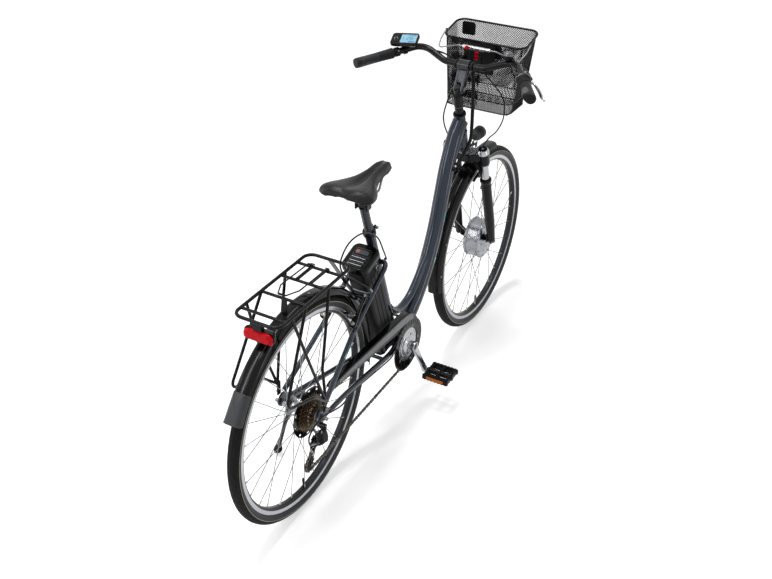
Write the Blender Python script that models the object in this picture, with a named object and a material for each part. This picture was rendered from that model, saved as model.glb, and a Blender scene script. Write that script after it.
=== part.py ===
"""Electric city bicycle with a low step-through frame, a front hub motor, a battery behind the seat
tube, a rear carrier and a front basket. Metres, +Z up, the front wheel towards -Y and the drive side
towards -X. The origin is on the ground, midway between the two axles.
"""

import math

import bmesh
import bpy
from mathutils import Matrix, Vector

# Whole bicycle
WHEELBASE = 1.21
WHEEL_RADIUS = 0.349
HEAD_ANGLE = math.radians(72.0)
SEAT_ANGLE = math.radians(70.6)
FORK_RAKE = 0.037
BRACKET_SETBACK = 0.56
BRACKET_HEIGHT = 0.267
CLEARANCE = 0.0003
MERGE = 3e-6

# Wheels
TYRE_WIDTH = 0.039
TYRE_SEAT = 0.3118
RIM_TOP = 0.3165
RIM_FLOOR = 0.2965
RIM_WIDTH = 0.025
RIM_WALL = 0.0018
WHEEL_FACETS = 28
SPOKES = 28
SPOKE_RADIUS = 0.0011
AXLE_RADIUS = 0.005
REAR_DROPOUT_WIDTH = 0.135
FRONT_DROPOUT_WIDTH = 0.1
MOTOR_RADIUS = 0.074
MOTOR_HALF_WIDTH = 0.042
HUB_FLANGE_RADIUS = 0.029
SPOKE_GUARD_RADIUS = 0.079

# Drive
PITCH = 0.0127
CHAIN_LINE = 0.0475
CHAINRING_TEETH = 38
CASSETTE_TEETH = (28, 24, 22, 20, 18, 16, 14)
CHAIN_SPROCKET = 4
SPROCKET_SPACING = 0.005
SPROCKET_THICKNESS = 0.0019
JOCKEY_TEETH = 11
CHAIN_GAP = 0.0034
CHAIN_PLATE = 0.0016
CHAIN_HEIGHT = 0.0084
ROLLER_RADIUS = 0.0029
STRAIGHT = math.radians(0.05)
CRANK_LENGTH = 0.17
CRANK_ANGLE = math.radians(59.0)
SPINDLE_RADIUS = 0.0085
CRANK_OUTSIDE = 0.082
GUARD_RING_RADIUS = 0.0935
DISC_RADIUS = 0.0575
GUIDE_PULLEY = Vector((0.0, 0.612, 0.257))
CAGE_LENGTH = 0.074

# Frame
HEAD_TUBE_RADIUS = 0.0185
HEAD_TUBE_BOTTOM = 0.476
HEAD_TUBE_TOP = 0.6125
COLLAR_TOP = 0.648
STEERER_RADIUS = 0.0143
DOWN_TUBE_RADIUS = 0.0265
BRACE_RADIUS = 0.0135
SEAT_TUBE_RADIUS = 0.0165
SEAT_TUBE_LENGTH = 0.527
SEATPOST_RADIUS = 0.0136
SEATPOST_OUT = 0.10
BRACKET_RADIUS = 0.0205
BRACKET_HALF_WIDTH = 0.034
CHAIN_STAY_RADIUS = 0.0085
SEAT_STAY_RADIUS = 0.008
STAY_HALF_WIDTH = 0.048
DROPOUT_THICKNESS = 0.006

# Fork
LEG_SPREAD = 0.065
LEG_OFFSET = 0.016
STANCHION_RADIUS = 0.014
LOWER_RADIUS = 0.019
LOWER_TOP = 0.32
CROWN_BOTTOM = 0.4275
CROWN_TOP = 0.4565
LEG_CAP_BOTTOM = 0.402
STANCHION_BOTTOM = 0.14
FORK_TRAVEL = 0.03
ARCH_HEIGHT = 0.386

# Brakes
BOSS_RADIUS = 0.282
BOSS_PIN_RADIUS = 0.004
ARM_BACK = 0.0210
ARM_THICKNESS = 0.009
ARM_HEIGHT = 0.104
PAD_GAP = 0.0018
PAD_LIFT = 0.028
CABLE_RADIUS = 0.0025

# Mudguards
GUARD_RADIUS = 0.371
GUARD_HALF_WIDTH = 0.026
GUARD_WALL = 0.002

# Carrier
RACK_TUBE = 0.005
RACK_HALF_WIDTH = 0.073
RACK_REAR = 0.808
RACK_FRONT = 0.440
RACK_HEIGHT = 0.768
RACK_BARS = (0.494, 0.576, 0.673, 0.768)
RACK_FOOT = 0.0835

# Cockpit
QUILL_RADIUS = 0.0125
QUILL_BOTTOM = 0.50
QUILL_TOP = 0.70
STEM_PIVOT_S = 0.709
STEM_PIVOT_AHEAD = 0.0165
STEM_PIVOT_RADIUS = 0.017
STEM_PIVOT_HALF_WIDTH = 0.017
STEM_REACH = 0.0765
STEM_RISE = math.radians(65.0)
BAR_RADIUS = 0.0111
BAR_CLAMP_RADIUS = 0.0127
BAR_BEND_RADIUS = 0.05
BAR_SIDES = 8
GRIP_LENGTH = 0.135
RIGHT_GRIP_LENGTH = 0.088
SHIFTER_LENGTH = 0.052
GRIP_RADIUS = 0.0165
LEVER_DROP = math.radians(28.0)
LEVER_BACK = {1: 0.150, -1: 0.155}
LEVER_PIVOT_OUT = 0.032
BELL_SIDE = -0.140

# Battery
BATTERY_HALF_WIDTH = 0.0345
BATTERY_DEPTH = 0.088
BATTERY_GAP = 0.026
BATTERY_BOTTOM = 0.075
BATTERY_TOP = 0.455
LOCK_RADIUS = 0.0072

# Saddle, whose stations are the distance behind the nose, the half width, the top and the side's drop
SADDLE_LENGTH = 0.276
SADDLE_NOSE = Vector((0.0, 0.108, 0.945))
SADDLE_STATIONS = (
    (0.000, 0.014, 0.000, 0.020),
    (0.012, 0.021, 0.008, 0.032),
    (0.045, 0.025, 0.012, 0.040),
    (0.095, 0.032, 0.009, 0.044),
    (0.140, 0.050, 0.006, 0.046),
    (0.180, 0.078, 0.008, 0.048),
    (0.220, 0.098, 0.014, 0.054),
    (0.250, 0.104, 0.018, 0.058),
    (0.270, 0.092, 0.016, 0.052),
    (SADDLE_LENGTH, 0.070, 0.008, 0.040),
)

# Basket, whose walls lie this far from the handlebar's centre, at the floor and at the rim
BASKET_WALL = 0.0025
BASKET_TOP_WIDTH = 0.30
BASKET_BOTTOM_WIDTH = 0.24
BASKET_BACK = (Vector((0.0, -0.109, -0.197)), Vector((0.0, -0.137, 0.041)))
BASKET_FRONT = (Vector((0.0, -0.258, -0.197)), Vector((0.0, -0.262, 0.068)))
BASKET_FLOOR_MARGIN = 0.014
BAIL_RADIUS = 0.0022
RELEASE_SIDE = 0.026
RELEASE_TRAVEL = 0.003

# Pedals
PEDAL_LENGTH = 0.096
PEDAL_WIDTH = 0.088
PEDAL_AXLE_RADIUS = 0.0045

# Finishes as colour, roughness and metallic
FRAME_PAINT = ((0.06, 0.08, 0.115), 0.28, 0.35)
BLACK_PAINT = ((0.012, 0.012, 0.013), 0.3, 0.0)
BLACK_PLASTIC = ((0.02, 0.02, 0.021), 0.5, 0.0)
RUBBER = ((0.025, 0.025, 0.026), 0.8, 0.0)
SILVER = ((0.72, 0.73, 0.74), 0.28, 1.0)
STEEL = ((0.5, 0.5, 0.5), 0.35, 1.0)
BRONZE = ((0.3, 0.22, 0.13), 0.45, 1.0)
RED = ((0.75, 0.01, 0.015), 0.25, 0.0)
GREY_PLASTIC = ((0.35, 0.36, 0.37), 0.5, 0.0)

REAR_AXLE = Vector((0.0, WHEELBASE / 2, WHEEL_RADIUS))
FRONT_AXLE = Vector((0.0, -WHEELBASE / 2, WHEEL_RADIUS))
BRACKET = Vector((0.0, WHEELBASE / 2 - BRACKET_SETBACK, BRACKET_HEIGHT))
STEER_AXIS = Vector((0.0, math.cos(HEAD_ANGLE), math.sin(HEAD_ANGLE)))
STEER_AHEAD = Vector((0.0, -math.sin(HEAD_ANGLE), math.cos(HEAD_ANGLE)))
SEAT_AXIS = Vector((0.0, math.cos(SEAT_ANGLE), math.sin(SEAT_ANGLE)))
SEAT_BEHIND = Vector((0.0, math.sin(SEAT_ANGLE), -math.cos(SEAT_ANGLE)))
LEFT = Vector((1.0, 0.0, 0.0))
UP = Vector((0.0, 0.0, 1.0))
KICKSTAND_HINGE = Vector((0.082, 0.500, 0.302))
KICKSTAND_AXIS = Vector((1.0, 0.12, 0.116)).normalized()


# Building tools

def clear_scene():
    for item in list(bpy.data.objects):
        bpy.data.objects.remove(item, do_unlink=True)


def axes_at(point, z_axis, x_axis=LEFT):
    """A frame at point whose z runs along z_axis, and whose x lies as near x_axis as it can."""
    z = Vector(z_axis).normalized()
    x = Vector(x_axis) if Vector(x_axis).cross(z).length > 0.01 else UP
    x = (x - z * x.dot(z)).normalized()
    turn = Matrix((x, z.cross(x), z)).transposed()
    return Matrix.Translation(Vector(point)) @ turn.to_4x4()


def across(point):
    """A frame at point whose z runs along +X, with its x up."""
    return axes_at(point, LEFT, UP)


def on_steering(along, ahead=0.0, side=0.0):
    """The point at a distance up the steering axis, ahead of it and to its left."""
    foot = FRONT_AXLE - STEER_AHEAD * FORK_RAKE
    return foot + STEER_AXIS * along + STEER_AHEAD * ahead + LEFT * side


def on_seat_tube(along, behind=0.0, side=0.0):
    return BRACKET + SEAT_AXIS * along + SEAT_BEHIND * behind + LEFT * side


def closed_mesh(shape):
    bmesh.ops.remove_doubles(shape, verts=shape.verts, dist=1e-6)
    bmesh.ops.recalc_face_normals(shape, faces=shape.faces)
    mesh = bpy.data.meshes.new("solid")
    shape.to_mesh(mesh)
    shape.free()
    return mesh


def loft(rings, closed=False):
    """Skins rings of points. The ends are capped, unless the last ring joins the first."""
    shape = bmesh.new()
    loops = [[shape.verts.new(point) for point in ring] for ring in rings]
    pairs = list(zip(loops, loops[1:]))
    if closed:
        pairs.append((loops[-1], loops[0]))
    for first, second in pairs:
        for i in range(len(first)):
            j = (i + 1) % len(first)
            shape.faces.new((first[i], first[j], second[j], second[i]))
    if not closed:
        shape.faces.new(loops[0])
        shape.faces.new(loops[-1])
    return closed_mesh(shape)


def lathe(profile, place, steps, phase=0.0):
    """Turns a closed outline of (radius, height) about the z axis of place."""
    rings = []
    for i in range(steps):
        angle = phase + 2 * math.pi * i / steps
        turn = place @ Matrix.Rotation(angle, 4, "Z")
        rings.append([turn @ Vector((radius, 0.0, height)) for radius, height in profile])
    return loft(rings, closed=True)


def cylinder(place, radius, low, high, sides=16, phase=0.0):
    return prism(circle(radius, sides, phase), place, low, high)


def circle(radius, sides, phase=0.0):
    angles = [phase + 2 * math.pi * i / sides for i in range(sides)]
    return [(radius * math.cos(angle), radius * math.sin(angle)) for angle in angles]


def prism(outline, place, low, high):
    """An outline in the x and y of place, drawn out along z."""
    return loft([[place @ Vector((x, y, z)) for x, y in outline] for z in (low, high)])


def tapered(outlines, place):
    """A solid through several outlines, each an (outline, height)."""
    return loft([[place @ Vector((x, y, z)) for x, y in outline] for outline, z in outlines])


def oblong(length, width, corner, steps=2):
    """A rectangle with round corners."""
    points = []
    for quarter in range(4):
        side_x = 1 if quarter in (0, 3) else -1
        side_y = 1 if quarter in (0, 1) else -1
        centre = (side_x * (length / 2 - corner), side_y * (width / 2 - corner))
        for i in range(steps + 1):
            angle = (quarter + i / steps) * math.pi / 2
            points.append((centre[0] + corner * math.cos(angle), centre[1] + corner * math.sin(angle)))
    return points


def block(size, place, bevel=0.0):
    shape = bmesh.new()
    bmesh.ops.create_cube(shape, size=1.0, matrix=place @ Matrix.Diagonal((*size, 1.0)))
    if bevel:
        bmesh.ops.bevel(shape, geom=shape.edges[:], offset=bevel, segments=1, affect="EDGES")
    return closed_mesh(shape)


def bar(points, radius, sides=8, phase=0.0):
    """A round bar along points. The radius is one size, or one for each point."""
    points = [Vector(point) for point in points]
    radii = radius if isinstance(radius, (list, tuple)) else [radius] * len(points)
    ahead = [(b - a).normalized() for a, b in zip(points, points[1:])]
    tangents = [ahead[0]] + [(a + b).normalized() for a, b in zip(ahead, ahead[1:])] + [ahead[-1]]
    side = tangents[0].cross(LEFT if abs(tangents[0].x) < 0.9 else UP).normalized()
    rings = []
    for point, tangent, size in zip(points, tangents, radii):
        side = (side - tangent * side.dot(tangent)).normalized()
        other = tangent.cross(side)
        rings.append([point + side * x + other * y for x, y in circle(size, sides, phase)])
    return loft(rings)


def rounded(points, radius, steps=4):
    """The polyline through points, with each corner turned by an arc."""
    points = [Vector(point) for point in points]
    radii = radius if isinstance(radius, (list, tuple)) else [radius] * (len(points) - 2)
    path = [points[0]]
    for before, corner, after, size in zip(points, points[1:], points[2:], radii):
        inward = (before - corner).normalized()
        outward = (after - corner).normalized()
        half = inward.angle(outward) / 2
        reach = size / math.tan(half)
        centre = corner + (inward + outward).normalized() * (size / math.sin(half))
        start = corner + inward * reach - centre
        end = corner + outward * reach - centre
        sweep = start.angle(end)
        for i in range(steps + 1):
            share = i / steps
            first = math.sin((1 - share) * sweep) / math.sin(sweep)
            second = math.sin(share * sweep) / math.sin(sweep)
            path.append(centre + start * first + end * second)
    path.append(points[-1])
    return path


def smooth(points, count):
    """Points evenly spaced along a smooth curve through the route's own points."""
    points = [Vector(point) for point in points]
    ends = [points[0] * 2 - points[1]] + points + [points[-1] * 2 - points[-2]]
    fine = []
    for p, q, r, s in zip(ends, ends[1:], ends[2:], ends[3:]):
        for i in range(12):
            t = i / 12
            fine.append(0.5 * (2 * q + (r - p) * t + (2 * p - 5 * q + 4 * r - s) * t ** 2
                               + (3 * q - p - 3 * r + s) * t ** 3))
    fine.append(points[-1])
    steps = [(b - a).length for a, b in zip(fine, fine[1:])]
    total = sum(steps)
    path = [fine[0]]
    travelled = 0.0
    index = 0
    for i in range(1, count - 1):
        wanted = total * i / (count - 1)
        while travelled + steps[index] < wanted:
            travelled += steps[index]
            index += 1
        path.append(fine[index].lerp(fine[index + 1], (wanted - travelled) / steps[index]))
    path.append(fine[-1])
    return path


def snug(radius, sides):
    """The radius of a bore of this many flats that clears a shaft of the same centre."""
    return (radius + CLEARANCE) / math.cos(math.pi / sides)


def boolean(mesh, tools, operation):
    target = bpy.data.objects.new("target", mesh)
    bpy.context.scene.collection.objects.link(target)
    helpers = [target]
    for tool in tools:
        helper = bpy.data.objects.new("tool", tool)
        bpy.context.scene.collection.objects.link(helper)
        helpers.append(helper)
        modifier = target.modifiers.new("boolean", "BOOLEAN")
        modifier.operation = operation
        modifier.solver = "EXACT"
        modifier.object = helper
    graph = bpy.context.evaluated_depsgraph_get()
    result = bpy.data.meshes.new_from_object(target.evaluated_get(graph))
    for helper in helpers:
        bpy.data.objects.remove(helper, do_unlink=True)
    return result


def join(*meshes):
    return boolean(meshes[0], meshes[1:], "UNION")


def cut(mesh, *tools):
    return boolean(mesh, tools, "DIFFERENCE")


def gathered(meshes):
    """Several meshes that touch nowhere, as one."""
    shape = bmesh.new()
    for mesh in meshes:
        shape.from_mesh(mesh)
    return closed_mesh(shape)


def finish(name, look):
    colour, roughness, metallic = look
    material = bpy.data.materials.new(name)
    material.use_nodes = True
    shader = material.node_tree.nodes["Principled BSDF"]
    shader.inputs["Base Color"].default_value = (*colour, 1.0)
    shader.inputs["Roughness"].default_value = roughness
    shader.inputs["Metallic"].default_value = metallic
    return material


def carrier(name, point, parent=None):
    """An empty on a joint's axis, which carries the pieces that move with that joint."""
    empty = bpy.data.objects.new(name, None)
    bpy.context.scene.collection.objects.link(empty)
    empty["place"] = tuple(point)
    empty.parent = parent
    empty.location = Vector(point) - (Vector(parent["place"]) if parent else Vector())
    return empty


def piece(name, mesh, look, pivot=(0.0, 0.0, 0.0), parent=None, sharp=35.0):
    """Makes the named object, with its origin at pivot."""
    shape = bmesh.new()
    shape.from_mesh(mesh)
    bmesh.ops.remove_doubles(shape, verts=shape.verts, dist=MERGE)
    bmesh.ops.dissolve_degenerate(shape, edges=shape.edges, dist=MERGE)
    shape.to_mesh(mesh)
    shape.free()
    mesh.name = name
    mesh.transform(Matrix.Translation(-Vector(pivot)))
    mesh.shade_smooth()
    mesh.set_sharp_from_angle(angle=math.radians(sharp))
    mesh.materials.clear()
    mesh.materials.append(finish(name + "_finish", look))
    part = bpy.data.objects.new(name, mesh)
    bpy.context.scene.collection.objects.link(part)
    part.parent = parent
    part.location = Vector(pivot) - (Vector(parent["place"]) if parent else Vector())
    return part


def cable(name, route, radius, count, look, parent=None, ribs=None):
    """A cable as a curve along a smooth route. Ribs give each point its own share of the radius."""
    curve = bpy.data.curves.new(name, "CURVE")
    curve.dimensions = "3D"
    curve.bevel_depth = radius
    curve.bevel_resolution = 2
    curve.use_fill_caps = True
    path = smooth(route, count)
    spline = curve.splines.new("POLY")
    spline.points.add(len(path) - 1)
    base = Vector(parent["place"]) if parent else Vector()
    for i, (point, place) in enumerate(zip(spline.points, path)):
        point.co = (*(place - base), 1.0)
        point.radius = ribs(i) if ribs else 1.0
    curve.materials.append(finish(name + "_finish", look))
    part = bpy.data.objects.new(name, curve)
    bpy.context.scene.collection.objects.link(part)
    part.parent = parent
    return part


# Wheels

def tyre(name, axle, parent):
    """The bottom is a flat facet, so that the tyre stands on the ground."""
    half = TYRE_WIDTH / 2
    crown = WHEEL_RADIUS / math.cos(math.pi / WHEEL_FACETS)
    inside = RIM_WIDTH / 2 - RIM_WALL - 3 * CLEARANCE
    middle = (TYRE_SEAT + WHEEL_RADIUS) / 2
    side = [(TYRE_SEAT, inside), (middle + 0.001, half), (WHEEL_RADIUS - 0.005, half * 0.62)]
    profile = side + [(crown, 0.0)] + [(radius, -x) for radius, x in reversed(side)]
    mesh = lathe(profile, across(axle), WHEEL_FACETS, math.pi / WHEEL_FACETS)
    return piece(name, mesh, RUBBER, axle, parent, 50.0)


def rim(name, axle, parent):
    """A single wall rim with brake tracks, whose seat lies just inside the tyre's beads."""
    half = RIM_WIDTH / 2
    seat = TYRE_SEAT - CLEARANCE
    side = [(RIM_FLOOR, 0.007), (RIM_FLOOR + 0.007, half), (RIM_TOP, half), (seat, half - RIM_WALL)]
    profile = side + [(radius, -x) for radius, x in reversed(side)]
    mesh = lathe(profile, across(axle), WHEEL_FACETS, math.pi / WHEEL_FACETS)
    return piece(name, mesh, SILVER, axle, parent)


def spokes(axle, flange_radius, flanges, lacing):
    """Spokes from flanges at the given sides. Each flange's spokes lean alternately either way."""
    end_radius = RIM_FLOOR * math.cos(math.pi / WHEEL_FACETS) - CLEARANCE
    made = []
    for i in range(SPOKES):
        flange = flanges[i % 2]
        lean = 1 if i % 4 < 2 else -1
        side = 1 if flange > 0 else -1
        rim_angle = 2 * math.pi * i / SPOKES
        hub_angle = rim_angle + lean * lacing
        start = axle + Vector((flange + side * lean * 0.0018,
                               flange_radius * math.cos(hub_angle),
                               flange_radius * math.sin(hub_angle)))
        end = axle + Vector((side * (0.002 + lean * 0.0014),
                             end_radius * math.cos(rim_angle),
                             end_radius * math.sin(rim_angle)))
        made.append(bar([start, end], SPOKE_RADIUS, 3))
    return gathered(made)


def front_hub(axle, parent):
    """The hub motor's drum with its two flanges, laced to the rim."""
    bore = snug(AXLE_RADIUS, 16)
    half = MOTOR_HALF_WIDTH
    side = [(bore, half), (0.027, half), (0.033, half - 0.006), (MOTOR_RADIUS - 0.008, half - 0.011),
            (MOTOR_RADIUS, half - 0.016)]
    profile = side + [(radius, -x) for radius, x in reversed(side)]
    drum = lathe(profile, across(axle), 16)
    flange = half - 0.0185
    laced = spokes(axle, MOTOR_RADIUS - 0.0025, (flange, -flange), math.radians(24.0))
    return piece("front_hub", join(drum, laced), SILVER, axle, parent)


def spoke_guard(axle, middle):
    """A thin plastic disc between the spokes and the sprockets."""
    profile = [(0.0140, middle - 0.0008), (SPOKE_GUARD_RADIUS, middle - 0.0008),
               (SPOKE_GUARD_RADIUS, middle + 0.0008), (0.0140, middle + 0.0008)]
    return lathe(profile, across(axle), 16)


def rear_hub(axle, parent):
    """Hub shell with two flanges, the freewheel's body, the spokes and their guard."""
    bore = snug(AXLE_RADIUS, 12)
    flange = HUB_FLANGE_RADIUS
    profile = [
        (bore, 0.0620), (0.0110, 0.0620), (0.0130, 0.0400), (flange, 0.0385), (flange, 0.0335),
        (0.0150, 0.0300),
        (0.0150, -0.0140), (flange, -0.0172), (flange, -0.0222), (0.0150, -0.0255), (0.0150, -0.0605),
        (bore, -0.0605),
    ]
    shell = lathe(profile, across(axle), 10)
    laced = spokes(axle, flange - 0.0015, (0.036, -0.0197), math.radians(62.0))
    mesh = join(shell, laced, spoke_guard(axle, -0.0239))
    return piece("rear_hub", mesh, SILVER, axle, parent)


def pitch_radius(teeth):
    return PITCH / (2 * math.sin(math.pi / teeth))


def toothed(teeth, phase):
    """A saw-toothed outline. A gap lies at phase, and the rollers rest in the gaps."""
    points = []
    for i in range(teeth):
        angle = phase + 2 * math.pi * i / teeth
        for radius, turn in ((-0.0041, 0.0), (0.0034, math.pi / teeth)):
            size = pitch_radius(teeth) + radius
            points.append((size * math.cos(angle + turn), size * math.sin(angle + turn)))
    return points


# Chain, which runs on the chainring, one sprocket and the two pulleys

def tension_pulley(swing):
    """The lower pulley's centre, for a cage that hangs from the guide pulley at this angle."""
    return GUIDE_PULLEY + Vector((0.0, math.sin(swing), -math.cos(swing))) * CAGE_LENGTH


def chain_wheels(swing):
    """Each wheel as centre, teeth and the way the chain goes round it, seen from the left side."""
    return [
        (BRACKET, CHAINRING_TEETH, 1),
        (tension_pulley(swing), JOCKEY_TEETH, 1),
        (GUIDE_PULLEY, JOCKEY_TEETH, -1),
        (REAR_AXLE, CASSETTE_TEETH[CHAIN_SPROCKET], 1),
    ]


def flat(vector):
    return Vector((vector.y, vector.z))


def tangent_angles(first, second):
    """The angles, on each of two wheels, where the straight run between them leaves and arrives."""
    (here, teeth_here, way_here), (there, teeth_there, way_there) = first, second
    between = flat(there) - flat(here)
    spread = way_here * pitch_radius(teeth_here) - way_there * pitch_radius(teeth_there)
    heading = math.atan2(between.y, between.x)
    lean = math.acos(spread / between.length)
    leave = heading - lean
    start = leave if way_here > 0 else leave + math.pi
    arrive = leave if way_there > 0 else leave + math.pi
    return start, arrive


def chain_runs(swing):
    """The loop as arcs and straights: (kind, teeth, centre, from angle, turned angle or length)."""
    wheels = chain_wheels(swing)
    count = len(wheels)
    leaves, arrives = {}, {}
    for i in range(count):
        leaves[i], arrives[(i + 1) % count] = tangent_angles(wheels[i], wheels[(i + 1) % count])
    runs = []
    for i in range(count):
        centre, teeth, way = wheels[i]
        turned = (leaves[i] - arrives[i]) * way % (2 * math.pi)
        runs.append((teeth, flat(centre), arrives[i], turned * way))
        radius = pitch_radius(teeth)
        start = flat(centre) + Vector((math.cos(leaves[i]), math.sin(leaves[i]))) * radius
        after, next_teeth, _ = wheels[(i + 1) % count]
        angle = arrives[(i + 1) % count]
        end = flat(after) + Vector((math.cos(angle), math.sin(angle))) * pitch_radius(next_teeth)
        runs.append((0, start, end, (end - start).length))
    return runs


def run_pitches(run):
    teeth, _, _, amount = run
    return abs(amount) * teeth / (2 * math.pi) if teeth else amount / PITCH


def chain_pitches(swing):
    return sum(run_pitches(run) for run in chain_runs(swing))


def settled_swing():
    """The cage's angle at which the chain is a whole, even number of pitches long."""
    low, high = math.radians(-5.0), math.radians(40.0)
    wanted = 2 * round(chain_pitches((low + high) / 2) / 2)
    for _ in range(60):
        middle = (low + high) / 2
        if (chain_pitches(middle) < wanted) == (chain_pitches(low) < chain_pitches(high)):
            low = middle
        else:
            high = middle
    return middle, wanted


def chain_pins():
    """The rollers' centres round the loop, and each wheel's angle at one of them."""
    swing, count = settled_swing()
    pins, phases = [], {}
    passed = 0.0
    number = 0
    for index, run in enumerate(chain_runs(swing)):
        teeth, first, second, amount = run
        pitches = run_pitches(run)
        while number < count and number <= passed + pitches + 1e-9:
            share = (number - passed) / pitches
            if teeth:
                angle = second + amount * share
                phases.setdefault(index // 2, angle)
                radius = pitch_radius(teeth)
                pins.append(first + Vector((math.cos(angle), math.sin(angle))) * radius)
            else:
                pins.append(first.lerp(second, share))
            number += 1
        passed += pitches
    return swing, pins, phases


def chain_side(shape, pins, x_inner, x_outer):
    """One row of link plates. Returns, for each pin, the three corners of its roller's foot."""
    count = len(pins)
    rails, feet = [], []
    for i, pin in enumerate(pins):
        along = (pins[(i + 1) % count] - pins[i - 1]).normalized()
        normal = Vector((-along.y, along.x))
        corners = []
        for x, half in ((x_outer, 1), (x_outer, -1), (x_inner, -1), (x_inner, 1)):
            place = pin + normal * half * CHAIN_HEIGHT / 2
            corners.append(shape.verts.new((x, place.x, place.y)))
        rails.append(corners)
        foot = []
        for offset in (normal * -0.5 - along * 0.87, normal * -0.5 + along * 0.87, normal):
            place = pin + offset * ROLLER_RADIUS
            foot.append(shape.verts.new((x_inner, place.x, place.y)))
        feet.append(foot)
    for i in range(count):
        a, b = rails[i], rails[(i + 1) % count]
        shape.faces.new((a[0], b[0], b[1], a[1]))
        shape.faces.new((a[1], b[1], b[2], a[2]))
        shape.faces.new((a[3], b[3], b[0], a[0]))
    return rails, feet


def chain(pins):
    """Two rows of plates with a roller at each pin. Away from the wheels the links are closed bars."""
    shape = bmesh.new()
    count = len(pins)
    inner = CHAIN_GAP / 2
    outer = inner + CHAIN_PLATE
    left, feet = chain_side(shape, pins, inner - CHAIN_LINE, outer - CHAIN_LINE)
    right, others = chain_side(shape, pins, -inner - CHAIN_LINE, -outer - CHAIN_LINE)
    closed = []
    for i in range(count):
        near = [(i + step) % count for step in (-2, -1, 0, 1, 2, 3)]
        turned = [(pins[(k + 1) % count] - pins[k]).angle(pins[k] - pins[k - 1]) for k in near]
        closed.append(max(turned) < STRAIGHT)
    for i in range(count):
        j = (i + 1) % count
        if closed[i]:
            for edge in (2, 3):
                shape.faces.new((left[i][edge], left[j][edge], right[j][edge], right[i][edge]))
            continue
        for rails, foot in ((left, feet), (right, others)):
            a, b = rails[i], rails[j]
            rear_open = not closed[i - 1]
            front_open = not closed[j]
            outline = [a[2], b[2]]
            if front_open:
                outline += [foot[j][0], foot[j][2]]
            outline += [b[3], a[3]]
            if rear_open:
                outline += [foot[i][2], foot[i][1], foot[i][0]]
            shape.faces.new(outline)
        if closed[i - 1]:
            shape.faces.new((left[i][2], left[i][3], right[i][3], right[i][2]))
        if closed[j]:
            shape.faces.new((left[j][2], left[j][3], right[j][3], right[j][2]))
    for i in range(count):
        if closed[i] or closed[i - 1]:
            bmesh.ops.delete(shape, geom=feet[i] + others[i], context="VERTS")
            continue
        for k in range(3):
            n = (k + 1) % 3
            shape.faces.new((feet[i][k], feet[i][n], others[i][n], others[i][k]))
    bmesh.ops.recalc_face_normals(shape, faces=shape.faces)
    bmesh.ops.dissolve_limit(shape, angle_limit=STRAIGHT, verts=shape.verts[:], edges=shape.edges[:])
    return piece("chain", closed_mesh(shape), STEEL)


def sprockets(phase, parent):
    """Seven sprockets on a carrier, the largest next to the spokes."""
    place = across(REAR_AXLE)
    bore = snug(0.0150, 10)
    inner = -CHAIN_LINE + SPROCKET_SPACING * CHAIN_SPROCKET
    outer = inner - SPROCKET_SPACING * (len(CASSETTE_TEETH) - 1)
    tube = cylinder(place, 0.0215, outer - 0.002, inner + 0.0007, 8)
    discs = []
    for i, teeth in enumerate(CASSETTE_TEETH):
        middle = inner - SPROCKET_SPACING * i
        # Seen along +X from outside, angles in the wheel's plane run from up towards the front.
        outline = toothed(teeth, drawn(phase))
        discs.append(prism(outline, place, middle - SPROCKET_THICKNESS / 2,
                           middle + SPROCKET_THICKNESS / 2))
    hole = cylinder(place, bore, outer - 0.01, inner + 0.01, 10)
    mesh = cut(join(tube, *discs), hole)
    return piece("sprockets", mesh, BRONZE, REAR_AXLE, parent)


def drawn(angle):
    """An angle from +Y towards +Z, as an angle in the frame that across() gives."""
    return angle - math.pi / 2


def chainring(phase, parent):
    """The toothed ring and the guard ring outside it, joined by a row of spacers."""
    place = across(BRACKET)
    middle = -CHAIN_LINE
    half = SPROCKET_THICKNESS / 2
    bore = snug(DISC_RADIUS, 18)
    ring = prism(toothed(CHAINRING_TEETH, drawn(phase)), place, middle - half, middle + half)
    guard = cylinder(place, GUARD_RING_RADIUS, middle - 0.0078, middle - 0.0052, 22)
    spacer = cylinder(place, bore + 0.008, middle - 0.006, middle, 18)
    hole = cylinder(place, bore, middle - 0.02, middle + 0.02, 18)
    return piece("chainring", cut(join(ring, spacer, guard), hole), BLACK_PLASTIC, BRACKET, parent)


def pulley(name, centre, phase, parent):
    place = across(centre - LEFT * CHAIN_LINE)
    disc = prism(toothed(JOCKEY_TEETH, drawn(phase)), place, -0.0011, 0.0011)
    hub = cylinder(place, 0.008, -0.0035, 0.0035, 6)
    hole = cylinder(place, snug(0.0028, 6), -0.01, 0.01, 6)
    mesh = cut(join(disc, hub), hole)
    return piece(name, mesh, BLACK_PLASTIC, centre - LEFT * CHAIN_LINE, parent)


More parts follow.
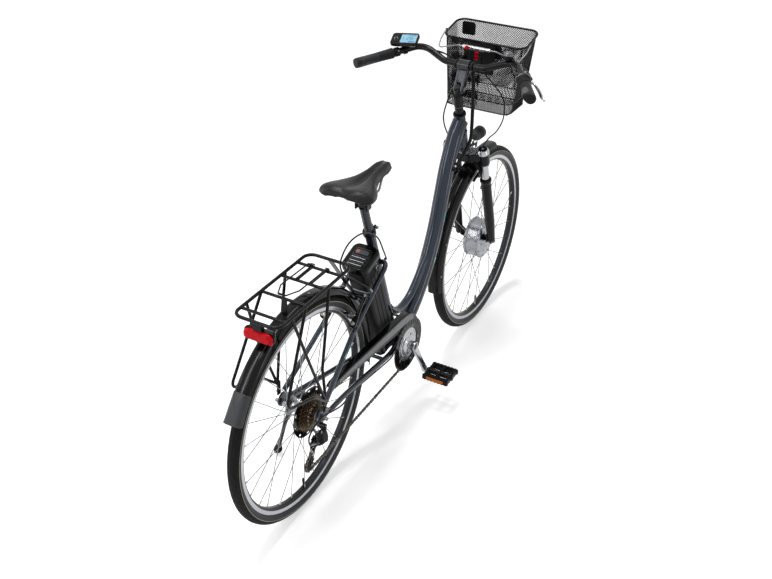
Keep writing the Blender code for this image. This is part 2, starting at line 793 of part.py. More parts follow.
def derailleur(swing):
    """Bolt, body and cage. The cage is two plates, each with its pulley pins."""
    guide = GUIDE_PULLEY
    tension = tension_pulley(swing)
    made = []
    for x, thick in ((-CHAIN_LINE + 0.0042, 0.0016), (-CHAIN_LINE - 0.0058, 0.0016)):
        outline_place = axes_at(Vector((x, guide.y, guide.z)), LEFT, tension - guide)
        plate = prism([(-0.012, -0.009), (0.02, -0.0065), (CAGE_LENGTH - 0.012, -0.0065),
                       (CAGE_LENGTH + 0.010, -0.008), (CAGE_LENGTH + 0.010, 0.008),
                       (CAGE_LENGTH - 0.012, 0.0065), (0.02, 0.0065), (-0.012, 0.009)],
                      outline_place, 0.0, thick)
        made.append(plate)
    left, right = made
    pins = []
    for centre in (guide, tension):
        pins.append(cylinder(across(centre), 0.0028, -CHAIN_LINE - 0.0052, -CHAIN_LINE + 0.0052, 6))
    knuckle = Vector((-0.0885, 0.632, 0.299))
    hanger = Vector((-0.0795, 0.618, 0.330))
    arm = bar([Vector((-CHAIN_LINE - 0.0110, guide.y, guide.z)), Vector((-0.070, 0.622, 0.266)),
               knuckle - UP * 0.010], [0.0075, 0.009, 0.010], 7)
    body = tapered([(oblong(0.030, 0.026, 0.006, 1), -0.010), (oblong(0.034, 0.022, 0.006, 1), 0.008),
                    (oblong(0.022, 0.018, 0.005, 1), 0.024)],
                   axes_at(knuckle, hanger - knuckle + UP * 0.006, Vector((0.0, 1.0, 0.0))))
    bolt = cylinder(across(hanger), 0.0085, -0.011, 0.0057, 8)
    link = bar([hanger - LEFT * 0.006, knuckle], 0.0080, 6)
    mesh = join(body, bolt, link, arm, right, pins[0], pins[1], left)
    return piece("derailleur", mesh, BLACK_PAINT)


# Frame

def down_tube_route():
    return smooth([
        on_steering(0.585), (0.0, -0.350, 0.852), (0.0, -0.303, 0.765), (0.0, -0.270, 0.670),
        (0.0, -0.240, 0.580), (0.0, -0.198, 0.488), (0.0, -0.145, 0.405), (0.0, -0.080, 0.335),
        (0.0, -0.018, 0.292), BRACKET,
    ], 11)


def brace_route():
    return smooth([
        (0.0, -0.205, 0.500), (0.0, -0.165, 0.470), (0.0, -0.097, 0.409), (0.0, -0.049, 0.379),
        (0.0, 0.007, 0.371), (0.0, 0.055, 0.388), on_seat_tube(0.175),
    ], 8)


def main_frame():
    """Head tube, down tube, curved brace, seat tube and bottom bracket shell, welded as one."""
    steer = axes_at(on_steering(0.0), STEER_AXIS)
    cup = HEAD_TUBE_RADIUS + 0.0035
    head = lathe([
        (0.0, HEAD_TUBE_BOTTOM - 0.012), (cup, HEAD_TUBE_BOTTOM - 0.012),
        (cup, HEAD_TUBE_BOTTOM), (HEAD_TUBE_RADIUS, HEAD_TUBE_BOTTOM + 0.004),
        (HEAD_TUBE_RADIUS, HEAD_TUBE_TOP - 0.004), (cup, HEAD_TUBE_TOP), (cup, HEAD_TUBE_TOP + 0.008),
        (0.0, HEAD_TUBE_TOP + 0.008),
    ], steer, 12)
    down = bar(down_tube_route(), DOWN_TUBE_RADIUS, 10, 0.1)
    brace = bar(brace_route(), BRACE_RADIUS, 7, 0.2)
    seat = bar([on_seat_tube(0.0), on_seat_tube(SEAT_TUBE_LENGTH)], SEAT_TUBE_RADIUS, 12)
    shell = cylinder(across(BRACKET), BRACKET_RADIUS + 0.003, -BRACKET_HALF_WIDTH,
                     BRACKET_HALF_WIDTH, 12)
    welded = join(down, head, seat, brace, shell)
    steerer_hole = cylinder(steer, snug(STEERER_RADIUS, 12), 0.44, 0.67, 12)
    post_hole = cylinder(axes_at(on_seat_tube(0.0), SEAT_AXIS), snug(SEATPOST_RADIUS, 12), 0.30,
                         SEAT_TUBE_LENGTH + 0.01, 12)
    spindle_hole = cylinder(across(BRACKET), snug(SPINDLE_RADIUS, 10), -0.05, 0.05, 10)
    return piece("main_frame", cut(welded, steerer_hole, post_hole, spindle_hole), FRAME_PAINT)


def dropout_side(side):
    """The plate that the rear axle passes through, with the hanger on the drive side."""
    inner = REAR_DROPOUT_WIDTH / 2
    low, high = (inner, inner + DROPOUT_THICKNESS)
    place = across(REAR_AXLE)
    outline = [(0.030, 0.006), (0.026, 0.020), (0.004, 0.044), (-0.010, 0.044), (-0.012, 0.012),
               (-0.013, -0.004), (0.000, -0.016), (0.014, -0.015), (0.024, -0.008)]
    if side < 0:
        outline = [(0.030, 0.006), (0.026, 0.020), (0.004, 0.044), (-0.010, 0.044), (-0.012, 0.012),
                   (-0.024, -0.003), (-0.029, -0.012), (-0.019, -0.023), (0.000, -0.016),
                   (0.014, -0.015), (0.024, -0.008)]
        low, high = -high, -low
    return prism(outline, place, low, high)


def chain_stay_route(side):
    end = REAR_DROPOUT_WIDTH / 2 + DROPOUT_THICKNESS / 2
    return smooth([
        Vector((side * 0.020, BRACKET.y + 0.020, BRACKET.z + 0.003)),
        Vector((side * 0.036, BRACKET.y + 0.090, BRACKET.z + 0.010)),
        Vector((side * 0.046, BRACKET.y + 0.230, BRACKET.z + 0.032)),
        Vector((side * 0.058, BRACKET.y + 0.400, BRACKET.z + 0.060)),
        Vector((side * end, REAR_AXLE.y - 0.036, REAR_AXLE.z - 0.003)),
    ], 7)


def chain_stays():
    """Both lower stays with the dropouts, and the bridge behind the bottom bracket."""
    made = []
    for side in (1, -1):
        made.append(bar(chain_stay_route(side), CHAIN_STAY_RADIUS, 6))
        made.append(dropout_side(side))
    bridge = bar([(-0.038, BRACKET.y + 0.125, BRACKET.z + 0.006), (0.038, BRACKET.y + 0.125,
                 BRACKET.z + 0.006)], 0.0065, 7)
    mount = bar([(0.0625, KICKSTAND_HINGE.y, 0.334), (0.0656, KICKSTAND_HINGE.y, 0.304)], 0.0075, 6)
    lug = cylinder(axes_at(KICKSTAND_HINGE, KICKSTAND_AXIS), 0.0100, -0.0170, -0.0081, 8)
    welded = join(bridge, *made, mount, lug)
    axle_hole = cylinder(across(REAR_AXLE), snug(AXLE_RADIUS, 12), -0.09, 0.09, 12)
    shell_space = cylinder(across(BRACKET), snug(BRACKET_RADIUS + 0.003, 16), -0.06, 0.06, 16)
    return piece("chain_stays", cut(welded, axle_hole, shell_space), FRAME_PAINT)


def seat_stay_points(side):
    foot = REAR_DROPOUT_WIDTH / 2 + DROPOUT_THICKNESS / 2
    return [
        Vector((side * (foot - 0.001), REAR_AXLE.y - 0.014, REAR_AXLE.z + 0.034)),
        Vector((side * (foot - 0.004), REAR_AXLE.y - 0.050, REAR_AXLE.z + 0.058)),
        Vector((side * (STAY_HALF_WIDTH + 0.004), 0.404, 0.510)),
        Vector((side * STAY_HALF_WIDTH, 0.180, 0.655)),
        on_seat_tube(0.386, 0.0, side * 0.008),
    ]


def seat_stay_route(side):
    return rounded(seat_stay_points(side), [0.06, 0.3, 0.03], 1)


def stay_bridge_place():
    """The bridge lies on the stays' line, just outside the rear mudguard."""
    lower, upper = seat_stay_points(1)[2:4]
    reach = GUARD_RADIUS + 0.004 + CLEARANCE + 0.006
    low, high = 0.0, 1.0
    for _ in range(40):
        middle = (low + high) / 2
        place = lower.lerp(upper, middle)
        if (flat(place) - flat(REAR_AXLE)).length < reach:
            low = middle
        else:
            high = middle
    return place


def stay_at_boss():
    """Where the rear brake's pivots stand on the seat stays."""
    lower, upper = seat_stay_points(1)[1:3]
    second, third = seat_stay_points(1)[2:4]
    best = None
    for start, end in ((lower, upper), (second, third)):
        for i in range(200):
            place = start.lerp(end, i / 199)
            error = abs((flat(place) - flat(REAR_AXLE)).length - BOSS_RADIUS)
            if best is None or error < best[0]:
                best = (error, place, (end - start).normalized())
    return best[1], best[2]


def rear_boss(side):
    """The boss's foot on the stay, its outward direction and the direction up the stay."""
    place, up_stay = stay_at_boss()
    out = Vector((0.0, -up_stay.z, up_stay.y)) * -1
    if out.z < 0:
        out = -out
    up_stay = Vector((0.0, up_stay.y, up_stay.z)).normalized()
    return Vector((side * abs(place.x), place.y, place.z)), out.normalized(), up_stay


def seat_stays():
    """Both upper stays with their bridge and the brake bosses."""
    made = []
    for side in (1, -1):
        made.append(bar(seat_stay_route(side), SEAT_STAY_RADIUS, 6, 0.15))
        foot, out, _ = rear_boss(side)
        pin_end = ARM_BACK + ARM_THICKNESS - 0.0014
        made.append(cylinder(axes_at(foot, out), BOSS_PIN_RADIUS, 0.002, pin_end, 7, 0.1))
        made.append(cylinder(axes_at(foot, out), 0.0075, 0.001, ARM_BACK - CLEARANCE, 6, 0.23))
    place = stay_bridge_place()
    bridge = bar([(-place.x, place.y, place.z), place], 0.006, 8)
    welded = join(bridge, *made)
    seat_space = cylinder(axes_at(on_seat_tube(0.0), SEAT_AXIS), snug(SEAT_TUBE_RADIUS, 14), 0.2, 0.6, 14)
    plates = []
    for side in (1, -1):
        inner = REAR_DROPOUT_WIDTH / 2 - CLEARANCE
        size = DROPOUT_THICKNESS + 2 * CLEARANCE
        middle = side * (inner + size / 2)
        plates.append(block((size, 0.060, 0.072), Matrix.Translation((middle, REAR_AXLE.y,
                            REAR_AXLE.z + 0.002))))
    return piece("seat_stays", cut(welded, seat_space, *plates), FRAME_PAINT)


def seat_clamp():
    """Ring round the top of the seat tube, with its ears and bolt in front."""
    place = axes_at(on_seat_tube(0.0), SEAT_AXIS)
    bore = snug(SEAT_TUBE_RADIUS, 12)
    low, high = SEAT_TUBE_LENGTH - 0.016, SEAT_TUBE_LENGTH - 0.001
    middle = (low + high) / 2
    ring = cylinder(place, bore + 0.0035, low, high, 12)
    ears = block((0.022, 0.013, high - low - 0.002), place @ Matrix.Translation((0.0, -bore - 0.006, middle)))
    bolt = cylinder(axes_at(on_seat_tube(middle, -bore - 0.0075), LEFT), 0.0035, -0.016, 0.016, 6)
    hole = cylinder(place, bore, low - 0.01, high + 0.01, 12)
    slot = block((0.003, 0.024, 0.04), place @ Matrix.Translation((0.0, -bore - 0.004, middle)))
    mesh = join(cut(join(ring, ears), hole, slot), bolt)
    return piece("seat_clamp", mesh, BLACK_PAINT)


def arc_shell(axle, start, end, steps, radius=GUARD_RADIUS):
    """A channel along an arc about an axle. Angles run from +Y towards +Z."""
    half = GUARD_HALF_WIDTH
    outer = [(half, -0.016), (half * 0.75, -0.001), (0.0, 0.003), (-half * 0.75, -0.001), (-half, -0.016)]
    inner = [(-half + GUARD_WALL, -0.016), (0.0, -0.0005), (half - GUARD_WALL, -0.016)]
    rings = []
    for i in range(steps + 1):
        angle = start + (end - start) * i / steps
        ring = []
        for x, rise in outer + inner:
            size = radius + rise
            ring.append(axle + Vector((x, size * math.cos(angle), size * math.sin(angle))))
        rings.append(ring)
    return loft(rings)


def rear_mudguard():
    """Guard over the rear wheel, with a flared flap at its rear end."""
    start, end = math.radians(27.0), math.radians(188.0)
    shell = arc_shell(REAR_AXLE, start, end, 12)
    flap = []
    for i in range(4):
        angle = start + math.radians(5.0) - math.radians(4.0) * i
        wide = GUARD_HALF_WIDTH + 0.0015 + 0.002 * i
        low = GUARD_RADIUS - 0.014 + 0.002 * i
        high = GUARD_RADIUS + 0.0045 + 0.003 * i
        ring = []
        for x, size in ((wide, low), (wide * 0.8, high - 0.004), (0.0, high), (-wide * 0.8, high - 0.004),
                        (-wide, low), (-wide + 0.003, low), (0.0, high - 0.004), (wide - 0.003, low)):
            ring.append(REAR_AXLE + Vector((x, size * math.cos(angle), size * math.sin(angle))))
        flap.append(ring)
    return piece("rear_mudguard", join(shell, loft(flap)), BLACK_PAINT)


# Carrier

def rack_foot(side):
    """The bolted foot just above the rear axle."""
    return Vector((side * RACK_FOOT, REAR_AXLE.y - 0.002, REAR_AXLE.z + 0.060))


def rack():
    """Carrier of bent tube: deck, cross bars, two stays and a side loop on each side."""
    z = RACK_HEIGHT
    half = RACK_HALF_WIDTH
    deck = rounded([(0.0, RACK_FRONT, z + 0.004), (half, RACK_FRONT, z + 0.004), (half, RACK_REAR, z),
                    (-half, RACK_REAR, z), (-half, RACK_FRONT, z + 0.004), (0.0, RACK_FRONT, z + 0.004)],
                   0.028, 2)
    made = [closed_loop(deck[:-1], RACK_TUBE, 5)]
    for y in RACK_BARS:
        made.append(bar([(-half, y, z - 0.001), (half, y, z - 0.001)], RACK_TUBE * 0.9, 5))
    for side in (1, -1):
        foot = rack_foot(side)
        edge = side * (half - 0.001)
        made.append(bar(rounded([(edge, 0.560, z), (side * 0.074, 0.604, 0.520),
                                 foot - UP * 0.004], 0.04, 1), RACK_TUBE * 0.9, 5))
        made.append(bar(rounded([(edge, 0.745, z), (side * 0.082, 0.690, 0.610),
                                 foot - UP * 0.002], 0.06, 1), RACK_TUBE * 0.9, 5))
        made.append(bar(rounded([(edge, 0.676, z), (side * 0.092, 0.812, 0.520),
                                 (side * 0.094, 0.680, 0.478), foot], [0.022, 0.05], 2),
                        RACK_TUBE * 0.9, 5))
        made.append(block((0.005, 0.016, 0.046), Matrix.Translation(foot - UP * 0.014
                          - LEFT * side * 0.004)))
    for x in (-0.022, 0.022):
        made.append(block((0.012, RACK_BARS[1] - RACK_BARS[0], 0.003), Matrix.Translation(
            (x, (RACK_BARS[0] + RACK_BARS[1]) / 2, z - 0.001))))
    made.append(block((0.036, 0.003, 0.032), Matrix.Translation((0.0, RACK_REAR - 0.0042, z - 0.017))))
    made.extend(rack_struts())
    return piece("rack", join(*made), BLACK_PAINT)


def rack_struts():
    """The strap down to the stay bridge in front, and the one that holds the mudguard."""
    bridge = stay_bridge_place()
    top = Vector((0.0, RACK_FRONT, RACK_HEIGHT + 0.002))
    direction = (Vector((0.0, bridge.y, bridge.z)) - top).normalized()
    reach = (Vector((0.0, bridge.y, bridge.z)) - top).length - 0.006 - CLEARANCE
    place = axes_at(top, direction, LEFT)
    strap = block((0.018, 0.003, reach), place @ Matrix.Translation((0.0, 0.0, reach / 2)))
    y = RACK_BARS[2]
    rise = math.sqrt((GUARD_RADIUS + 0.003 + CLEARANCE) ** 2 - (y - REAR_AXLE.y) ** 2)
    low = REAR_AXLE.z + rise - 0.0006
    post = block((0.018, 0.003, RACK_HEIGHT - low), Matrix.Translation((0.0, y,
                 (RACK_HEIGHT + low) / 2)))
    return [strap, post]


def closed_loop(points, radius, sides):
    """A round bar along a loop."""
    points = [Vector(point) for point in points]
    count = len(points)
    rings = []
    for i in range(count):
        tangent = (points[(i + 1) % count] - points[i - 1]).normalized()
        across_bar = tangent.cross(UP).normalized()
        over = across_bar.cross(tangent)
        rings.append([points[i] + across_bar * x + over * y for x, y in circle(radius, sides)])
    return loft(rings, closed=True)


def rack_clamp(parent, pivot):
    """Sprung wire clamp, hinged on a cross bar."""
    radius = 0.0022
    wire = rounded([
        pivot + Vector((-0.030, 0.0, 0.0)), pivot + Vector((-0.030, 0.010, 0.010)),
        pivot + Vector((-0.030, 0.150, 0.013)), pivot + Vector((-0.012, 0.190, 0.013)),
        pivot + Vector((0.012, 0.190, 0.013)), pivot + Vector((0.030, 0.150, 0.013)),
        pivot + Vector((0.030, 0.010, 0.010)), pivot + Vector((0.030, 0.0, 0.0)),
    ], 0.004, 1)
    arch = bar(wire, radius, 5)
    return piece("rack_clamp", arch, STEEL, pivot, parent)


def tail_light():
    """Black housing under the carrier's rear end, with the red lens behind it."""
    y, z = RACK_REAR - 0.018, RACK_HEIGHT - 0.0505
    back = axes_at((0.0, y, z), Vector((0.0, 1.0, 0.0)), LEFT)
    case = tapered([(oblong(0.080, 0.026, 0.008, 1), -0.018), (oblong(0.096, 0.034, 0.010, 1), -0.003),
                    (oblong(0.096, 0.034, 0.010, 1), 0.004)], back)
    riser = block((0.030, 0.006, 0.026), Matrix.Translation((0.0, y + 0.001, z + 0.018)))
    lug_end = RACK_REAR - 0.006
    lug = block((0.030, lug_end - y, 0.014), Matrix.Translation((0.0, (y + lug_end) / 2, z + 0.025)))
    lens = tapered([(oblong(0.094, 0.032, 0.010, 2), 0.004 + CLEARANCE),
                    (oblong(0.092, 0.031, 0.010, 2), 0.010),
                    (oblong(0.080, 0.022, 0.008, 2), 0.016)], back)
    piece("tail_light_housing", join(case, riser, lug), BLACK_PLASTIC)
    piece("tail_light_lens", lens, RED)


# Battery

def battery_place():
    return axes_at(on_seat_tube(0.0, BATTERY_GAP), SEAT_AXIS, LEFT)


def battery_outline(half, depth, corner=0.014):
    """Drawn with the middle of its front edge at the frame's origin. y points backwards."""
    return [(x, y + depth / 2) for x, y in oblong(2 * half, depth, corner, 2)]


def battery_case(parent, pivot):
    """Ribbed case with a wide cap that carries the charge display, and a handle slot."""
    place = battery_place()
    half, depth = BATTERY_HALF_WIDTH, BATTERY_DEPTH
    body = prism(battery_outline(half, depth), place, BATTERY_BOTTOM, BATTERY_TOP)
    ribs = []
    for i in range(3):
        y = 0.026 + 0.018 * i
        for side in (1, -1):
            ribs.append(block((0.004, 0.009, 0.30), place @ Matrix.Translation((side * (half + 0.0004), y,
                              (BATTERY_BOTTOM + BATTERY_TOP) / 2 - 0.015))))
    body = cut(body, gathered(ribs))
    cap = tapered([(battery_outline(half + 0.006, depth + 0.004), BATTERY_TOP - 0.004),
                   (battery_outline(half + 0.011, depth + 0.018), BATTERY_TOP + 0.006),
                   (battery_outline(half + 0.011, depth + 0.018), BATTERY_TOP + 0.020),
                   (battery_outline(half + 0.004, depth + 0.008), BATTERY_TOP + 0.028)], place)
    recess = block((0.044, 0.040, 0.010), place @ Matrix.Translation((0.0, 0.045, BATTERY_TOP + 0.030)))
    well = cylinder(axes_at(lock_place(), -LEFT), snug(LOCK_RADIUS, 10), -0.0046, 0.01, 10)
    return piece("battery_case", cut(join(body, cap), recess, well), BLACK_PLASTIC, pivot, parent)


def lock_place():
    return on_seat_tube(BATTERY_TOP - 0.030, BATTERY_GAP + 0.022, -BATTERY_HALF_WIDTH)


def key_lock(parent, pivot):
    """Lock barrel on the battery's right side, with its slotted face."""
    place = axes_at(pivot, -LEFT, UP)
    barrel = lathe([(0.0, -0.004), (LOCK_RADIUS, -0.004), (LOCK_RADIUS, 0.0035), (0.0060, 0.0048),
                    (0.0, 0.0048)], place, 10)
    slot = block((0.008, 0.0016, 0.003), place @ Matrix.Translation((0.0, 0.0, 0.0048)))
    return piece("key_lock", cut(barrel, slot), SILVER, pivot, parent)


def battery_dock():
    """Rail that holds the battery to the seat tube, with the shoe and controller below it."""
    place = axes_at(on_seat_tube(0.0, 0.0), SEAT_AXIS, LEFT)
    low = BATTERY_BOTTOM - 0.004
    rail_front = SEAT_TUBE_RADIUS + CLEARANCE
    rail_back = BATTERY_GAP - CLEARANCE
    rail = block((0.022, rail_back - rail_front, 0.27), place @ Matrix.Translation(
        (0.0, (rail_back + rail_front) / 2, low + 0.115)))
    shoe_top = BATTERY_BOTTOM - CLEARANCE
    shoe = tapered([([(x, y + BATTERY_GAP - 0.004) for x, y in battery_outline(half, BATTERY_DEPTH)], height)
                    for half, height in ((BATTERY_HALF_WIDTH - 0.011, shoe_top - 0.020),
                                         (BATTERY_HALF_WIDTH, shoe_top - 0.008),
                                         (BATTERY_HALF_WIDTH, shoe_top))], place)
    box = block((0.050, 0.050, 0.026), Matrix.Translation((0.0, BRACKET.y + 0.070, BRACKET.z + 0.030)))
    return piece("battery_dock", join(rail, shoe, box), BLACK_PLASTIC)


# Saddle and post

def seatpost(parent):
    top = SEAT_TUBE_LENGTH + SEATPOST_OUT
    place = axes_at(on_seat_tube(0.0), SEAT_AXIS)
    post = cylinder(place, SEATPOST_RADIUS, 0.40, top, 12)
    head = on_seat_tube(top + 0.006)
    barrel = cylinder(across(head), 0.011, -0.015, 0.015, 10)
    return piece("seatpost", join(post, barrel), BLACK_PAINT, on_seat_tube(SEAT_TUBE_LENGTH), parent)


def saddle_section(y, half, top, drop):
    """One section of the saddle: crowned, with a channel along its middle and drawn-in sides."""
    channel = 0.006 * math.sin(math.pi * min(1.0, max(0.0, y / SADDLE_LENGTH))) ** 0.6
    shape = [
        (0.00, top - channel), (0.22, top - channel * 0.2), (0.50, top + 0.001), (0.84, top - 0.008),
        (0.98, top - 0.022), (0.99, top - drop * 0.75), (0.92, top - drop), (0.00, top - drop * 0.62),
    ]
    right = [(share * half, z) for share, z in shape]
    left = [(-x, z) for x, z in reversed(right[1:-1])]
    return [SADDLE_NOSE + Vector((x, y, z)) for x, z in right + left]


def saddle(parent, pivot):
    body = loft([saddle_section(*station) for station in SADDLE_STATIONS])
    rails = []
    z = SADDLE_NOSE.z - 0.052
    for side in (1, -1):
        rails.append(bar(rounded([(side * 0.014, 0.160, SADDLE_NOSE.z - 0.006), (side * 0.022, 0.200, z),
                                  (side * 0.022, 0.300, z), (side * 0.036, 0.345, SADDLE_NOSE.z - 0.008)],
                                 0.012, 1), 0.0035, 5, 0.47))
    clamp = block((0.044, 0.034, 0.018), Matrix.Translation(pivot + Vector((0.0, 0.0, 0.0210))))
    ears = []
    for side in (1, -1):
        ear = pivot + Vector((side * 0.0185, 0.0, 0.004))
        ears.append(block((0.006, 0.028, 0.034), Matrix.Translation(ear)))
    mesh = join(body, *rails, clamp, *ears)
    return piece("saddle", mesh, RUBBER, pivot, parent, 60.0)


# Fork

def fork_crown(parent):
    """Steerer, crown and the two stanchions."""
    steer = axes_at(on_steering(0.0), STEER_AXIS)
    steerer = cylinder(steer, STEERER_RADIUS, CROWN_TOP - 0.011, COLLAR_TOP - 0.004, 12)
    race = cylinder(steer, HEAD_TUBE_RADIUS + 0.002, CROWN_TOP - 0.013,
                    HEAD_TUBE_BOTTOM - 0.012 - CLEARANCE, 12)
    # The frame's y points backwards here, and the legs stand ahead of the steering axis.
    outline = [(-LEG_SPREAD, -0.026), (LEG_SPREAD, -0.026), (LEG_SPREAD, 0.004), (0.026, 0.022),
               (-0.026, 0.022), (-LEG_SPREAD, 0.004)]
    bridge = prism(outline, steer, CROWN_BOTTOM, CROWN_TOP)
    strap, strap_hole = headlight_strap()
    made = [bridge, race, steerer, *strap]
    for side in (1, -1):
        leg = axes_at(on_steering(0.0, LEG_OFFSET, side * LEG_SPREAD), STEER_AXIS)
        made.append(lathe([(0.0, LEG_CAP_BOTTOM), (0.0205, LEG_CAP_BOTTOM), (0.0215, CROWN_TOP),
                           (0.017, CROWN_TOP + 0.010), (0.0, CROWN_TOP + 0.010)], leg, 10, 0.1))
        made.append(cylinder(leg, STANCHION_RADIUS, STANCHION_BOTTOM, CROWN_TOP - 0.004, 10))
    bore = cylinder(steer, snug(QUILL_RADIUS, 12), QUILL_BOTTOM - 0.03, COLLAR_TOP + 0.02, 12)
    mesh = cut(join(*made), bore, strap_hole)
    return piece("fork_crown", mesh, BLACK_PAINT, on_steering(HEAD_TUBE_BOTTOM), parent)


def fork_lowers(parent):
    """Two hollow legs, the arch that joins them, the brake bosses and the dropouts."""
    made, bores = [], []
    for side in (1, -1):
        leg = axes_at(on_steering(0.0, LEG_OFFSET, side * LEG_SPREAD), STEER_AXIS)
        made.append(lathe([(0.0, 0.0285), (0.013, 0.0285), (LOWER_RADIUS - 0.001, 0.12),
                           (LOWER_RADIUS - 0.001, LOWER_TOP), (LOWER_RADIUS + 0.0015, LOWER_TOP + 0.001),
                           (LOWER_RADIUS + 0.0015, LOWER_TOP + 0.011), (0.0, LOWER_TOP + 0.011)], leg, 10))
        bores.append(cylinder(leg, snug(STANCHION_RADIUS, 10), STANCHION_BOTTOM - FORK_TRAVEL - 0.006,
                              LOWER_TOP + 0.03, 10))
        made.append(front_dropout(side))
        pin_end = ARM_BACK + ARM_THICKNESS - 0.0014
        made.append(cylinder(front_boss(side), BOSS_PIN_RADIUS, 0.002, pin_end, 7, 0.1))
        made.append(cylinder(front_boss(side), 0.0075, 0.001, ARM_BACK - CLEARANCE, 6, 0.23))
    ahead = LEG_OFFSET + 0.010
    arch = rounded([on_steering(0.290, ahead, LEG_SPREAD - 0.006),
                    on_steering(ARCH_HEIGHT, ahead, LEG_SPREAD - 0.030),
                    on_steering(ARCH_HEIGHT, ahead, -LEG_SPREAD + 0.030),
                    on_steering(0.290, ahead, -LEG_SPREAD + 0.006)], 0.018, 2)
    made.append(bar(arch, 0.007, 6))
    return piece("fork_lowers", cut(join(*made), *bores, *front_axle_holes()), BLACK_PAINT,
                 on_steering(LOWER_TOP), parent)


def front_dropout(side):
    """Plate from the leg's lower end forward to the axle."""
    inner = FRONT_DROPOUT_WIDTH / 2
    place = axes_at(FRONT_AXLE, LEFT, STEER_AXIS)
    outline = [(0.062, -0.034), (0.060, -0.016), (0.012, 0.010), (-0.002, 0.012), (-0.012, 0.004),
               (-0.012, -0.008), (0.002, -0.016), (0.026, -0.034)]
    low, high = inner, inner + 0.006
    if side < 0:
        low, high = -high, -low
    return prism(outline, place, low, high)


def front_axle_holes():
    return [cylinder(across(FRONT_AXLE), snug(AXLE_RADIUS, 12), -0.09, 0.09, 12)]


def front_boss(side):
    """A frame at the leg's centre, with z pointing ahead."""
    return axes_at(on_steering(BOSS_RADIUS, LEG_OFFSET, side * 0.048), STEER_AHEAD, LEFT)


def axle(name, centre, inner, outer, reach, cone, parent=None):
    """A solid axle with its cones inside the dropouts and its nuts outside."""
    washer, nut = outer + CLEARANCE, outer + 0.0025
    side = [(0.0, reach), (AXLE_RADIUS, reach), (AXLE_RADIUS, nut + 0.0075), (0.0090, nut + 0.0075),
            (0.0090, nut), (0.0110, nut), (0.0110, washer), (AXLE_RADIUS, washer),
            (AXLE_RADIUS, inner - CLEARANCE), (0.0085, inner - CLEARANCE), (0.0085, cone),
            (AXLE_RADIUS, cone)]
    profile = side + [(radius, -x) for radius, x in reversed(side)]
    return piece(name, lathe(profile, across(centre), 6), STEEL, centre, parent)


# Cockpit

def stem_pivot():
    return on_steering(STEM_PIVOT_S, STEM_PIVOT_AHEAD)


def bar_centre():
    rise = Vector((0.0, -math.cos(STEM_RISE), math.sin(STEM_RISE)))
    return stem_pivot() + rise * STEM_REACH


def stem_post(parent):
    """Quill with its head, which carries the tilting arm between two cheeks."""
    steer = axes_at(on_steering(0.0), STEER_AXIS)
    quill = cylinder(steer, QUILL_RADIUS, QUILL_BOTTOM, QUILL_TOP, 12)
    collar = cylinder(steer, 0.0155, COLLAR_TOP + 0.004 + CLEARANCE, QUILL_TOP - 0.004, 12)
    pivot = stem_pivot()
    head = cylinder(across(pivot), STEM_PIVOT_RADIUS, -0.0075, 0.0075, 10)
    neck = bar([on_steering(QUILL_TOP - 0.014), pivot], [0.013, 0.0125], 10, 0.1)
    tongue = cut(join(collar, quill, neck), *arm_spaces())
    return piece("stem_post", join(tongue, head), BLACK_PAINT, on_steering(COLLAR_TOP), parent)


def arm_spaces():
    """The room that the arm's cheeks need on either side of the head."""
    pivot = stem_pivot()
    radius = STEM_PIVOT_RADIUS + 0.0025
    left_part = cylinder(across(pivot), radius, 0.0070, 0.03, 12)
    right_part = cylinder(across(pivot), radius, -0.03, -0.0070, 12)
    return [left_part, right_part]


def stem_arm(parent):
    """Arm with two cheeks round the post's head, its pivot bolt and the handlebar clamp."""
    pivot, top = stem_pivot(), bar_centre()
    place = axes_at(pivot, LEFT, top - pivot)
    outline = [(-0.013, -0.010), (-0.006, -0.0155), (0.010, -0.0145), (0.052, -0.012), (0.060, -0.012),
               (0.060, 0.012), (0.052, 0.012), (0.010, 0.0145), (-0.006, 0.0155), (-0.013, 0.010)]
    inner = 0.0075 + CLEARANCE
    outer = STEM_PIVOT_HALF_WIDTH
    made = [prism(outline, place, inner, outer), prism(outline, place, -outer, -inner)]
    web = block((0.040, 0.022, 2 * outer - 0.004), place @ Matrix.Translation((0.044, 0.0, 0.0)))
    clamp = cylinder(across(top), BAR_CLAMP_RADIUS + 0.006, -0.0195, 0.0195, 12)
    bolt_l = cylinder(across(pivot), 0.0085, outer - 0.001, outer + 0.003, 8)
    bolt_r = cylinder(across(pivot), 0.0085, -outer - 0.003, -outer + 0.001, 8)
    hole = cylinder(across(top), snug(BAR_CLAMP_RADIUS, 10), -0.05, 0.05, 10)
    mesh = cut(join(web, *made, clamp, bolt_l, bolt_r), hole)
    return piece("stem_arm", mesh, GREY_PLASTIC, pivot, parent)


def bar_points(side):
    """The handlebar's centre line from the clamp to one grip's end."""
    centre = bar_centre()
    return [
        centre,
        centre + Vector((side * 0.074, -0.002, 0.002)),
        centre + Vector((side * 0.166, -0.028, 0.034)),
        centre + Vector((side * 0.306, 0.179, 0.006)),
    ]


def bar_route():
    left = rounded(bar_points(1), [0.06, BAR_BEND_RADIUS], 2)
    right = rounded(bar_points(-1), [0.06, BAR_BEND_RADIUS], 2)
    return list(reversed(right)) + left[1:]


def grip_frame(side, back):
    """A frame on the grip's axis, back from the bar's end. z runs outward, x towards the lever."""
    inner, end = bar_points(side)[2:]
    outward = (end - inner).normalized()
    level = Vector((side * outward.y, -abs(outward.x), 0.0)).normalized() if side > 0 else Vector(
        (-outward.y, -abs(outward.x), 0.0)).normalized()
    towards = (level * math.cos(LEVER_DROP) - UP * math.sin(LEVER_DROP)).normalized()
    return axes_at(end - outward * back, outward, towards)


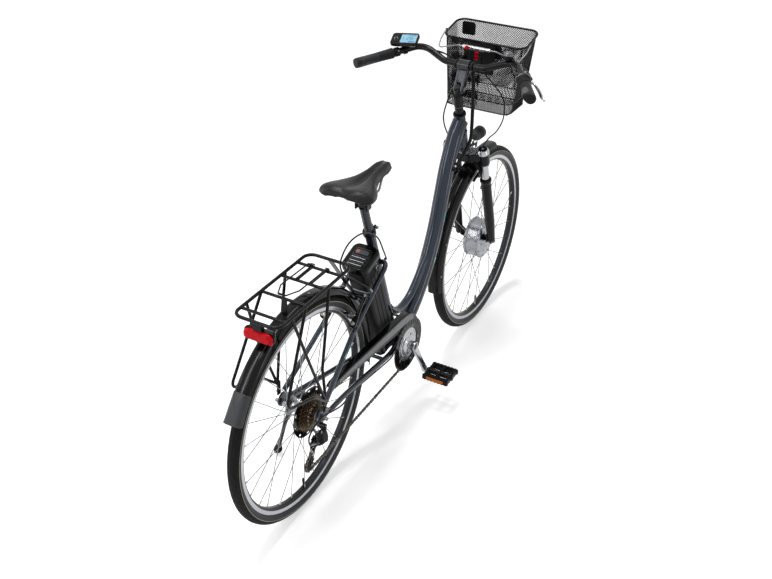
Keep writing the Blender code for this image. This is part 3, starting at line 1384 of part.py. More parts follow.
def handlebar(parent):
    """Bar with both lever brackets and the basket's bracket."""
    route = bar_route()
    middle = len(route) // 2
    tube = bar(route, BAR_RADIUS, BAR_SIDES)
    sleeve = cylinder(across(bar_centre()), BAR_CLAMP_RADIUS, -0.024, 0.024, 10)
    made = [tube, sleeve]
    for side in (1, -1):
        made.extend(lever_bracket(side))
    made.extend(basket_bracket())
    assert (route[middle] - bar_centre()).length < 1e-6
    return piece("handlebar", join(*made), BLACK_PAINT, stem_pivot(), parent)


def lever_bracket(side):
    """Clamp ring and the cheek that holds the lever's pivot."""
    place = grip_frame(side, LEVER_BACK[side])
    ring = cylinder(place, BAR_RADIUS + 0.0045, -0.008, 0.008, 8)
    body = block((0.030, 0.016, 0.018), place @ Matrix.Translation((0.022, 0.0, -0.002)))
    nose = block((0.010, 0.014, 0.034), place @ Matrix.Translation((0.031, 0.0, -0.022)))
    space = lever_space(place)
    return [ring, cut(join(body, nose), space)]


def lever_space(place):
    """Slot for the lever's root, with room for its travel."""
    return block((0.030, 0.0086, 0.060), place @ Matrix.Translation((0.034, 0.0, 0.022)))


def basket_bracket():
    """Block in front of the bar with the plate that the basket's hook hangs on."""
    top = bar_centre()
    arms = []
    for x in (-0.0285, 0.0285):
        arms.append(block((0.007, 0.062, 0.020), Matrix.Translation(top + Vector((x, -0.031, 0.004)))))
    plate = block((0.070, 0.012, 0.056), Matrix.Translation(top + Vector((0.0, -0.066, 0.004))))
    slot = block((0.0106, 0.030, 0.031), Matrix.Translation(top + Vector((0.0, -0.066, 0.017))))
    well = block((0.013 + 2 * CLEARANCE, 0.0085 + 2 * CLEARANCE, 2 * RELEASE_TRAVEL + 0.004),
                 Matrix.Translation(top + Vector((RELEASE_SIDE, -0.066, 0.032))))
    return [*arms, cut(plate, slot, well)]


def grip(name, side, length, start, parent):
    """Rubber grip with a palm rest, closed over the bar's end."""
    place = grip_frame(side, 0.0)
    back = start + length
    stations = []
    for share, wide, rest in ((0.0, 1.0, 0.0), (0.05, 1.06, 0.001), (0.45, 0.98, 0.003),
                              (0.75, 1.0, 0.009), (0.94, 1.02, 0.012), (1.0, 0.86, 0.009)):
        ring = []
        for x, y in circle(GRIP_RADIUS * wide, 10):
            palm = max(0.0, -x / GRIP_RADIUS) ** 2
            ring.append((x - rest * palm, y))
        stations.append((ring, -back + share * (length + 0.004)))
    body = tapered(stations, place)
    bore = snug(BAR_RADIUS, BAR_SIDES)
    hole = cylinder(place, bore, -back - 0.02, CLEARANCE, BAR_SIDES)
    return piece(name, cut(body, hole), RUBBER, place.translation, parent, 50.0)


def lever_shape(side):
    """The blade: from its pivot out past the grip's end, curved back towards the fingers."""
    place = grip_frame(side, LEVER_BACK[side])
    path = [(0.031, 0.0, 0.004), (0.044, 0.0, 0.026), (0.052, 0.0, 0.062), (0.053, 0.0, 0.098),
            (0.060, 0.0, 0.116)]
    rings = []
    widths = (0.0062, 0.008, 0.011, 0.011, 0.012)
    thicknesses = (0.012, 0.008, 0.006, 0.005, 0.008)
    corners = ((1, 0.6), (0.4, 1), (-0.4, 1), (-1, 0.6), (-1, -0.6), (-0.4, -1), (0.4, -1), (1, -0.6))
    for (x, y, z), wide, thick in zip(path, widths, thicknesses):
        rings.append([place @ Vector((x + a * thick / 2, y + b * wide / 2, z)) for a, b in corners])
    return place, loft(rings)


def lever_pivot(side):
    return grip_frame(side, LEVER_BACK[side]) @ Vector((LEVER_PIVOT_OUT, 0.0, 0.001))


def brake_lever(name, side, parent):
    place, blade = lever_shape(side)
    pivot = lever_pivot(side)
    knuckle = cylinder(axes_at(pivot, place.col[1].xyz), 0.0065, -0.0036, 0.0036, 12)
    return piece(name, join(blade, knuckle), SILVER, pivot, parent)


def twist_shifter(parent):
    """Ribbed ring between the lever's clamp and the short grip."""
    place = grip_frame(-1, 0.0)
    start = RIGHT_GRIP_LENGTH + 0.0008
    end = start + SHIFTER_LENGTH
    bore = snug(BAR_RADIUS, 12)
    profile = [(bore, -end), (0.0185, -end), (0.0235, -end + 0.010), (0.0235, -end + 0.026),
               (0.0190, -end + 0.032), (0.0185, -start), (bore, -start)]
    ring = lathe(profile, place, 12)
    return piece("twist_shifter", ring, BLACK_PLASTIC, place @ Vector((0.0, 0.0, -(start + end) / 2)), parent)


def bell(parent):
    """Round bell on a clamp: a black barrel with a silver cap."""
    base = bell_pivot()
    tilt = Vector((0.0, -0.12, 1.0))
    place = axes_at(base, tilt)
    drum = lathe([(0.0, 0.0), (0.014, 0.0), (0.0165, 0.003), (0.0165, 0.016), (0.0150, 0.021),
                  (0.011, 0.0245), (0.0, 0.0255)], place, 14)
    striker = block((0.008, 0.012, 0.006), place @ Matrix.Translation((-0.018, 0.0, 0.006)))
    return piece("bell", join(drum, striker), BLACK_PLASTIC, base, parent)


def bell_pivot():
    first, second = bar_points(-1)[1:3]
    share = (BELL_SIDE - first.x) / (second.x - first.x)
    return first.lerp(second, share) + Vector((0.0, 0.0, BAR_RADIUS + 0.0028))


def display_frame():
    """A frame at the display's centre, with x along the bar, z out of its face."""
    inner, end = bar_points(1)[2:]
    outward = (end - inner).normalized()
    middle = end - outward * (GRIP_LENGTH + 0.052)
    along = Vector((outward.x, outward.y, 0.0)).normalized()
    face = Vector((0.0, 0.42, 1.0))
    lift = middle + Vector((0.004, 0.006, BAR_RADIUS + 0.0215))
    return axes_at(lift, face, Vector((0.9, 0.10, 0.0)) + along * 0.15)


def display(parent):
    """Flat display with a raised bezel, a row of buttons at its left and a clamp round the bar."""
    place = display_frame()
    case = tapered([(oblong(0.086, 0.052, 0.006, 1), -0.008), (oblong(0.092, 0.057, 0.007, 1), -0.003),
                    (oblong(0.092, 0.057, 0.007, 1), 0.006)], place)
    screen = block((0.054, 0.040, 0.004), place @ Matrix.Translation((-0.014, 0.0, 0.0068)))
    well = prism(circle(0.0058, 8, math.pi / 8), place @ Matrix.Translation((0.030, 0.0, 0.0)), 0.002, 0.01)
    ring_place = grip_frame(1, 0.180)
    ring = cylinder(ring_place, BAR_RADIUS + 0.004, -0.006, 0.006, 8)
    post = bar([ring_place.translation + UP * 0.013, place @ Vector((0.0, 0.0, -0.005))], 0.006, 6)
    hole = cylinder(ring_place, snug(BAR_RADIUS, 16), -0.03, 0.03, 16)
    mesh = join(cut(join(ring, post), hole), cut(case, screen, well))
    return piece("display", mesh, BLACK_PLASTIC, place.translation, parent)


def display_button(parent):
    place = display_frame() @ Matrix.Translation((0.030, 0.0, 0.0))
    button = lathe([(0.0, 0.0034), (0.0050, 0.0034), (0.0050, 0.0072), (0.0044, 0.0078), (0.0, 0.0078)],
                   place, 8, math.pi / 8)
    return piece("display_button", button, GREY_PLASTIC, place.translation, parent)


# Basket

def basket_ring(height, grow=0.0):
    """One level of the basket, from 0 at its floor to 1 at its rim, as points round it."""
    centre = bar_centre()
    back = centre + BASKET_BACK[0].lerp(BASKET_BACK[1], height)
    front = centre + BASKET_FRONT[0].lerp(BASKET_FRONT[1], height)
    width = BASKET_BOTTOM_WIDTH + (BASKET_TOP_WIDTH - BASKET_BOTTOM_WIDTH) * height
    place = axes_at((back + front) / 2, LEFT.cross(back - front), LEFT)
    outline = oblong(width + 2 * grow, (front - back).length + 2 * grow, 0.030 + grow, 2)
    return [place @ Vector((x, y, 0.0)) for x, y in outline]


def basket(parent):
    """Open basket with thin walls, a thick rim, a band above the floor and its hook plate."""
    wall = BASKET_WALL
    levels = ((0.0, 0.0), (0.965, 0.0), (0.972, 0.0035), (0.998, 0.0035), (0.998, -wall - 0.0035),
              (0.972, -wall - 0.0035), (0.965, -wall), (0.010, -wall),
              (0.010, -wall - BASKET_FLOOR_MARGIN + 0.002), (0.013, -wall - BASKET_FLOOR_MARGIN))
    shell = loft([basket_ring(height, grow) for height, grow in levels])
    back = basket_back_place()
    plate = block((0.100, 0.008, 0.100), back @ Matrix.Translation((0.0, 0.0035, 0.0)))
    top = bar_centre()
    hook = block((0.0090, 0.076, 0.012), Matrix.Translation(top + Vector((0.0, -0.0985, 0.014))))
    key = block((0.0098, 0.009, 0.028), Matrix.Translation(top + Vector((0.0, -0.0655, 0.018))))
    mesh = join(shell, plate, hook, key)
    return piece("basket", mesh, BLACK_PAINT, top, parent, 50.0)


def basket_back_place():
    """A frame on the back wall's middle, near its top. z runs up the wall and y backwards."""
    centre = bar_centre()
    low, high = BASKET_BACK
    return axes_at(centre + low.lerp(high, 0.76), high - low, LEFT)


def basket_release(parent):
    """Red push button on top of the bracket, which frees the basket's hook."""
    place = Matrix.Translation(bar_centre() + Vector((RELEASE_SIDE, -0.066, 0.0)))
    top = 0.032
    button = block((0.013, 0.0085, 0.010), place @ Matrix.Translation((0.0, 0.0, top + 0.0038)), 0.0010)
    return piece("basket_release", button, RED, place.translation + UP * top, parent)


def bail_pivots():
    """The wire handle's ends, on the basket's rim at either side."""
    rim = bar_centre() + BASKET_BACK[1].lerp(BASKET_FRONT[1], 0.30)
    half = BASKET_TOP_WIDTH / 2 + 0.0035 + BAIL_RADIUS + CLEARANCE
    return [rim + LEFT * (side * half) - UP * 0.003 for side in (1, -1)]


def basket_bail(parent):
    """Wire handle hinged at both sides of the rim, let down towards the rider, with a sleeve."""
    left, right = bail_pivots()
    back = bar_centre() + Vector((0.0, -0.086, 0.032))
    half = []
    for end, side in ((left, 1), (right, -1)):
        corner = Vector((side * 0.146, back.y - 0.012, back.z - 0.026))
        beside = end.lerp(Vector((end.x, corner.y, corner.z)), 0.5)
        half.append([end - Vector((0.0, 0.008, 0.0)), end, beside, corner,
                     Vector((side * 0.070, back.y, back.z))])
    wire = rounded(half[0] + half[1][::-1], [0.01, 0.05, 0.02, 0.03, 0.03, 0.02, 0.05, 0.01], 1)
    handle = bar(wire, BAIL_RADIUS, 5)
    sleeve = cylinder(across(back), 0.0060, -0.050, 0.050, 8)
    return piece("basket_bail", join(handle, sleeve), STEEL, (left + right) / 2, parent)


# Cranks and pedals

def crank_direction(side):
    forward_down = Vector((0.0, -math.cos(CRANK_ANGLE), -math.sin(CRANK_ANGLE)))
    return -forward_down * side


def pedal_axle(side):
    return BRACKET + crank_direction(side) * CRANK_LENGTH + LEFT * (side * CRANK_OUTSIDE)


def crank_arm(side):
    """The arm from the spindle's boss to the pedal's, with the pedal's axle."""
    place = axes_at(BRACKET, LEFT * side, crank_direction(side))
    face = CRANK_OUTSIDE - 0.0005
    thick = 0.0135
    outline = [(0.0, -0.014), (0.030, -0.0125), (CRANK_LENGTH - 0.012, -0.0105), (CRANK_LENGTH, -0.0115),
               (CRANK_LENGTH + 0.009, -0.0075), (CRANK_LENGTH + 0.0125, 0.0), (CRANK_LENGTH + 0.009, 0.0075),
               (CRANK_LENGTH, 0.0115), (CRANK_LENGTH - 0.012, 0.0105), (0.030, 0.0125), (0.0, 0.014)]
    arm = prism(outline, place, face - thick, face)
    boss = cylinder(place, 0.0165, 0.044, face + 0.001, 10)
    pin = cylinder(axes_at(pedal_axle(side), LEFT * side), PEDAL_AXLE_RADIUS, -0.008, PEDAL_LENGTH * 0.9, 8)
    return [arm, boss, pin]


def crank_right(parent):
    """Right arm with the disc that carries the chainring."""
    place = across(BRACKET)
    disc = cylinder(place, DISC_RADIUS, -CHAIN_LINE - 0.0055, -CHAIN_LINE - 0.0012, 18)
    hole = cylinder(place, snug(SPINDLE_RADIUS, 10), -CRANK_OUTSIDE + 0.010, 0.0, 10)
    mesh = cut(join(disc, *crank_arm(-1)), hole)
    return piece("crank_right", mesh, SILVER, BRACKET, parent)


def crank_left(parent):
    """Left arm with the spindle, which reaches into the right arm's boss."""
    spindle = cylinder(across(BRACKET), SPINDLE_RADIUS, -CRANK_OUTSIDE + 0.0105, 0.060, 10)
    return piece("crank_left", join(*crank_arm(1), spindle), SILVER, BRACKET, parent)


def pedal(name, side, parent):
    """Platform pedal with two windows, treads at its ends and reflector seats."""
    centre = pedal_axle(side)
    place = axes_at(centre, UP, LEFT * side)
    start = 0.0050
    middle = start + PEDAL_LENGTH / 2
    outline = [(x + middle, y) for x, y in oblong(PEDAL_LENGTH, PEDAL_WIDTH, 0.012, 1)]
    body = prism(outline, place, -0.0085, 0.0085)
    tube = cylinder(axes_at(centre, LEFT * side), 0.0105, start, start + PEDAL_LENGTH, 6)
    windows = []
    for y in (-0.0245, 0.0245):
        windows.append(block((0.068, 0.020, 0.04), place @ Matrix.Translation((middle, y, 0.0)), 0.0))
    pads = []
    for x in (middle - 0.040, middle + 0.040):
        pads.append(block((0.010, PEDAL_WIDTH - 0.020, 0.024), place @ Matrix.Translation((x, 0.0, 0.0))))
    depth = PEDAL_LENGTH * 0.9 + 0.0008
    hole = cylinder(axes_at(centre, LEFT * side), snug(PEDAL_AXLE_RADIUS, 8), -0.02, depth, 8)
    mesh = cut(join(cut(body, gathered(windows)), tube, *pads), hole)
    return piece(name, mesh, BLACK_PLASTIC, centre, parent)


# Brakes, guard and small fittings

def brake_arm(name, foot, out, up, side, axle_centre, pad_out, parent):
    """One arm of a linear-pull brake on its pin, with the pad along the rim and the pad's stud."""
    place = axes_at(foot, out, LEFT)
    flip = 1 if place.col[1].xyz.dot(up) > 0 else -1
    low, high = ARM_BACK, ARM_BACK + ARM_THICKNESS
    reach = abs(foot.x)

    def spot(inward, rise):
        return (-inward * side, rise * flip)

    outline = [spot(-0.010, -0.006), spot(0.0, -0.011), spot(0.009, -0.006), spot(0.010, 0.020),
               spot(0.0085, 0.055), spot(0.0105, 0.088), spot(0.0105, ARM_HEIGHT), spot(0.001, ARM_HEIGHT),
               spot(-0.0005, 0.060), spot(-0.0065, 0.024)]
    arm = prism(outline, place, low, high)
    hole = cylinder(place, snug(BOSS_PIN_RADIUS, 8), 0.0, 0.06, 8)
    pad_face = RIM_WIDTH / 2 + PAD_GAP
    stud_start = Vector((side * (pad_face + 0.004), 0.0, 0.0))
    level = Vector((0.0, foot.y, foot.z)) + up * PAD_LIFT
    stud_end = Vector((side * (reach - 0.006), 0.0, 0.0))
    middle = (low + high) / 2
    stud = bar([level + out * middle + stud_start, level + out * middle + stud_end], 0.0035, 6)
    pad_centre = level + out * pad_out
    across_rim = (pad_centre - axle_centre).normalized()
    beside_rim = LEFT * (side * (pad_face + 0.0045))
    slab = block((0.052, 0.0085, 0.009), axes_at(pad_centre + beside_rim, across_rim, out))
    screw = cylinder(axes_at(foot, out), 0.0060, high - 0.0010, high + 0.0035, 6)
    plug = cut(join(arm, stud, slab), hole)
    mesh = join(plug, screw)
    return piece(name, mesh, SILVER, foot, parent)


def chain_guard():
    """Cover over the chain's upper run: an outer panel and a lip that bends over the chain."""
    stations = [(-0.004, 0.350, 0.010), (0.012, 0.370, 0.018), (0.034, 0.387, 0.026), (0.062, 0.397, 0.032),
                (0.116, 0.402, 0.034), (0.248, 0.404, 0.029), (0.412, 0.409, 0.022), (0.500, 0.408, 0.017),
                (0.530, 0.400, 0.010)]
    outer, inner, wall = -0.0598, -0.0375, 0.0015
    rings = []
    for y, top, height in stations:
        rings.append([Vector((x, y, z)) for x, z in (
            (outer, top - height), (outer, top - 0.003), (outer + 0.003, top), (inner, top),
            (inner, top - wall), (outer + 0.0035, top - wall), (outer + wall, top - 0.004),
            (outer + wall, top - height))])
    made = [loft(rings)]
    tab_y = on_seat_tube(0.145).y
    tab_z = 0.400
    made.append(block((0.024, 0.014, 0.0025), Matrix.Translation((inner + 0.009, tab_y, tab_z)), 0.0))
    stay = chain_stay_route(-1)[3]
    drop = stay.z + CHAIN_STAY_RADIUS + CLEARANCE
    top = 0.4048
    post = Vector((inner - 0.0005, stay.y, (top + drop) / 2))
    made.append(block((0.0022, 0.014, top - drop), Matrix.Translation(post)))
    space = cylinder(axes_at(on_seat_tube(0.0), SEAT_AXIS), snug(SEAT_TUBE_RADIUS, 14), 0.05, 0.3, 14)
    return piece("chain_guard", cut(join(*made), space), BLACK_PLASTIC)


def kickstand(parent):
    """Side stand on the left chain stay, let down. Its foot is just above the ground."""
    foot = Vector((0.188, 0.468, 0.020))
    knee = KICKSTAND_HINGE + Vector((0.016, -0.002, -0.020))
    shin = (knee + foot) / 2 + Vector((0.004, 0.0, 0.0))
    line = smooth([KICKSTAND_HINGE + KICKSTAND_AXIS * 0.004, knee, shin, foot], 6)
    leg = bar(line, [0.0085, 0.0075, 0.007, 0.0065, 0.0065, 0.0075], 6)
    knuckle = cylinder(axes_at(KICKSTAND_HINGE, KICKSTAND_AXIS), 0.0125, -0.0075, 0.008, 12)
    shoe = tapered([(oblong(0.018, 0.022, 0.005, 1), 0.014), (oblong(0.024, 0.030, 0.006, 1), 0.001),
                    (oblong(0.022, 0.028, 0.006, 1), -0.006)], axes_at(foot, UP, LEFT))
    return piece("kickstand", join(leg, knuckle, shoe), BLACK_PAINT, KICKSTAND_HINGE, parent)


def headlight_pivot():
    return on_steering(0.4185, 0.0815)


def headlight(parent):
    """Lamp barrel with its lens rim and the two ears that hold its pivot."""
    pivot = headlight_pivot()
    place = axes_at(pivot + Vector((0.0, 0.010, 0.030)), Vector((0.0, -1.0, 0.04)), LEFT)
    barrel = lathe([(0.0, 0.0), (0.012, 0.001), (0.0185, 0.008), (0.0215, 0.044), (0.0225, 0.046),
                    (0.0225, 0.054), (0.0190, 0.054), (0.0185, 0.050), (0.0, 0.048)], place, 10)
    ears = []
    for side in (1, -1):
        ear = pivot + Vector((side * 0.0062, 0.0, 0.004))
        ears.append(block((0.0028, 0.015, 0.022), Matrix.Translation(ear)))
    pin = cylinder(across(pivot), 0.002, -0.0075, 0.0075, 8)
    return piece("headlight", join(barrel, *ears, pin), BLACK_PLASTIC, pivot, parent)


def headlight_strap():
    """Strap from the crown's front to the lamp's pivot."""
    pivot = headlight_pivot()
    crown = on_steering((CROWN_TOP + CROWN_BOTTOM) / 2, 0.004)
    elbow = on_steering(0.434, 0.060)
    tip = cylinder(across(pivot), 0.0055, -0.0044, 0.0044, 10)
    rod = bar(rounded([crown, elbow, pivot + (elbow - pivot).normalized() * 0.0038], 0.010, 1), 0.0036, 6)
    hole = cylinder(across(pivot), snug(0.002, 8), -0.02, 0.02, 8)
    return [tip, rod], hole


def front_mudguard(parent):
    start, end = math.radians(-8.0), math.radians(111.0)
    shell = arc_shell(FRONT_AXLE, start, end, 10)
    place = axes_at(on_steering(0.0, LEG_OFFSET + 0.010), STEER_AXIS)
    tab_height = ARCH_HEIGHT - 0.0062 - CLEARANCE - 0.005
    tab = block((0.018, 0.010, 0.010), place @ Matrix.Translation((0.0, 0.0, tab_height)))
    mesh = join(shell, tab)
    return piece("front_mudguard", mesh, BLACK_PAINT, FRONT_AXLE, parent)


# Cables

def cables(steering):
    """Brake and gear cables and the wrapped bundle, along the routes that the scene repeats."""
    black = BLACK_PLASTIC
    over_arms = ARM_HEIGHT + CABLE_RADIUS + CLEARANCE
    arm_top = on_steering(BOSS_RADIUS + over_arms, LEG_OFFSET + ARM_BACK + ARM_THICKNESS / 2)
    left = grip_frame(1, LEVER_BACK[1])
    cable("front_brake_cable", [
        left @ Vector((0.024, 0.0, -0.0405)), left @ Vector((0.027, 0.0, -0.075)), (0.105, -0.470, 1.085),
        (0.060, -0.475, 1.020), (0.082, -0.455, 0.930), (0.092, -0.450, 0.860), (0.076, -0.468, 0.790),
        (0.056, -0.492, 0.752), arm_top + LEFT * 0.045 + UP * 0.004, arm_top + LEFT * 0.020 + UP * 0.0005,
        arm_top - LEFT * 0.044 + UP * 0.0005,
    ], CABLE_RADIUS, 15, black, steering)
    cable("cable_bundle", [
        (-0.018, -0.424, 1.066), (-0.026, -0.417, 1.030), (-0.031, -0.412, 0.985), (-0.033, -0.409, 0.930),
        (-0.034, -0.408, 0.875), (-0.037, -0.395, 0.830), (-0.0335, -0.350, 0.792), (-0.0320, -0.310, 0.772),
    ], 0.0062, 30, black, steering, lambda i: 1.0 if i % 2 else 0.8)
    foot, out, up = rear_boss(-1)
    top = foot + up * over_arms + out * (ARM_BACK + ARM_THICKNESS / 2)
    cable("rear_brake_cable", [
        (-0.0225, 0.150, 0.640), (-0.034, 0.190, 0.690), (-0.052, 0.262, 0.775), (-0.055, 0.345, 0.828),
        (-0.055, 0.425, 0.835), (-0.053, 0.470, 0.795), (-0.050, 0.450, 0.745), (-0.046, 0.395, 0.700),
        top + Vector((-0.014, 0.012, 0.026)), top + Vector((-0.004, 0.002, 0.006)),
        top + Vector((0.008, 0.0, 0.0006)), top + Vector((0.034, 0.0, 0.0002)),
        top + Vector((0.102, 0.0, 0.0002)),
    ], CABLE_RADIUS, 17, black)
    cable("shift_cable", [
        (-0.0265, 0.090, 0.249), (-0.043, 0.150, 0.2655), (-0.0515, 0.270, 0.2880), (-0.0590, 0.400, 0.3100),
        (-0.076, 0.500, 0.327), (-0.089, 0.570, 0.357), (-0.091, 0.640, 0.378), (-0.088, 0.695, 0.355),
        (-0.084, 0.692, 0.315), (-0.083, 0.660, 0.296),
    ], 0.0024, 14, black)


def assemble():
    clear_scene()
    swing, pins, phases = chain_pins()
    main_frame()
    chain_stays()
    seat_stays()
    seat_clamp()
    rear_mudguard()
    rack()
    tail_light()
    battery_dock()
    chain_guard()
    chain(pins)
    derailleur(swing)
    inside = REAR_DROPOUT_WIDTH / 2
    axle("rear_axle", REAR_AXLE, inside, inside + DROPOUT_THICKNESS, 0.0905, 0.0628)

    kickstand(carrier("kickstand_joint", KICKSTAND_HINGE))
    seatpost(carrier("seatpost_joint", on_seat_tube(SEAT_TUBE_LENGTH)))
    saddle_pivot = on_seat_tube(SEAT_TUBE_LENGTH + SEATPOST_OUT + 0.006)
    saddle(carrier("saddle_joint", saddle_pivot), saddle_pivot)
    battery_base = on_seat_tube(BATTERY_BOTTOM, BATTERY_GAP + BATTERY_DEPTH / 2)
    battery = carrier("battery_joint", battery_base)
    battery_case(battery, battery_base)
    lock = lock_place()
    key_lock(carrier("key_lock_joint", lock, battery), lock)
    clamp = Vector((0.0, RACK_BARS[0], RACK_HEIGHT + 0.0046))
    rack_clamp(carrier("rack_clamp_joint", clamp), clamp)
    for name, side in (("left", 1), ("right", -1)):
        foot, out, up = rear_boss(side)
        brake_arm("rear_brake_arm_" + name, foot, out, up, side, REAR_AXLE, 0.012,
                  carrier("rear_brake_joint_" + name, foot))

    rear = carrier("rear_wheel_joint", REAR_AXLE)
    tyre("rear_tyre", REAR_AXLE, rear)
    rim("rear_rim", REAR_AXLE, rear)
    rear_hub(REAR_AXLE, rear)
    sprockets(phases[3], carrier("freewheel_joint", REAR_AXLE))
    tension = tension_pulley(swing)
    guide = carrier("upper_pulley_joint", GUIDE_PULLEY - LEFT * CHAIN_LINE)
    pulley("jockey_upper", GUIDE_PULLEY, phases[2], guide)
    pulley("jockey_lower", tension, phases[1], carrier("lower_pulley_joint", tension - LEFT * CHAIN_LINE))
    crank = carrier("crank_joint", BRACKET)
    crank_right(crank)
    crank_left(crank)
    chainring(phases[0], crank)
    pedal("pedal_right", -1, carrier("pedal_joint_right", pedal_axle(-1), crank))
    pedal("pedal_left", 1, carrier("pedal_joint_left", pedal_axle(1), crank))

    steering = carrier("steering_joint", on_steering(HEAD_TUBE_BOTTOM))
    fork_crown(steering)
    headlight(carrier("headlight_joint", headlight_pivot(), steering))
    travel = carrier("suspension_joint", on_steering(LOWER_TOP), steering)
    fork_lowers(travel)
    front_mudguard(travel)
    inside = FRONT_DROPOUT_WIDTH / 2
    axle("front_axle", FRONT_AXLE, inside, inside + DROPOUT_THICKNESS, 0.068, 0.0428, travel)
    front = carrier("front_wheel_joint", FRONT_AXLE, travel)
    tyre("front_tyre", FRONT_AXLE, front)
    rim("front_rim", FRONT_AXLE, front)
    front_hub(FRONT_AXLE, front)
    for name, side in (("left", 1), ("right", -1)):
        foot = front_boss(side).translation
        brake_arm("front_brake_arm_" + name, foot, STEER_AHEAD, STEER_AXIS, side, FRONT_AXLE, 0.021,
                  carrier("front_brake_joint_" + name, foot, travel))

    height = carrier("stem_height_joint", on_steering(COLLAR_TOP), steering)
    stem_post(height)
    cockpit = carrier("stem_angle_joint", stem_pivot(), height)
    stem_arm(cockpit)
    handlebar(cockpit)
    grip("grip_left", 1, GRIP_LENGTH, 0.0, cockpit)
    grip("grip_right", -1, RIGHT_GRIP_LENGTH, 0.0, cockpit)
    brake_lever("brake_lever_left", 1, carrier("lever_joint_left", lever_pivot(1), cockpit))
    brake_lever("brake_lever_right", -1, carrier("lever_joint_right", lever_pivot(-1), cockpit))
    twist_shifter(carrier("shifter_joint", grip_frame(-1, 0.0) @ Vector((0.0, 0.0, -0.115)), cockpit))
    bell(carrier("bell_joint", bell_pivot(), cockpit))
    display(cockpit)
    display_button(carrier("button_joint", display_frame() @ Vector((0.030, 0.0, 0.0)), cockpit))
    hung = carrier("basket_joint", bar_centre(), cockpit)
    basket(hung)
    basket_bail(carrier("bail_joint", (bail_pivots()[0] + bail_pivots()[1]) / 2, hung))
    basket_release(carrier("release_joint", bar_centre() + Vector((RELEASE_SIDE, -0.066, 0.032)), cockpit))
    cables(steering)


assemble()
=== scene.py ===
"""Finishes, fine forms, light and camera for the electric city bicycle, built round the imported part.

Metres, +Z up, the front wheel towards -Y and the drive side towards -X. The sizes and routes at the
top repeat the part's own, so that every piece lies where its solid is.
"""

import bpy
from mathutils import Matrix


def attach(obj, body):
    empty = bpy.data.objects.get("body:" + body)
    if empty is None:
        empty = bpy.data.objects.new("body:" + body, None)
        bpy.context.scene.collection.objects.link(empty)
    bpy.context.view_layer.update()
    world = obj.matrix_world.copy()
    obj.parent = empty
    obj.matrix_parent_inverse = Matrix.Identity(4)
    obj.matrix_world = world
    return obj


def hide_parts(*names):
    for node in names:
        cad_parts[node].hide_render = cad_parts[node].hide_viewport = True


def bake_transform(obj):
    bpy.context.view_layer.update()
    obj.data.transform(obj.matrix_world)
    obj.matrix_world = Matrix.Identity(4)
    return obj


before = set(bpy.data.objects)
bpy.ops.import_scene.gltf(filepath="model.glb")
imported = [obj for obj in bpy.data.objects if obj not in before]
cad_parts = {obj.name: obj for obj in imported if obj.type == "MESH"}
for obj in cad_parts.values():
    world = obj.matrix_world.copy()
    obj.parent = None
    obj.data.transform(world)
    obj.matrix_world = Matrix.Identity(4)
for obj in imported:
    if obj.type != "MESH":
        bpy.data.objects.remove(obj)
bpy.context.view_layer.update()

import math

import bmesh
import bpy
from mathutils import Matrix, Vector, noise
from mathutils.bvhtree import BVHTree

LEFT, UP = Vector((1.0, 0.0, 0.0)), Vector((0.0, 0.0, 1.0))
HEAD_ANGLE, SEAT_ANGLE = math.radians(72.0), math.radians(70.6)
WHEEL_RADIUS = 0.349
REAR_AXLE = Vector((0.0, 0.605, WHEEL_RADIUS))
FRONT_AXLE = Vector((0.0, -0.605, WHEEL_RADIUS))
BRACKET = Vector((0.0, 0.045, 0.267))
STEER_AXIS = Vector((0.0, math.cos(HEAD_ANGLE), math.sin(HEAD_ANGLE)))
STEER_AHEAD = Vector((0.0, -math.sin(HEAD_ANGLE), math.cos(HEAD_ANGLE)))
SEAT_AXIS = Vector((0.0, math.cos(SEAT_ANGLE), math.sin(SEAT_ANGLE)))
SEAT_BEHIND = Vector((0.0, math.sin(SEAT_ANGLE), -math.cos(SEAT_ANGLE)))
KICKSTAND_HINGE = Vector((0.082, 0.500, 0.302))
KICKSTAND_AXIS = Vector((1.0, 0.12, 0.116)).normalized()
PITCH, CHAIN_LINE = 0.0127, 0.0475
CASSETTE = (28, 24, 22, 20, 18, 16, 14)
GUIDE_PULLEY = Vector((0.0, 0.612, 0.257))
CAGE = 0.074
CRANK_LENGTH, CRANK_OUTSIDE, CRANK_ANGLE = 0.17, 0.082, math.radians(59.0)
SEAT_TUBE = 0.527
LEG_SPREAD, LEG_OFFSET = 0.065, 0.016
CROWN_BOTTOM, CROWN_TOP = 0.4275, 0.4565
ARM_BACK, ARM_THICK, ARM_HEIGHT = 0.021, 0.009, 0.104
GUARD_RADIUS = 0.371
RACK_BARS = (0.494, 0.576, 0.673, 0.768)
BAR_RADIUS = 0.0111
LEVER_BACK = {1: 0.150, -1: 0.155}
BATTERY_GAP, BATTERY_HALF, BATTERY_DEPTH = 0.026, 0.0345, 0.088
CABLE = 0.0025


# Places and paths, as in the part

def axes_at(point, z_axis, x_axis=LEFT):
    z = Vector(z_axis).normalized()
    x = Vector(x_axis) if Vector(x_axis).cross(z).length > 0.01 else UP
    x = (x - z * x.dot(z)).normalized()
    return Matrix.Translation(Vector(point)) @ Matrix((x, z.cross(x), z)).transposed().to_4x4()


def across(point):
    """A frame at point whose z runs along the axles."""
    return axes_at(point, LEFT, UP)


def at(*point):
    """A move by x, y and z."""
    return Matrix.Translation(Vector(point))


def on_steering(along, ahead=0.0, side=0.0):
    """A point on the steering axis, moved ahead and sideways."""
    foot = FRONT_AXLE - STEER_AHEAD * 0.037
    return foot + STEER_AXIS * along + STEER_AHEAD * ahead + LEFT * side


def on_seat_tube(along, behind=0.0, side=0.0):
    return BRACKET + SEAT_AXIS * along + SEAT_BEHIND * behind + LEFT * side


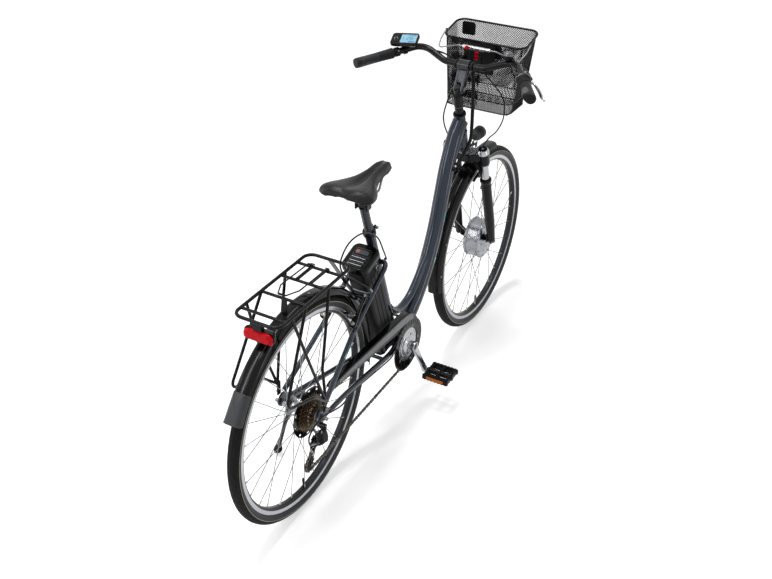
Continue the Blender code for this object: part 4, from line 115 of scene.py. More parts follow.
def circle(radius, sides, phase=0.0):
    angles = [phase + 2 * math.pi * i / sides for i in range(sides)]
    return [(radius * math.cos(angle), radius * math.sin(angle)) for angle in angles]


def oblong(length, width, corner, steps=5):
    points = []
    for quarter in range(4):
        side_x = 1 if quarter in (0, 3) else -1
        side_y = 1 if quarter in (0, 1) else -1
        x, y = side_x * (length / 2 - corner), side_y * (width / 2 - corner)
        for i in range(steps + 1):
            angle = (quarter + i / steps) * math.pi / 2
            points.append((x + corner * math.cos(angle), y + corner * math.sin(angle)))
    return points


def rounded(points, radius, steps=8):
    points = [Vector(point) for point in points]
    radii = radius if isinstance(radius, (list, tuple)) else [radius] * (len(points) - 2)
    path = [points[0]]
    for before, corner, after, size in zip(points, points[1:], points[2:], radii):
        inward, outward = (before - corner).normalized(), (after - corner).normalized()
        half = inward.angle(outward) / 2
        centre = corner + (inward + outward).normalized() * (size / math.sin(half))
        start = corner + inward * (size / math.tan(half)) - centre
        end = corner + outward * (size / math.tan(half)) - centre
        sweep = start.angle(end)
        for i in range(steps + 1):
            first = math.sin((1 - i / steps) * sweep) / math.sin(sweep)
            second = math.sin(i / steps * sweep) / math.sin(sweep)
            path.append(centre + start * first + end * second)
    path.append(points[-1])
    return path


def smooth(points, count):
    points = [Vector(point) for point in points]
    ends = [points[0] * 2 - points[1]] + points + [points[-1] * 2 - points[-2]]
    fine = []
    for p, q, r, s in zip(ends, ends[1:], ends[2:], ends[3:]):
        for i in range(12):
            t = i / 12
            fine.append(0.5 * (2 * q + (r - p) * t + (2 * p - 5 * q + 4 * r - s) * t ** 2
                               + (3 * q - p - 3 * r + s) * t ** 3))
    fine.append(points[-1])
    steps = [(b - a).length for a, b in zip(fine, fine[1:])]
    path, travelled, index = [fine[0]], 0.0, 0
    for i in range(1, count - 1):
        wanted = sum(steps) * i / (count - 1)
        while travelled + steps[index] < wanted:
            travelled += steps[index]
            index += 1
        path.append(fine[index].lerp(fine[index + 1], (wanted - travelled) / steps[index]))
    path.append(fine[-1])
    return path


# Finishes



def finish(name, colour, rough, metal=0.0, shade=None, shade_scale=14.0, rough_to=None, rough_scale=55.0,
           grain=0.0, grain_scale=1400.0, cells=False, coat=0.0, sheen=0.0, turned=None, glow=0.0,
           stretch=(1.0, 1.0, 1.0), clear=0.0, gleam=0.5):
    """A Principled material. Noise moves its colour towards shade, its roughness and its grain."""
    material = bpy.data.materials.new(name)
    material.use_nodes = True
    tree = material.node_tree
    shader = tree.nodes["Principled BSDF"]

    def add(kind, inputs=(), **settings):
        made = tree.nodes.new("ShaderNode" + kind)
        for key, value in settings.items():
            setattr(made, key, value)
        for key, value in dict(inputs).items():
            if isinstance(value, bpy.types.NodeSocket):
                tree.links.new(value, made.inputs[key])
            else:
                made.inputs[key].default_value = value
        return made

    for key, value in (("Base Color", (*colour, 1.0)), ("Metallic", metal), ("Roughness", rough),
                       ("Coat Weight", coat), ("Coat Roughness", 0.04), ("Sheen Weight", sheen),
                       ("Transmission Weight", clear), ("Specular IOR Level", gleam)):
        shader.inputs[key].default_value = value
    where = add("TexCoord").outputs["Object"]
    if turned:
        moved = add("VectorMath", {0: where, 1: (0.0, -turned.y, -turned.z)}, operation="ADD")
        parts = add("SeparateXYZ", {0: moved.outputs[0]})
        square = [add("Math", {0: parts.outputs[k], 1: 2.0}, operation="POWER").outputs[0] for k in (1, 2)]
        total = add("Math", {0: square[0], 1: square[1]}, operation="ADD")
        reach = add("Math", {0: total.outputs[0], 1: 0.5}, operation="POWER")
        where = add("CombineXYZ", {0: reach.outputs[0]}).outputs[0]
    elif stretch != (1.0, 1.0, 1.0):
        where = add("Mapping", {"Vector": where, "Scale": stretch}).outputs[0]
    cloud = add("TexNoise", {"Vector": where, "Scale": shade_scale, "Detail": 5.0})
    shade = shade or tuple(c * 0.72 for c in colour)
    mixed = add("Mix", {0: cloud.outputs[0], 6: (*colour, 1.0), 7: (*shade, 1.0)}, data_type="RGBA")
    tree.links.new(mixed.outputs[2], shader.inputs["Base Color"])
    rough_to = rough * 1.35 if rough_to is None else rough_to
    haze = add("TexNoise", {"Vector": where, "Scale": rough_scale, "Detail": 4.0})
    spread = add("MapRange", {0: haze.outputs[0], 1: 0.3, 2: 0.7, 3: rough, 4: min(rough_to, 1.0)})
    tree.links.new(spread.outputs[0], shader.inputs["Roughness"])
    if grain:
        if cells:
            fine = add("TexVoronoi", {"Vector": where, "Scale": grain_scale})
        else:
            fine = add("TexNoise", {"Vector": where, "Scale": grain_scale, "Detail": 2.0})
        bump = add("Bump", {"Height": fine.outputs[0], "Strength": grain, "Distance": 0.0004})
        tree.links.new(bump.outputs[0], shader.inputs["Normal"])
    if glow:
        tree.links.new(mixed.outputs[2], shader.inputs["Emission Color"])
        shader.inputs["Emission Strength"].default_value = glow
    return material


PAINT = finish("slate_paint", (0.024, 0.031, 0.046), 0.17, 0.5, (0.021, 0.027, 0.041), 5.0, 0.26, 30.0,
               0.03, 4200.0, True, coat=0.45, gleam=0.1)
BLACK = finish("black_paint", (0.0045, 0.0045, 0.0050), 0.2, 0.0, (0.0035, 0.0035, 0.0040), 9.0, 0.28, 35.0,
               0.03, 2500.0, gleam=0.15)
GLOSS = finish("black_gloss_plastic", (0.0040, 0.0040, 0.0045), 0.1, 0.0, (0.003, 0.003, 0.0035), 6.0, 0.16,
               24.0,
               0.012, 900.0, gleam=0.16)
MATT = finish("black_plastic", (0.0085, 0.0085, 0.0090), 0.4, 0.0, (0.006, 0.006, 0.0065), 20.0, 0.52, 90.0,
              0.22, 2600.0, gleam=0.12)
# Dark grey plastic, and also the painted sheen on the head lamp's black barrel.
DARK_GREY_AND_SHEEN = finish("dark_grey_plastic_and_painted_sheen", (0.050, 0.052, 0.057), 0.4, 0.0, (0.034, 0.036, 0.040), 16.0, 0.52, 80.0,
              0.2, 2400.0, gleam=0.25)
TYRE = finish("tyre_rubber", (0.0125, 0.0125, 0.0130), 0.6, 0.0, (0.009, 0.009, 0.009), 24.0, 0.78, 130.0,
              0.3, 1500.0, gleam=0.1)
# Lighter tyre rubber for the walls near the rim: a painted sheen, not a rubber of another colour.
WALL_SHEEN = finish("tyre_wall_painted_sheen", (0.040, 0.041, 0.045), 0.4, 0.0, (0.031, 0.032, 0.035), 24.0, 0.5, 130.0, 0.12,
                  1500.0,
                  gleam=0.14)
CREAM = finish("cream_line", (0.46, 0.42, 0.29), 0.45, 0.0, (0.36, 0.33, 0.23), 40.0, gleam=0.2)
RIM_REAR = finish("rim_aluminium_rear", (0.52, 0.53, 0.55), 0.22, 1.0, (0.40, 0.41, 0.43), 260.0, 0.34,
                  1600.0,
                  0.12, 2600.0, turned=REAR_AXLE)
RIM_FRONT = finish("rim_aluminium_front", (0.52, 0.53, 0.55), 0.22, 1.0, (0.40, 0.41, 0.43), 260.0, 0.34,
                   1600.0, 0.12, 2600.0, turned=FRONT_AXLE)
RIM_DARK = finish("rim_inner_wall", (0.030, 0.032, 0.036), 0.28, 0.5, (0.022, 0.023, 0.026), 30.0, 0.4, 60.0,
                  gleam=0.2)
SPOKE = finish("spoke_steel", (0.25, 0.255, 0.26), 0.22, 1.0, (0.18, 0.185, 0.19), 60.0, 0.32, 200.0)
NIPPLE = finish("nipple_brass", (0.55, 0.52, 0.43), 0.24, 1.0, (0.44, 0.41, 0.33), 60.0, 0.34, 200.0)
HUB = finish("hub_aluminium", (0.34, 0.35, 0.37), 0.2, 1.0, (0.25, 0.26, 0.28), 40.0, 0.34, 420.0, 0.1,
             1900.0)
# Polished aluminium, and also the painted highlights on the battery cap's bars.
SILVER_AND_HIGHLIGHT = finish("polished_aluminium_and_painted_highlight", (0.46, 0.47, 0.49), 0.16, 1.0, (0.37, 0.38, 0.40), 22.0, 0.28, 160.0,
                0.05, 1700.0)
STEEL = finish("zinc_steel", (0.26, 0.26, 0.27), 0.28, 1.0, (0.17, 0.17, 0.18), 70.0, 0.45, 240.0, 0.15,
               1300.0)
CHROME = finish("chrome", (0.42, 0.43, 0.45), 0.06, 1.0, (0.36, 0.37, 0.39), 30.0, 0.12, 90.0)
CHAIN = finish("chain_steel", (0.190, 0.160, 0.125), 0.3, 1.0, (0.080, 0.066, 0.052), 160.0, 0.5, 500.0, 0.2,
               1500.0)
# Dark steel for the chain's outer plates and the brake springs, and also the painted shade in the gaps
# between sprockets.
DARK_STEEL_AND_GAP_SHADE = finish("dark_steel_and_painted_gap_shade", (0.040, 0.036, 0.032), 0.32, 1.0, (0.022, 0.020, 0.018), 160.0, 0.5, 500.0)
BRONZE = finish("sprocket_steel", (0.270, 0.200, 0.120), 0.3, 1.0, (0.110, 0.078, 0.046), 120.0, 0.5, 420.0,
                0.2,
                1500.0)
SHELL = finish("saddle_cover", (0.0080, 0.0080, 0.0085), 0.3, 0.0, (0.006, 0.006, 0.0065), 12.0, 0.4, 70.0,
               0.25, 950.0, True, sheen=0.01, gleam=0.22)
GRIP = finish("grip_rubber", (0.0105, 0.0105, 0.0110), 0.42, 0.0, (0.008, 0.008, 0.0085), 30.0, 0.58, 110.0,
              0.3,
              1100.0, True, gleam=0.14)
PALM = finish("palm_rubber", (0.085, 0.088, 0.093), 0.5, 0.0, (0.066, 0.068, 0.072), 30.0, 0.65, 110.0, 0.3,
              1100.0, True, gleam=0.25)
STEM = finish("stem_paint", (0.050, 0.053, 0.060), 0.24, 0.5, (0.040, 0.042, 0.048), 18.0, 0.34, 70.0, 0.08,
              2400.0,
              gleam=0.25)
GREY = finish("satin_grey", (0.150, 0.155, 0.165), 0.26, 0.6, (0.115, 0.120, 0.128), 14.0, 0.36, 60.0, 0.05,
              2400.0,
              gleam=0.25)
RED = finish("red_lens", (0.66, 0.0025, 0.0110), 0.14, 0.0, (0.48, 0.0018, 0.0070), 90.0, 0.22, 60.0, 0.5,
             700.0,
             True, gleam=0.1)
AMBER = finish("amber_lens", (0.72, 0.21, 0.010), 0.16, 0.0, (0.54, 0.13, 0.006), 140.0, 0.26, 90.0, 0.5,
               700.0,
               True, gleam=0.2)
GLASS = finish("lamp_glass", (0.55, 0.58, 0.60), 0.08, 0.0, (0.44, 0.48, 0.52), 60.0, 0.14, 60.0, coat=0.5)
SCREEN = finish("lit_screen", (0.20, 0.40, 0.53), 0.16, 0.0, (0.24, 0.46, 0.59), 26.0, 0.22, 40.0, glow=0.15,
                gleam=0.3)
SEGMENT = finish("screen_marks", (0.012, 0.070, 0.20), 0.3, 0.0, (0.014, 0.08, 0.22), 60.0, gleam=0.2)
WINDOW = finish("smoked_window", (0.060, 0.066, 0.078), 0.08, 0.0, (0.040, 0.044, 0.054), 20.0, 0.13, 40.0)
BLUSH = finish("warning_window", (0.50, 0.15, 0.12), 0.2, 0.0, (0.38, 0.11, 0.09), 50.0, gleam=0.3)
TEAL = finish("teal_patch", (0.008, 0.175, 0.215), 0.3, 0.0, (0.007, 0.15, 0.19), 40.0, coat=0.3, gleam=0.2)
MINT = finish("mint_patch", (0.24, 0.52, 0.44), 0.3, 0.0, (0.20, 0.45, 0.38), 40.0, coat=0.3, gleam=0.2)
JACKET = finish("cable_jacket", (0.0060, 0.0060, 0.0065), 0.3, 0.0, (0.0045, 0.0045, 0.005), 30.0, 0.42, 90.0,
                0.05,
                1800.0, gleam=0.14)
GREY_JACKET = finish("grey_jacket", (0.045, 0.046, 0.050), 0.35, 0.0, (0.035, 0.036, 0.039), 30.0, gleam=0.2)
# The palm rubber again but darker, as painted shade on the left grip's palm.
PALM_IN_PAINTED_SHADE = finish("palm_rubber_painted_shade", (0.026, 0.027, 0.029), 0.45, 0.0, (0.019, 0.020, 0.022), 30.0, 0.6, 110.0,
              0.3,
              1100.0, True, gleam=0.15)
WHITE = finish("white_marks", (0.62, 0.62, 0.62), 0.4, 0.0, (0.52, 0.52, 0.52), 60.0, gleam=0.3)


# Building pieces

class Shape:
    """Gathers surfaces, each with its finish, and makes them one piece."""

    def __init__(self, material):
        self.whole = bmesh.new()
        self.material = material
        self.finishes = [material]

    def take(self, part, material=None, bevel=0.0, segments=2):
        material = material or self.material
        if material not in self.finishes:
            self.finishes.append(material)
        bmesh.ops.remove_doubles(part, verts=part.verts, dist=2e-6)
        bmesh.ops.recalc_face_normals(part, faces=part.faces)
        if bevel:
            sharp = [e for e in part.edges if len(e.link_faces) == 2 and e.calc_face_angle() > 0.5]
            bmesh.ops.bevel(part, geom=sharp, offset=bevel, segments=segments, affect="EDGES",
                            clamp_overlap=True)
        for face in part.faces:
            face.material_index = self.finishes.index(material)
        mesh = bpy.data.meshes.new("part")
        part.to_mesh(mesh)
        part.free()
        self.whole.from_mesh(mesh)
        bpy.data.meshes.remove(mesh)
        return self

    def loft(self, rings, material=None, closed=False, bevel=0.0, caps=True):
        part = bmesh.new()
        loops = [[part.verts.new(point) for point in ring] for ring in rings]
        pairs = list(zip(loops, loops[1:])) + ([(loops[-1], loops[0])] if closed else [])
        for first, second in pairs:
            for i in range(len(first)):
                j = (i + 1) % len(first)
                part.faces.new((first[i], first[j], second[j], second[i]))
        if caps and not closed:
            part.faces.new(loops[0])
            part.faces.new(loops[-1])
        return self.take(part, material, bevel)

    def lathe(self, profile, place, material=None, steps=40, bevel=0.0):
        """Turns a closed outline of (radius, height) about the z axis of place."""
        rings = []
        for i in range(steps):
            turn = place @ Matrix.Rotation(2 * math.pi * i / steps, 4, "Z")
            rings.append([turn @ Vector((radius, 0.0, height)) for radius, height in profile])
        return self.loft(rings, material, True, bevel)

    def prism(self, outline, place, low, high, material=None, bevel=0.0006):
        return self.loft([[place @ Vector((x, y, z)) for x, y in outline] for z in (low, high)], material,
                         bevel=bevel)

    def rod(self, place, radius, low, high, material=None, sides=20, bevel=0.0004):
        return self.prism(circle(radius, sides), place, low, high, material, bevel)

    def tapered(self, outlines, place, material=None, bevel=0.0):
        return self.loft([[place @ Vector((x, y, z)) for x, y in outline] for outline, z in outlines],
                         material,
                         bevel=bevel)

    def block(self, size, place, material=None, bevel=0.0008):
        part = bmesh.new()
        bmesh.ops.create_cube(part, size=1.0, matrix=place @ Matrix.Diagonal((*size, 1.0)))
        return self.take(part, material, min(bevel, min(size) * 0.3))

    def tube(self, points, radius, material=None, sides=14, closed=False, caps=True):
        points = [Vector(point) for point in points]
        radii = radius if isinstance(radius, (list, tuple)) else [radius] * len(points)
        count = len(points)
        if closed:
            tangents = [(points[(i + 1) % count] - points[i - 1]).normalized() for i in range(count)]
        else:
            ahead = [(b - a).normalized() for a, b in zip(points, points[1:])]
            tangents = [ahead[0]] + [(a + b).normalized() for a, b in zip(ahead, ahead[1:])] + [ahead[-1]]
        side = tangents[0].cross(LEFT if abs(tangents[0].x) < 0.9 else UP).normalized()
        if closed:
            side = UP
        rings = []
        for point, tangent, size in zip(points, tangents, radii):
            side = (side - tangent * side.dot(tangent)).normalized()
            other = tangent.cross(side)
            rings.append([point + side * x + other * y for x, y in circle(size, sides)])
        return self.loft(rings, material, closed, caps=caps)

    def hexagon(self, place, radius, low, high, material=None):
        return self.prism(circle(radius, 6), place, low, high, material, 0.0004)

    def piece(self, name, body, replaces=(), slot=None, sharp=32.0, weighted=True):
        mesh = bpy.data.meshes.new(name)
        self.whole.to_mesh(mesh)
        self.whole.free()
        for material in self.finishes:
            mesh.materials.append(material)
        mesh.shade_smooth()
        mesh.set_sharp_from_angle(angle=math.radians(sharp))
        part = bpy.data.objects.new(name, mesh)
        bpy.context.scene.collection.objects.link(part)
        if weighted:
            part.modifiers.new("normals", "WEIGHTED_NORMAL").keep_sharp = True
        if body:
            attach(part, body)
        if replaces:
            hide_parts(*([replaces] if isinstance(replaces, str) else replaces))
        return part


# Camera, light and floor

WORLD_LEVEL, FLOOR_LIFT, SUN_LEVEL = 0.34, 0.52, 0.9

def make_camera():
    data = bpy.data.cameras.new("camera")
    eye = bpy.data.objects.new("camera", data)
    bpy.context.scene.collection.objects.link(eye)
    right = Vector((-0.855088, -0.518474, -0.003144))
    up = Vector((0.255536, -0.426701, 0.867541))
    back = Vector((-0.451139, 0.741021, 0.497355))
    eye.matrix_world = at(-1.41928, 2.70149, 2.32340) @ Matrix((right, up, back)).transposed().to_4x4()
    data.lens, data.sensor_width = 50.789, 36.0
    data.shift_x, data.shift_y = 0.0560, -0.0472
    data.clip_start, data.clip_end = 0.05, 200.0
    bpy.context.scene.camera = eye


def lamp(name, place, target, size, energy, along=LEFT):
    data = bpy.data.lights.new(name, "AREA")
    data.shape, data.size, data.size_y, data.energy = "RECTANGLE", size[0], size[1], energy
    item = bpy.data.objects.new(name, data)
    bpy.context.scene.collection.objects.link(item)
    item.matrix_world = axes_at(place, Vector(place) - Vector(target), along)


def seen_directly(tree):
    """1 for rays that come from the camera, a mirror or glass, otherwise 0."""
    path = tree.nodes.new("ShaderNodeLightPath")
    total = path.outputs["Is Camera Ray"]
    for name in ("Is Glossy Ray", "Is Transmission Ray"):
        larger = tree.nodes.new("ShaderNodeMath")
        larger.operation = "MAXIMUM"
        tree.links.new(total, larger.inputs[0])
        tree.links.new(path.outputs[name], larger.inputs[1])
        total = larger.outputs[0]
    return total


def make_studio():
    scene = bpy.context.scene
    scene.view_settings.view_transform = "Standard"
    world = bpy.data.worlds.new("studio")
    scene.world = world
    world.use_nodes = True
    tree = world.node_tree
    spread = tree.nodes.new("ShaderNodeMapRange")
    tree.links.new(seen_directly(tree), spread.inputs[0])
    spread.inputs[3].default_value, spread.inputs[4].default_value = WORLD_LEVEL, 1.0
    tree.links.new(spread.outputs[0], tree.nodes["Background"].inputs["Strength"])
    tree.nodes["Background"].inputs["Color"].default_value = (1.0, 1.0, 1.0, 1.0)
    lamp("overhead", (0.45, 0.2, 3.1), (0.0, 0.1, 0.2), (0.35, 3.0), 26.0)
    lamp("rear_strip", (1.15, 2.5, 2.5), (0.0, 0.7, 0.6), (2.9, 0.22), 30.0, Vector((0.0, 0.82, -0.57)))
    lamp("left_bank", (3.1, 1.7, 1.1), (0.0, 0.0, 0.7), (2.2, 0.22), 18.0, UP)
    lamp("right_bank", (-3.3, -0.3, 0.8), (0.0, -0.2, 0.6), (1.5, 0.22), 10.0, UP)
    light = bpy.data.lights.new("sun", "SUN")
    light.energy, light.angle = SUN_LEVEL, math.radians(12.0)
    sun = bpy.data.objects.new("sun", light)
    scene.collection.objects.link(sun)
    sun.matrix_world = axes_at((0.4, 0.0, 3.0), (math.sin(math.radians(8.0)), 0.0,
                                                 math.cos(math.radians(8.0))), LEFT)

    mesh = bpy.data.meshes.new("floor")
    mesh.from_pydata([(-60, -60, -0.0004), (60, -60, -0.0004), (60, 60, -0.0004), (-60, 60, -0.0004)], [],
                     [(0, 1, 2, 3)])
    floor = bpy.data.objects.new("floor", mesh)
    scene.collection.objects.link(floor)
    material = bpy.data.materials.new("floor")
    material.use_nodes = True
    tree = material.node_tree
    tree.nodes.clear()
    matt = tree.nodes.new("ShaderNodeBsdfDiffuse")
    matt.inputs["Color"].default_value = (0.80, 0.80, 0.80, 1.0)
    lit = tree.nodes.new("ShaderNodeEmission")
    level = tree.nodes.new("ShaderNodeMath")
    level.operation = "MULTIPLY"
    tree.links.new(seen_directly(tree), level.inputs[0])
    level.inputs[1].default_value = FLOOR_LIFT
    tree.links.new(level.outputs[0], lit.inputs["Strength"])
    both = tree.nodes.new("ShaderNodeAddShader")
    out = tree.nodes.new("ShaderNodeOutputMaterial")
    tree.links.new(matt.outputs[0], both.inputs[0])
    tree.links.new(lit.outputs[0], both.inputs[1])
    tree.links.new(both.outputs[0], out.inputs["Surface"])
    mesh.materials.append(material)


# Wheels

def tyre(name, axle, body):
    """Rounded carcass with walls lightened near the rim as a painted sheen, a cream line on each, slanted
    blocks and two centre grooves.
    """
    shape = Shape(TYRE)
    per, blocks = 6, 84
    bead_half, bead_radius = 0.0100, 0.312
    half_width, height, middle = 0.0195, 0.0185, 0.3305
    half = (112, 104, 96, 90, 86, 81, 74, 66, 61, 55, 48, 43, 39, 30, 22, 16, 12, 5)
    leans = [-a for a in half] + [0] + list(reversed(half))
    part = bmesh.new()
    loops = []
    for i in range(per * blocks):
        angle = 2 * math.pi * i / (per * blocks)
        spot = [(-bead_half, bead_radius)]
        for lean in leans:
            wide = abs(lean)
            depth = 0.0
            if wide in (16, 12, 43, 39):
                depth = 0.0012 if wide < 20 else 0.0009
            if 16 < wide < 61 and (i + wide // 9) % per == 0:
                depth = 0.0013
            if wide < 12 and i % (per * 2) == 0:
                depth = 0.0009
            if 61 <= wide <= 66 and (i + 6) % per in (0, 1):
                depth = 0.0006
            turn = math.radians(lean)
            spot.append(((half_width - depth) * math.sin(turn), middle + (height - depth) * math.cos(turn)))
        spot.append((bead_half, bead_radius))
        loops.append([part.verts.new(axle + Vector((x, r * math.cos(angle), r * math.sin(angle)))) for x,
                      r in spot])
    for first, second in zip(loops, loops[1:] + loops[:1]):
        for j in range(len(first)):
            k = (j + 1) % len(first)
            made = part.faces.new((first[j], first[k], second[k], second[j]))
            if 0 < j < len(first) - 2 and {abs(leans[j - 1]), abs(leans[j])} == {81, 86}:
                made.material_index = 1
            # Faces near the bead take the lighter wall finish, a painted sheen on the lower walls.
            elif min(j, len(first) - 2 - j) < 6:
                made.material_index = 2
    bmesh.ops.recalc_face_normals(part, faces=part.faces)
    mesh = bpy.data.meshes.new("carcass")
    part.to_mesh(mesh)
    part.free()
    shape.finishes += [CREAM, WALL_SHEEN]
    shape.whole.from_mesh(mesh)
    return shape.piece(name, body, name, "tyre", 40.0, False)


def rim(name, axle, body, metal):
    """Double-walled section: machined brake tracks, rolled edges and a dark channel towards the hub."""
    shape = Shape(metal)
    track = [(0.3045, 0.0110), (0.3045, 0.0122), (0.3052, 0.0125), (0.3155, 0.0125), (0.3165, 0.0128),
             (0.3172, 0.0122), (0.3172, 0.0108), (0.3112, 0.0104)]
    shape.lathe(track + [(r, -x) for r, x in reversed(track)], across(axle), steps=120)
    inner = [(0.2962, 0.0), (0.2964, 0.0050), (0.2980, 0.0082), (0.3010, 0.0108), (0.3045, 0.0121),
             (0.3075, 0.0100)]
    shape.lathe(inner + [(r, -x) for r, x in reversed(inner)], across(axle), RIM_DARK, 120)
    return shape.piece(name, body, name, "rim")


def spokes(shape, axle, flange_radius, flanges, lacing):
    """The part's own lacing, with an elbow at the flange and a nipple at the rim."""
    for i in range(28):
        flange = flanges[i % 2]
        lean = 1 if i % 4 < 2 else -1
        side = 1 if flange > 0 else -1
        rim_angle = 2 * math.pi * i / 28
        hub_angle = rim_angle + lean * math.radians(lacing)
        start = axle + Vector((flange + side * lean * 0.0018, flange_radius * math.cos(hub_angle),
                               flange_radius * math.sin(hub_angle)))
        end = axle + Vector((side * (0.002 + lean * 0.0014), 0.2968 * math.cos(rim_angle),
                             0.2968 * math.sin(rim_angle)))
        along = (end - start).normalized()
        shape.tube([start, end], 0.00125, SPOKE, 6)
        shape.tube([end - along * 0.013, end - along * 0.0115, end - along * 0.004, end],
                   [0.0015, 0.0023, 0.0023, 0.0027], NIPPLE, 6)
        head = axes_at(start, LEFT * side * lean)
        shape.lathe([(0.0, -0.0035), (0.0013, -0.0035), (0.0013, 0.0008), (0.0021, 0.0010), (0.0019, 0.0018),
                     (0.0, 0.0020)], head, SPOKE, 8)


def valve(shape, axle, angle, cap):
    out = Vector((0.0, math.cos(angle), math.sin(angle)))
    place = axes_at(axle + out * 0.297, -out)
    shape.lathe([(0.0, 0.0), (0.0038, 0.0), (0.0042, 0.003), (0.0034, 0.008), (0.0034, 0.020), (0.0, 0.020)],
                place, JACKET, 12)
    shape.lathe([(0.0, 0.020), (0.0040, 0.020), (0.0043, 0.022), (0.0043, 0.031), (0.0030, 0.034),
                 (0.0, 0.0345)],
                place, cap, 12)


def front_hub(body):
    """Motor drum: domed covers with a ring of screws, raised spoke flanges and ribbed barrel."""
    shape = Shape(HUB)
    side = [(0.0052, 0.0420), (0.0200, 0.0420), (0.0225, 0.0412), (0.0270, 0.0408), (0.0300, 0.0372),
            (0.0330, 0.0362), (0.0480, 0.0336), (0.0500, 0.0322), (0.0600, 0.0312), (0.0630, 0.0322),
            (0.0660, 0.0318), (0.0690, 0.0298), (0.0715, 0.0285), (0.0725, 0.0262), (0.0738, 0.0258),
            (0.0742, 0.0212), (0.0728, 0.0208), (0.0715, 0.0180), (0.0705, 0.0176)]
    ribs = []
    for i in range(6):
        x = 0.0150 - 0.0050 * i - 0.0012
        ribs += [(0.0705, x + 0.0030), (0.0712, x + 0.0022), (0.0712, x + 0.0006), (0.0705, x - 0.0002)]
    ribs = [point for point in ribs if point[1] > 0.0]
    profile = side + ribs
    shape.lathe(profile + [(r, -x) for r, x in reversed(profile)], across(FRONT_AXLE), steps=72)
    for flip in (1, -1):
        for i in range(8):
            angle = 2 * math.pi * (i + 0.5) / 8
            spot = FRONT_AXLE + Vector((flip * 0.0310, 0.0645 * math.cos(angle), 0.0645 * math.sin(angle)))
            shape.lathe([(0.0, 0.0), (0.0032, 0.0), (0.0032, 0.0020), (0.0026, 0.0030), (0.0, 0.0032)],
                        axes_at(spot, LEFT * flip), STEEL, 10)
        for i in range(6):
            angle = 2 * math.pi * i / 6
            place = axes_at(FRONT_AXLE, LEFT * flip, Vector((0.0, math.cos(angle), math.sin(angle))))
            shape.block((0.014, 0.0030, 0.0016), place @ at(0.041, 0.0, 0.0346), HUB)
    spokes(shape, FRONT_AXLE, 0.0715, (0.0235, -0.0235), 24.0)
    valve(shape, FRONT_AXLE, math.radians(-92.0), JACKET)
    return shape.piece("front_hub_motor", body, "front_hub", "hub")


def pierced(shape, place, inner, outer, low, high, material, windows, round_steps=144, rings=8):
    """A flat disc whose cells are left out where windows(angle, radius share) is true."""
    solid = [[not windows(2 * math.pi * (i + 0.5) / round_steps, (j + 0.5) / rings) for j in range(rings)]
             for i in range(round_steps)]
    part = bmesh.new()
    verts = {}

    def vert(i, j, z):
        key = (i % round_steps, j, z)
        if key not in verts:
            angle = 2 * math.pi * (i % round_steps) / round_steps
            radius = inner + (outer - inner) * j / rings
            verts[key] = part.verts.new(place @ Vector((radius * math.cos(angle), radius * math.sin(angle),
                                                        z)))
        return verts[key]

    for i in range(round_steps):
        for j in range(rings):
            if not solid[i][j]:
                continue
            for z in (low, high):
                part.faces.new([vert(i, j, z), vert(i + 1, j, z), vert(i + 1, j + 1, z), vert(i, j + 1, z)])
            sides = ((solid[(i + 1) % round_steps][j], (i + 1, j), (i + 1, j + 1)),
                     (solid[i - 1][j], (i, j), (i, j + 1)),
                     (j + 1 < rings and solid[i][j + 1], (i, j + 1), (i + 1, j + 1)),
                     (j > 0 and solid[i][j - 1], (i, j), (i + 1, j)))
            for filled, a, b in sides:
                if not filled:
                    part.faces.new([vert(*a, low), vert(*b, low), vert(*b, high), vert(*a, high)])
    shape.take(part, material)


def rear_hub(body):
    shape = Shape(HUB)
    flange = 0.029
    profile = [(0.0053, 0.0620), (0.0100, 0.0620), (0.0112, 0.0600), (0.0120, 0.0420), (0.0150, 0.0400),
               (flange - 0.001, 0.0387), (flange, 0.0380), (flange, 0.0340), (flange - 0.001, 0.0333),
               (0.0200, 0.0320), (0.0160, 0.0280), (0.0145, 0.0080), (0.0160, -0.0120), (0.0200, -0.0160),
               (flange - 0.001, -0.0170), (flange, -0.0178), (flange, -0.0216), (flange - 0.001, -0.0223),
               (0.0150, -0.0255), (0.0150, -0.0605), (0.0053, -0.0605)]
    shape.lathe(profile, across(REAR_AXLE), steps=48)
    spokes(shape, REAR_AXLE, flange - 0.0035, (0.036, -0.0197), 62.0)
    valve(shape, REAR_AXLE, math.radians(-90.0), JACKET)

    def openings(angle, share):
        return 0.80 < share < 0.92 and (angle * 10 / (2 * math.pi)) % 1.0 < 0.22

    pierced(shape, across(REAR_AXLE), 0.014, 0.079, -0.0247, -0.0233, GLOSS, openings, 160, 12)
    return shape.piece("rear_hub_and_guard", body, "rear_hub", "hub")


# Drive

def pitch_radius(teeth):
    return PITCH / (2 * math.sin(math.pi / teeth))


def flat(vector):
    return Vector((vector.y, vector.z))


def tension_pulley(swing):
    """The lower pulley's centre for one swing of the cage."""
    return GUIDE_PULLEY + Vector((0.0, math.sin(swing), -math.cos(swing))) * CAGE


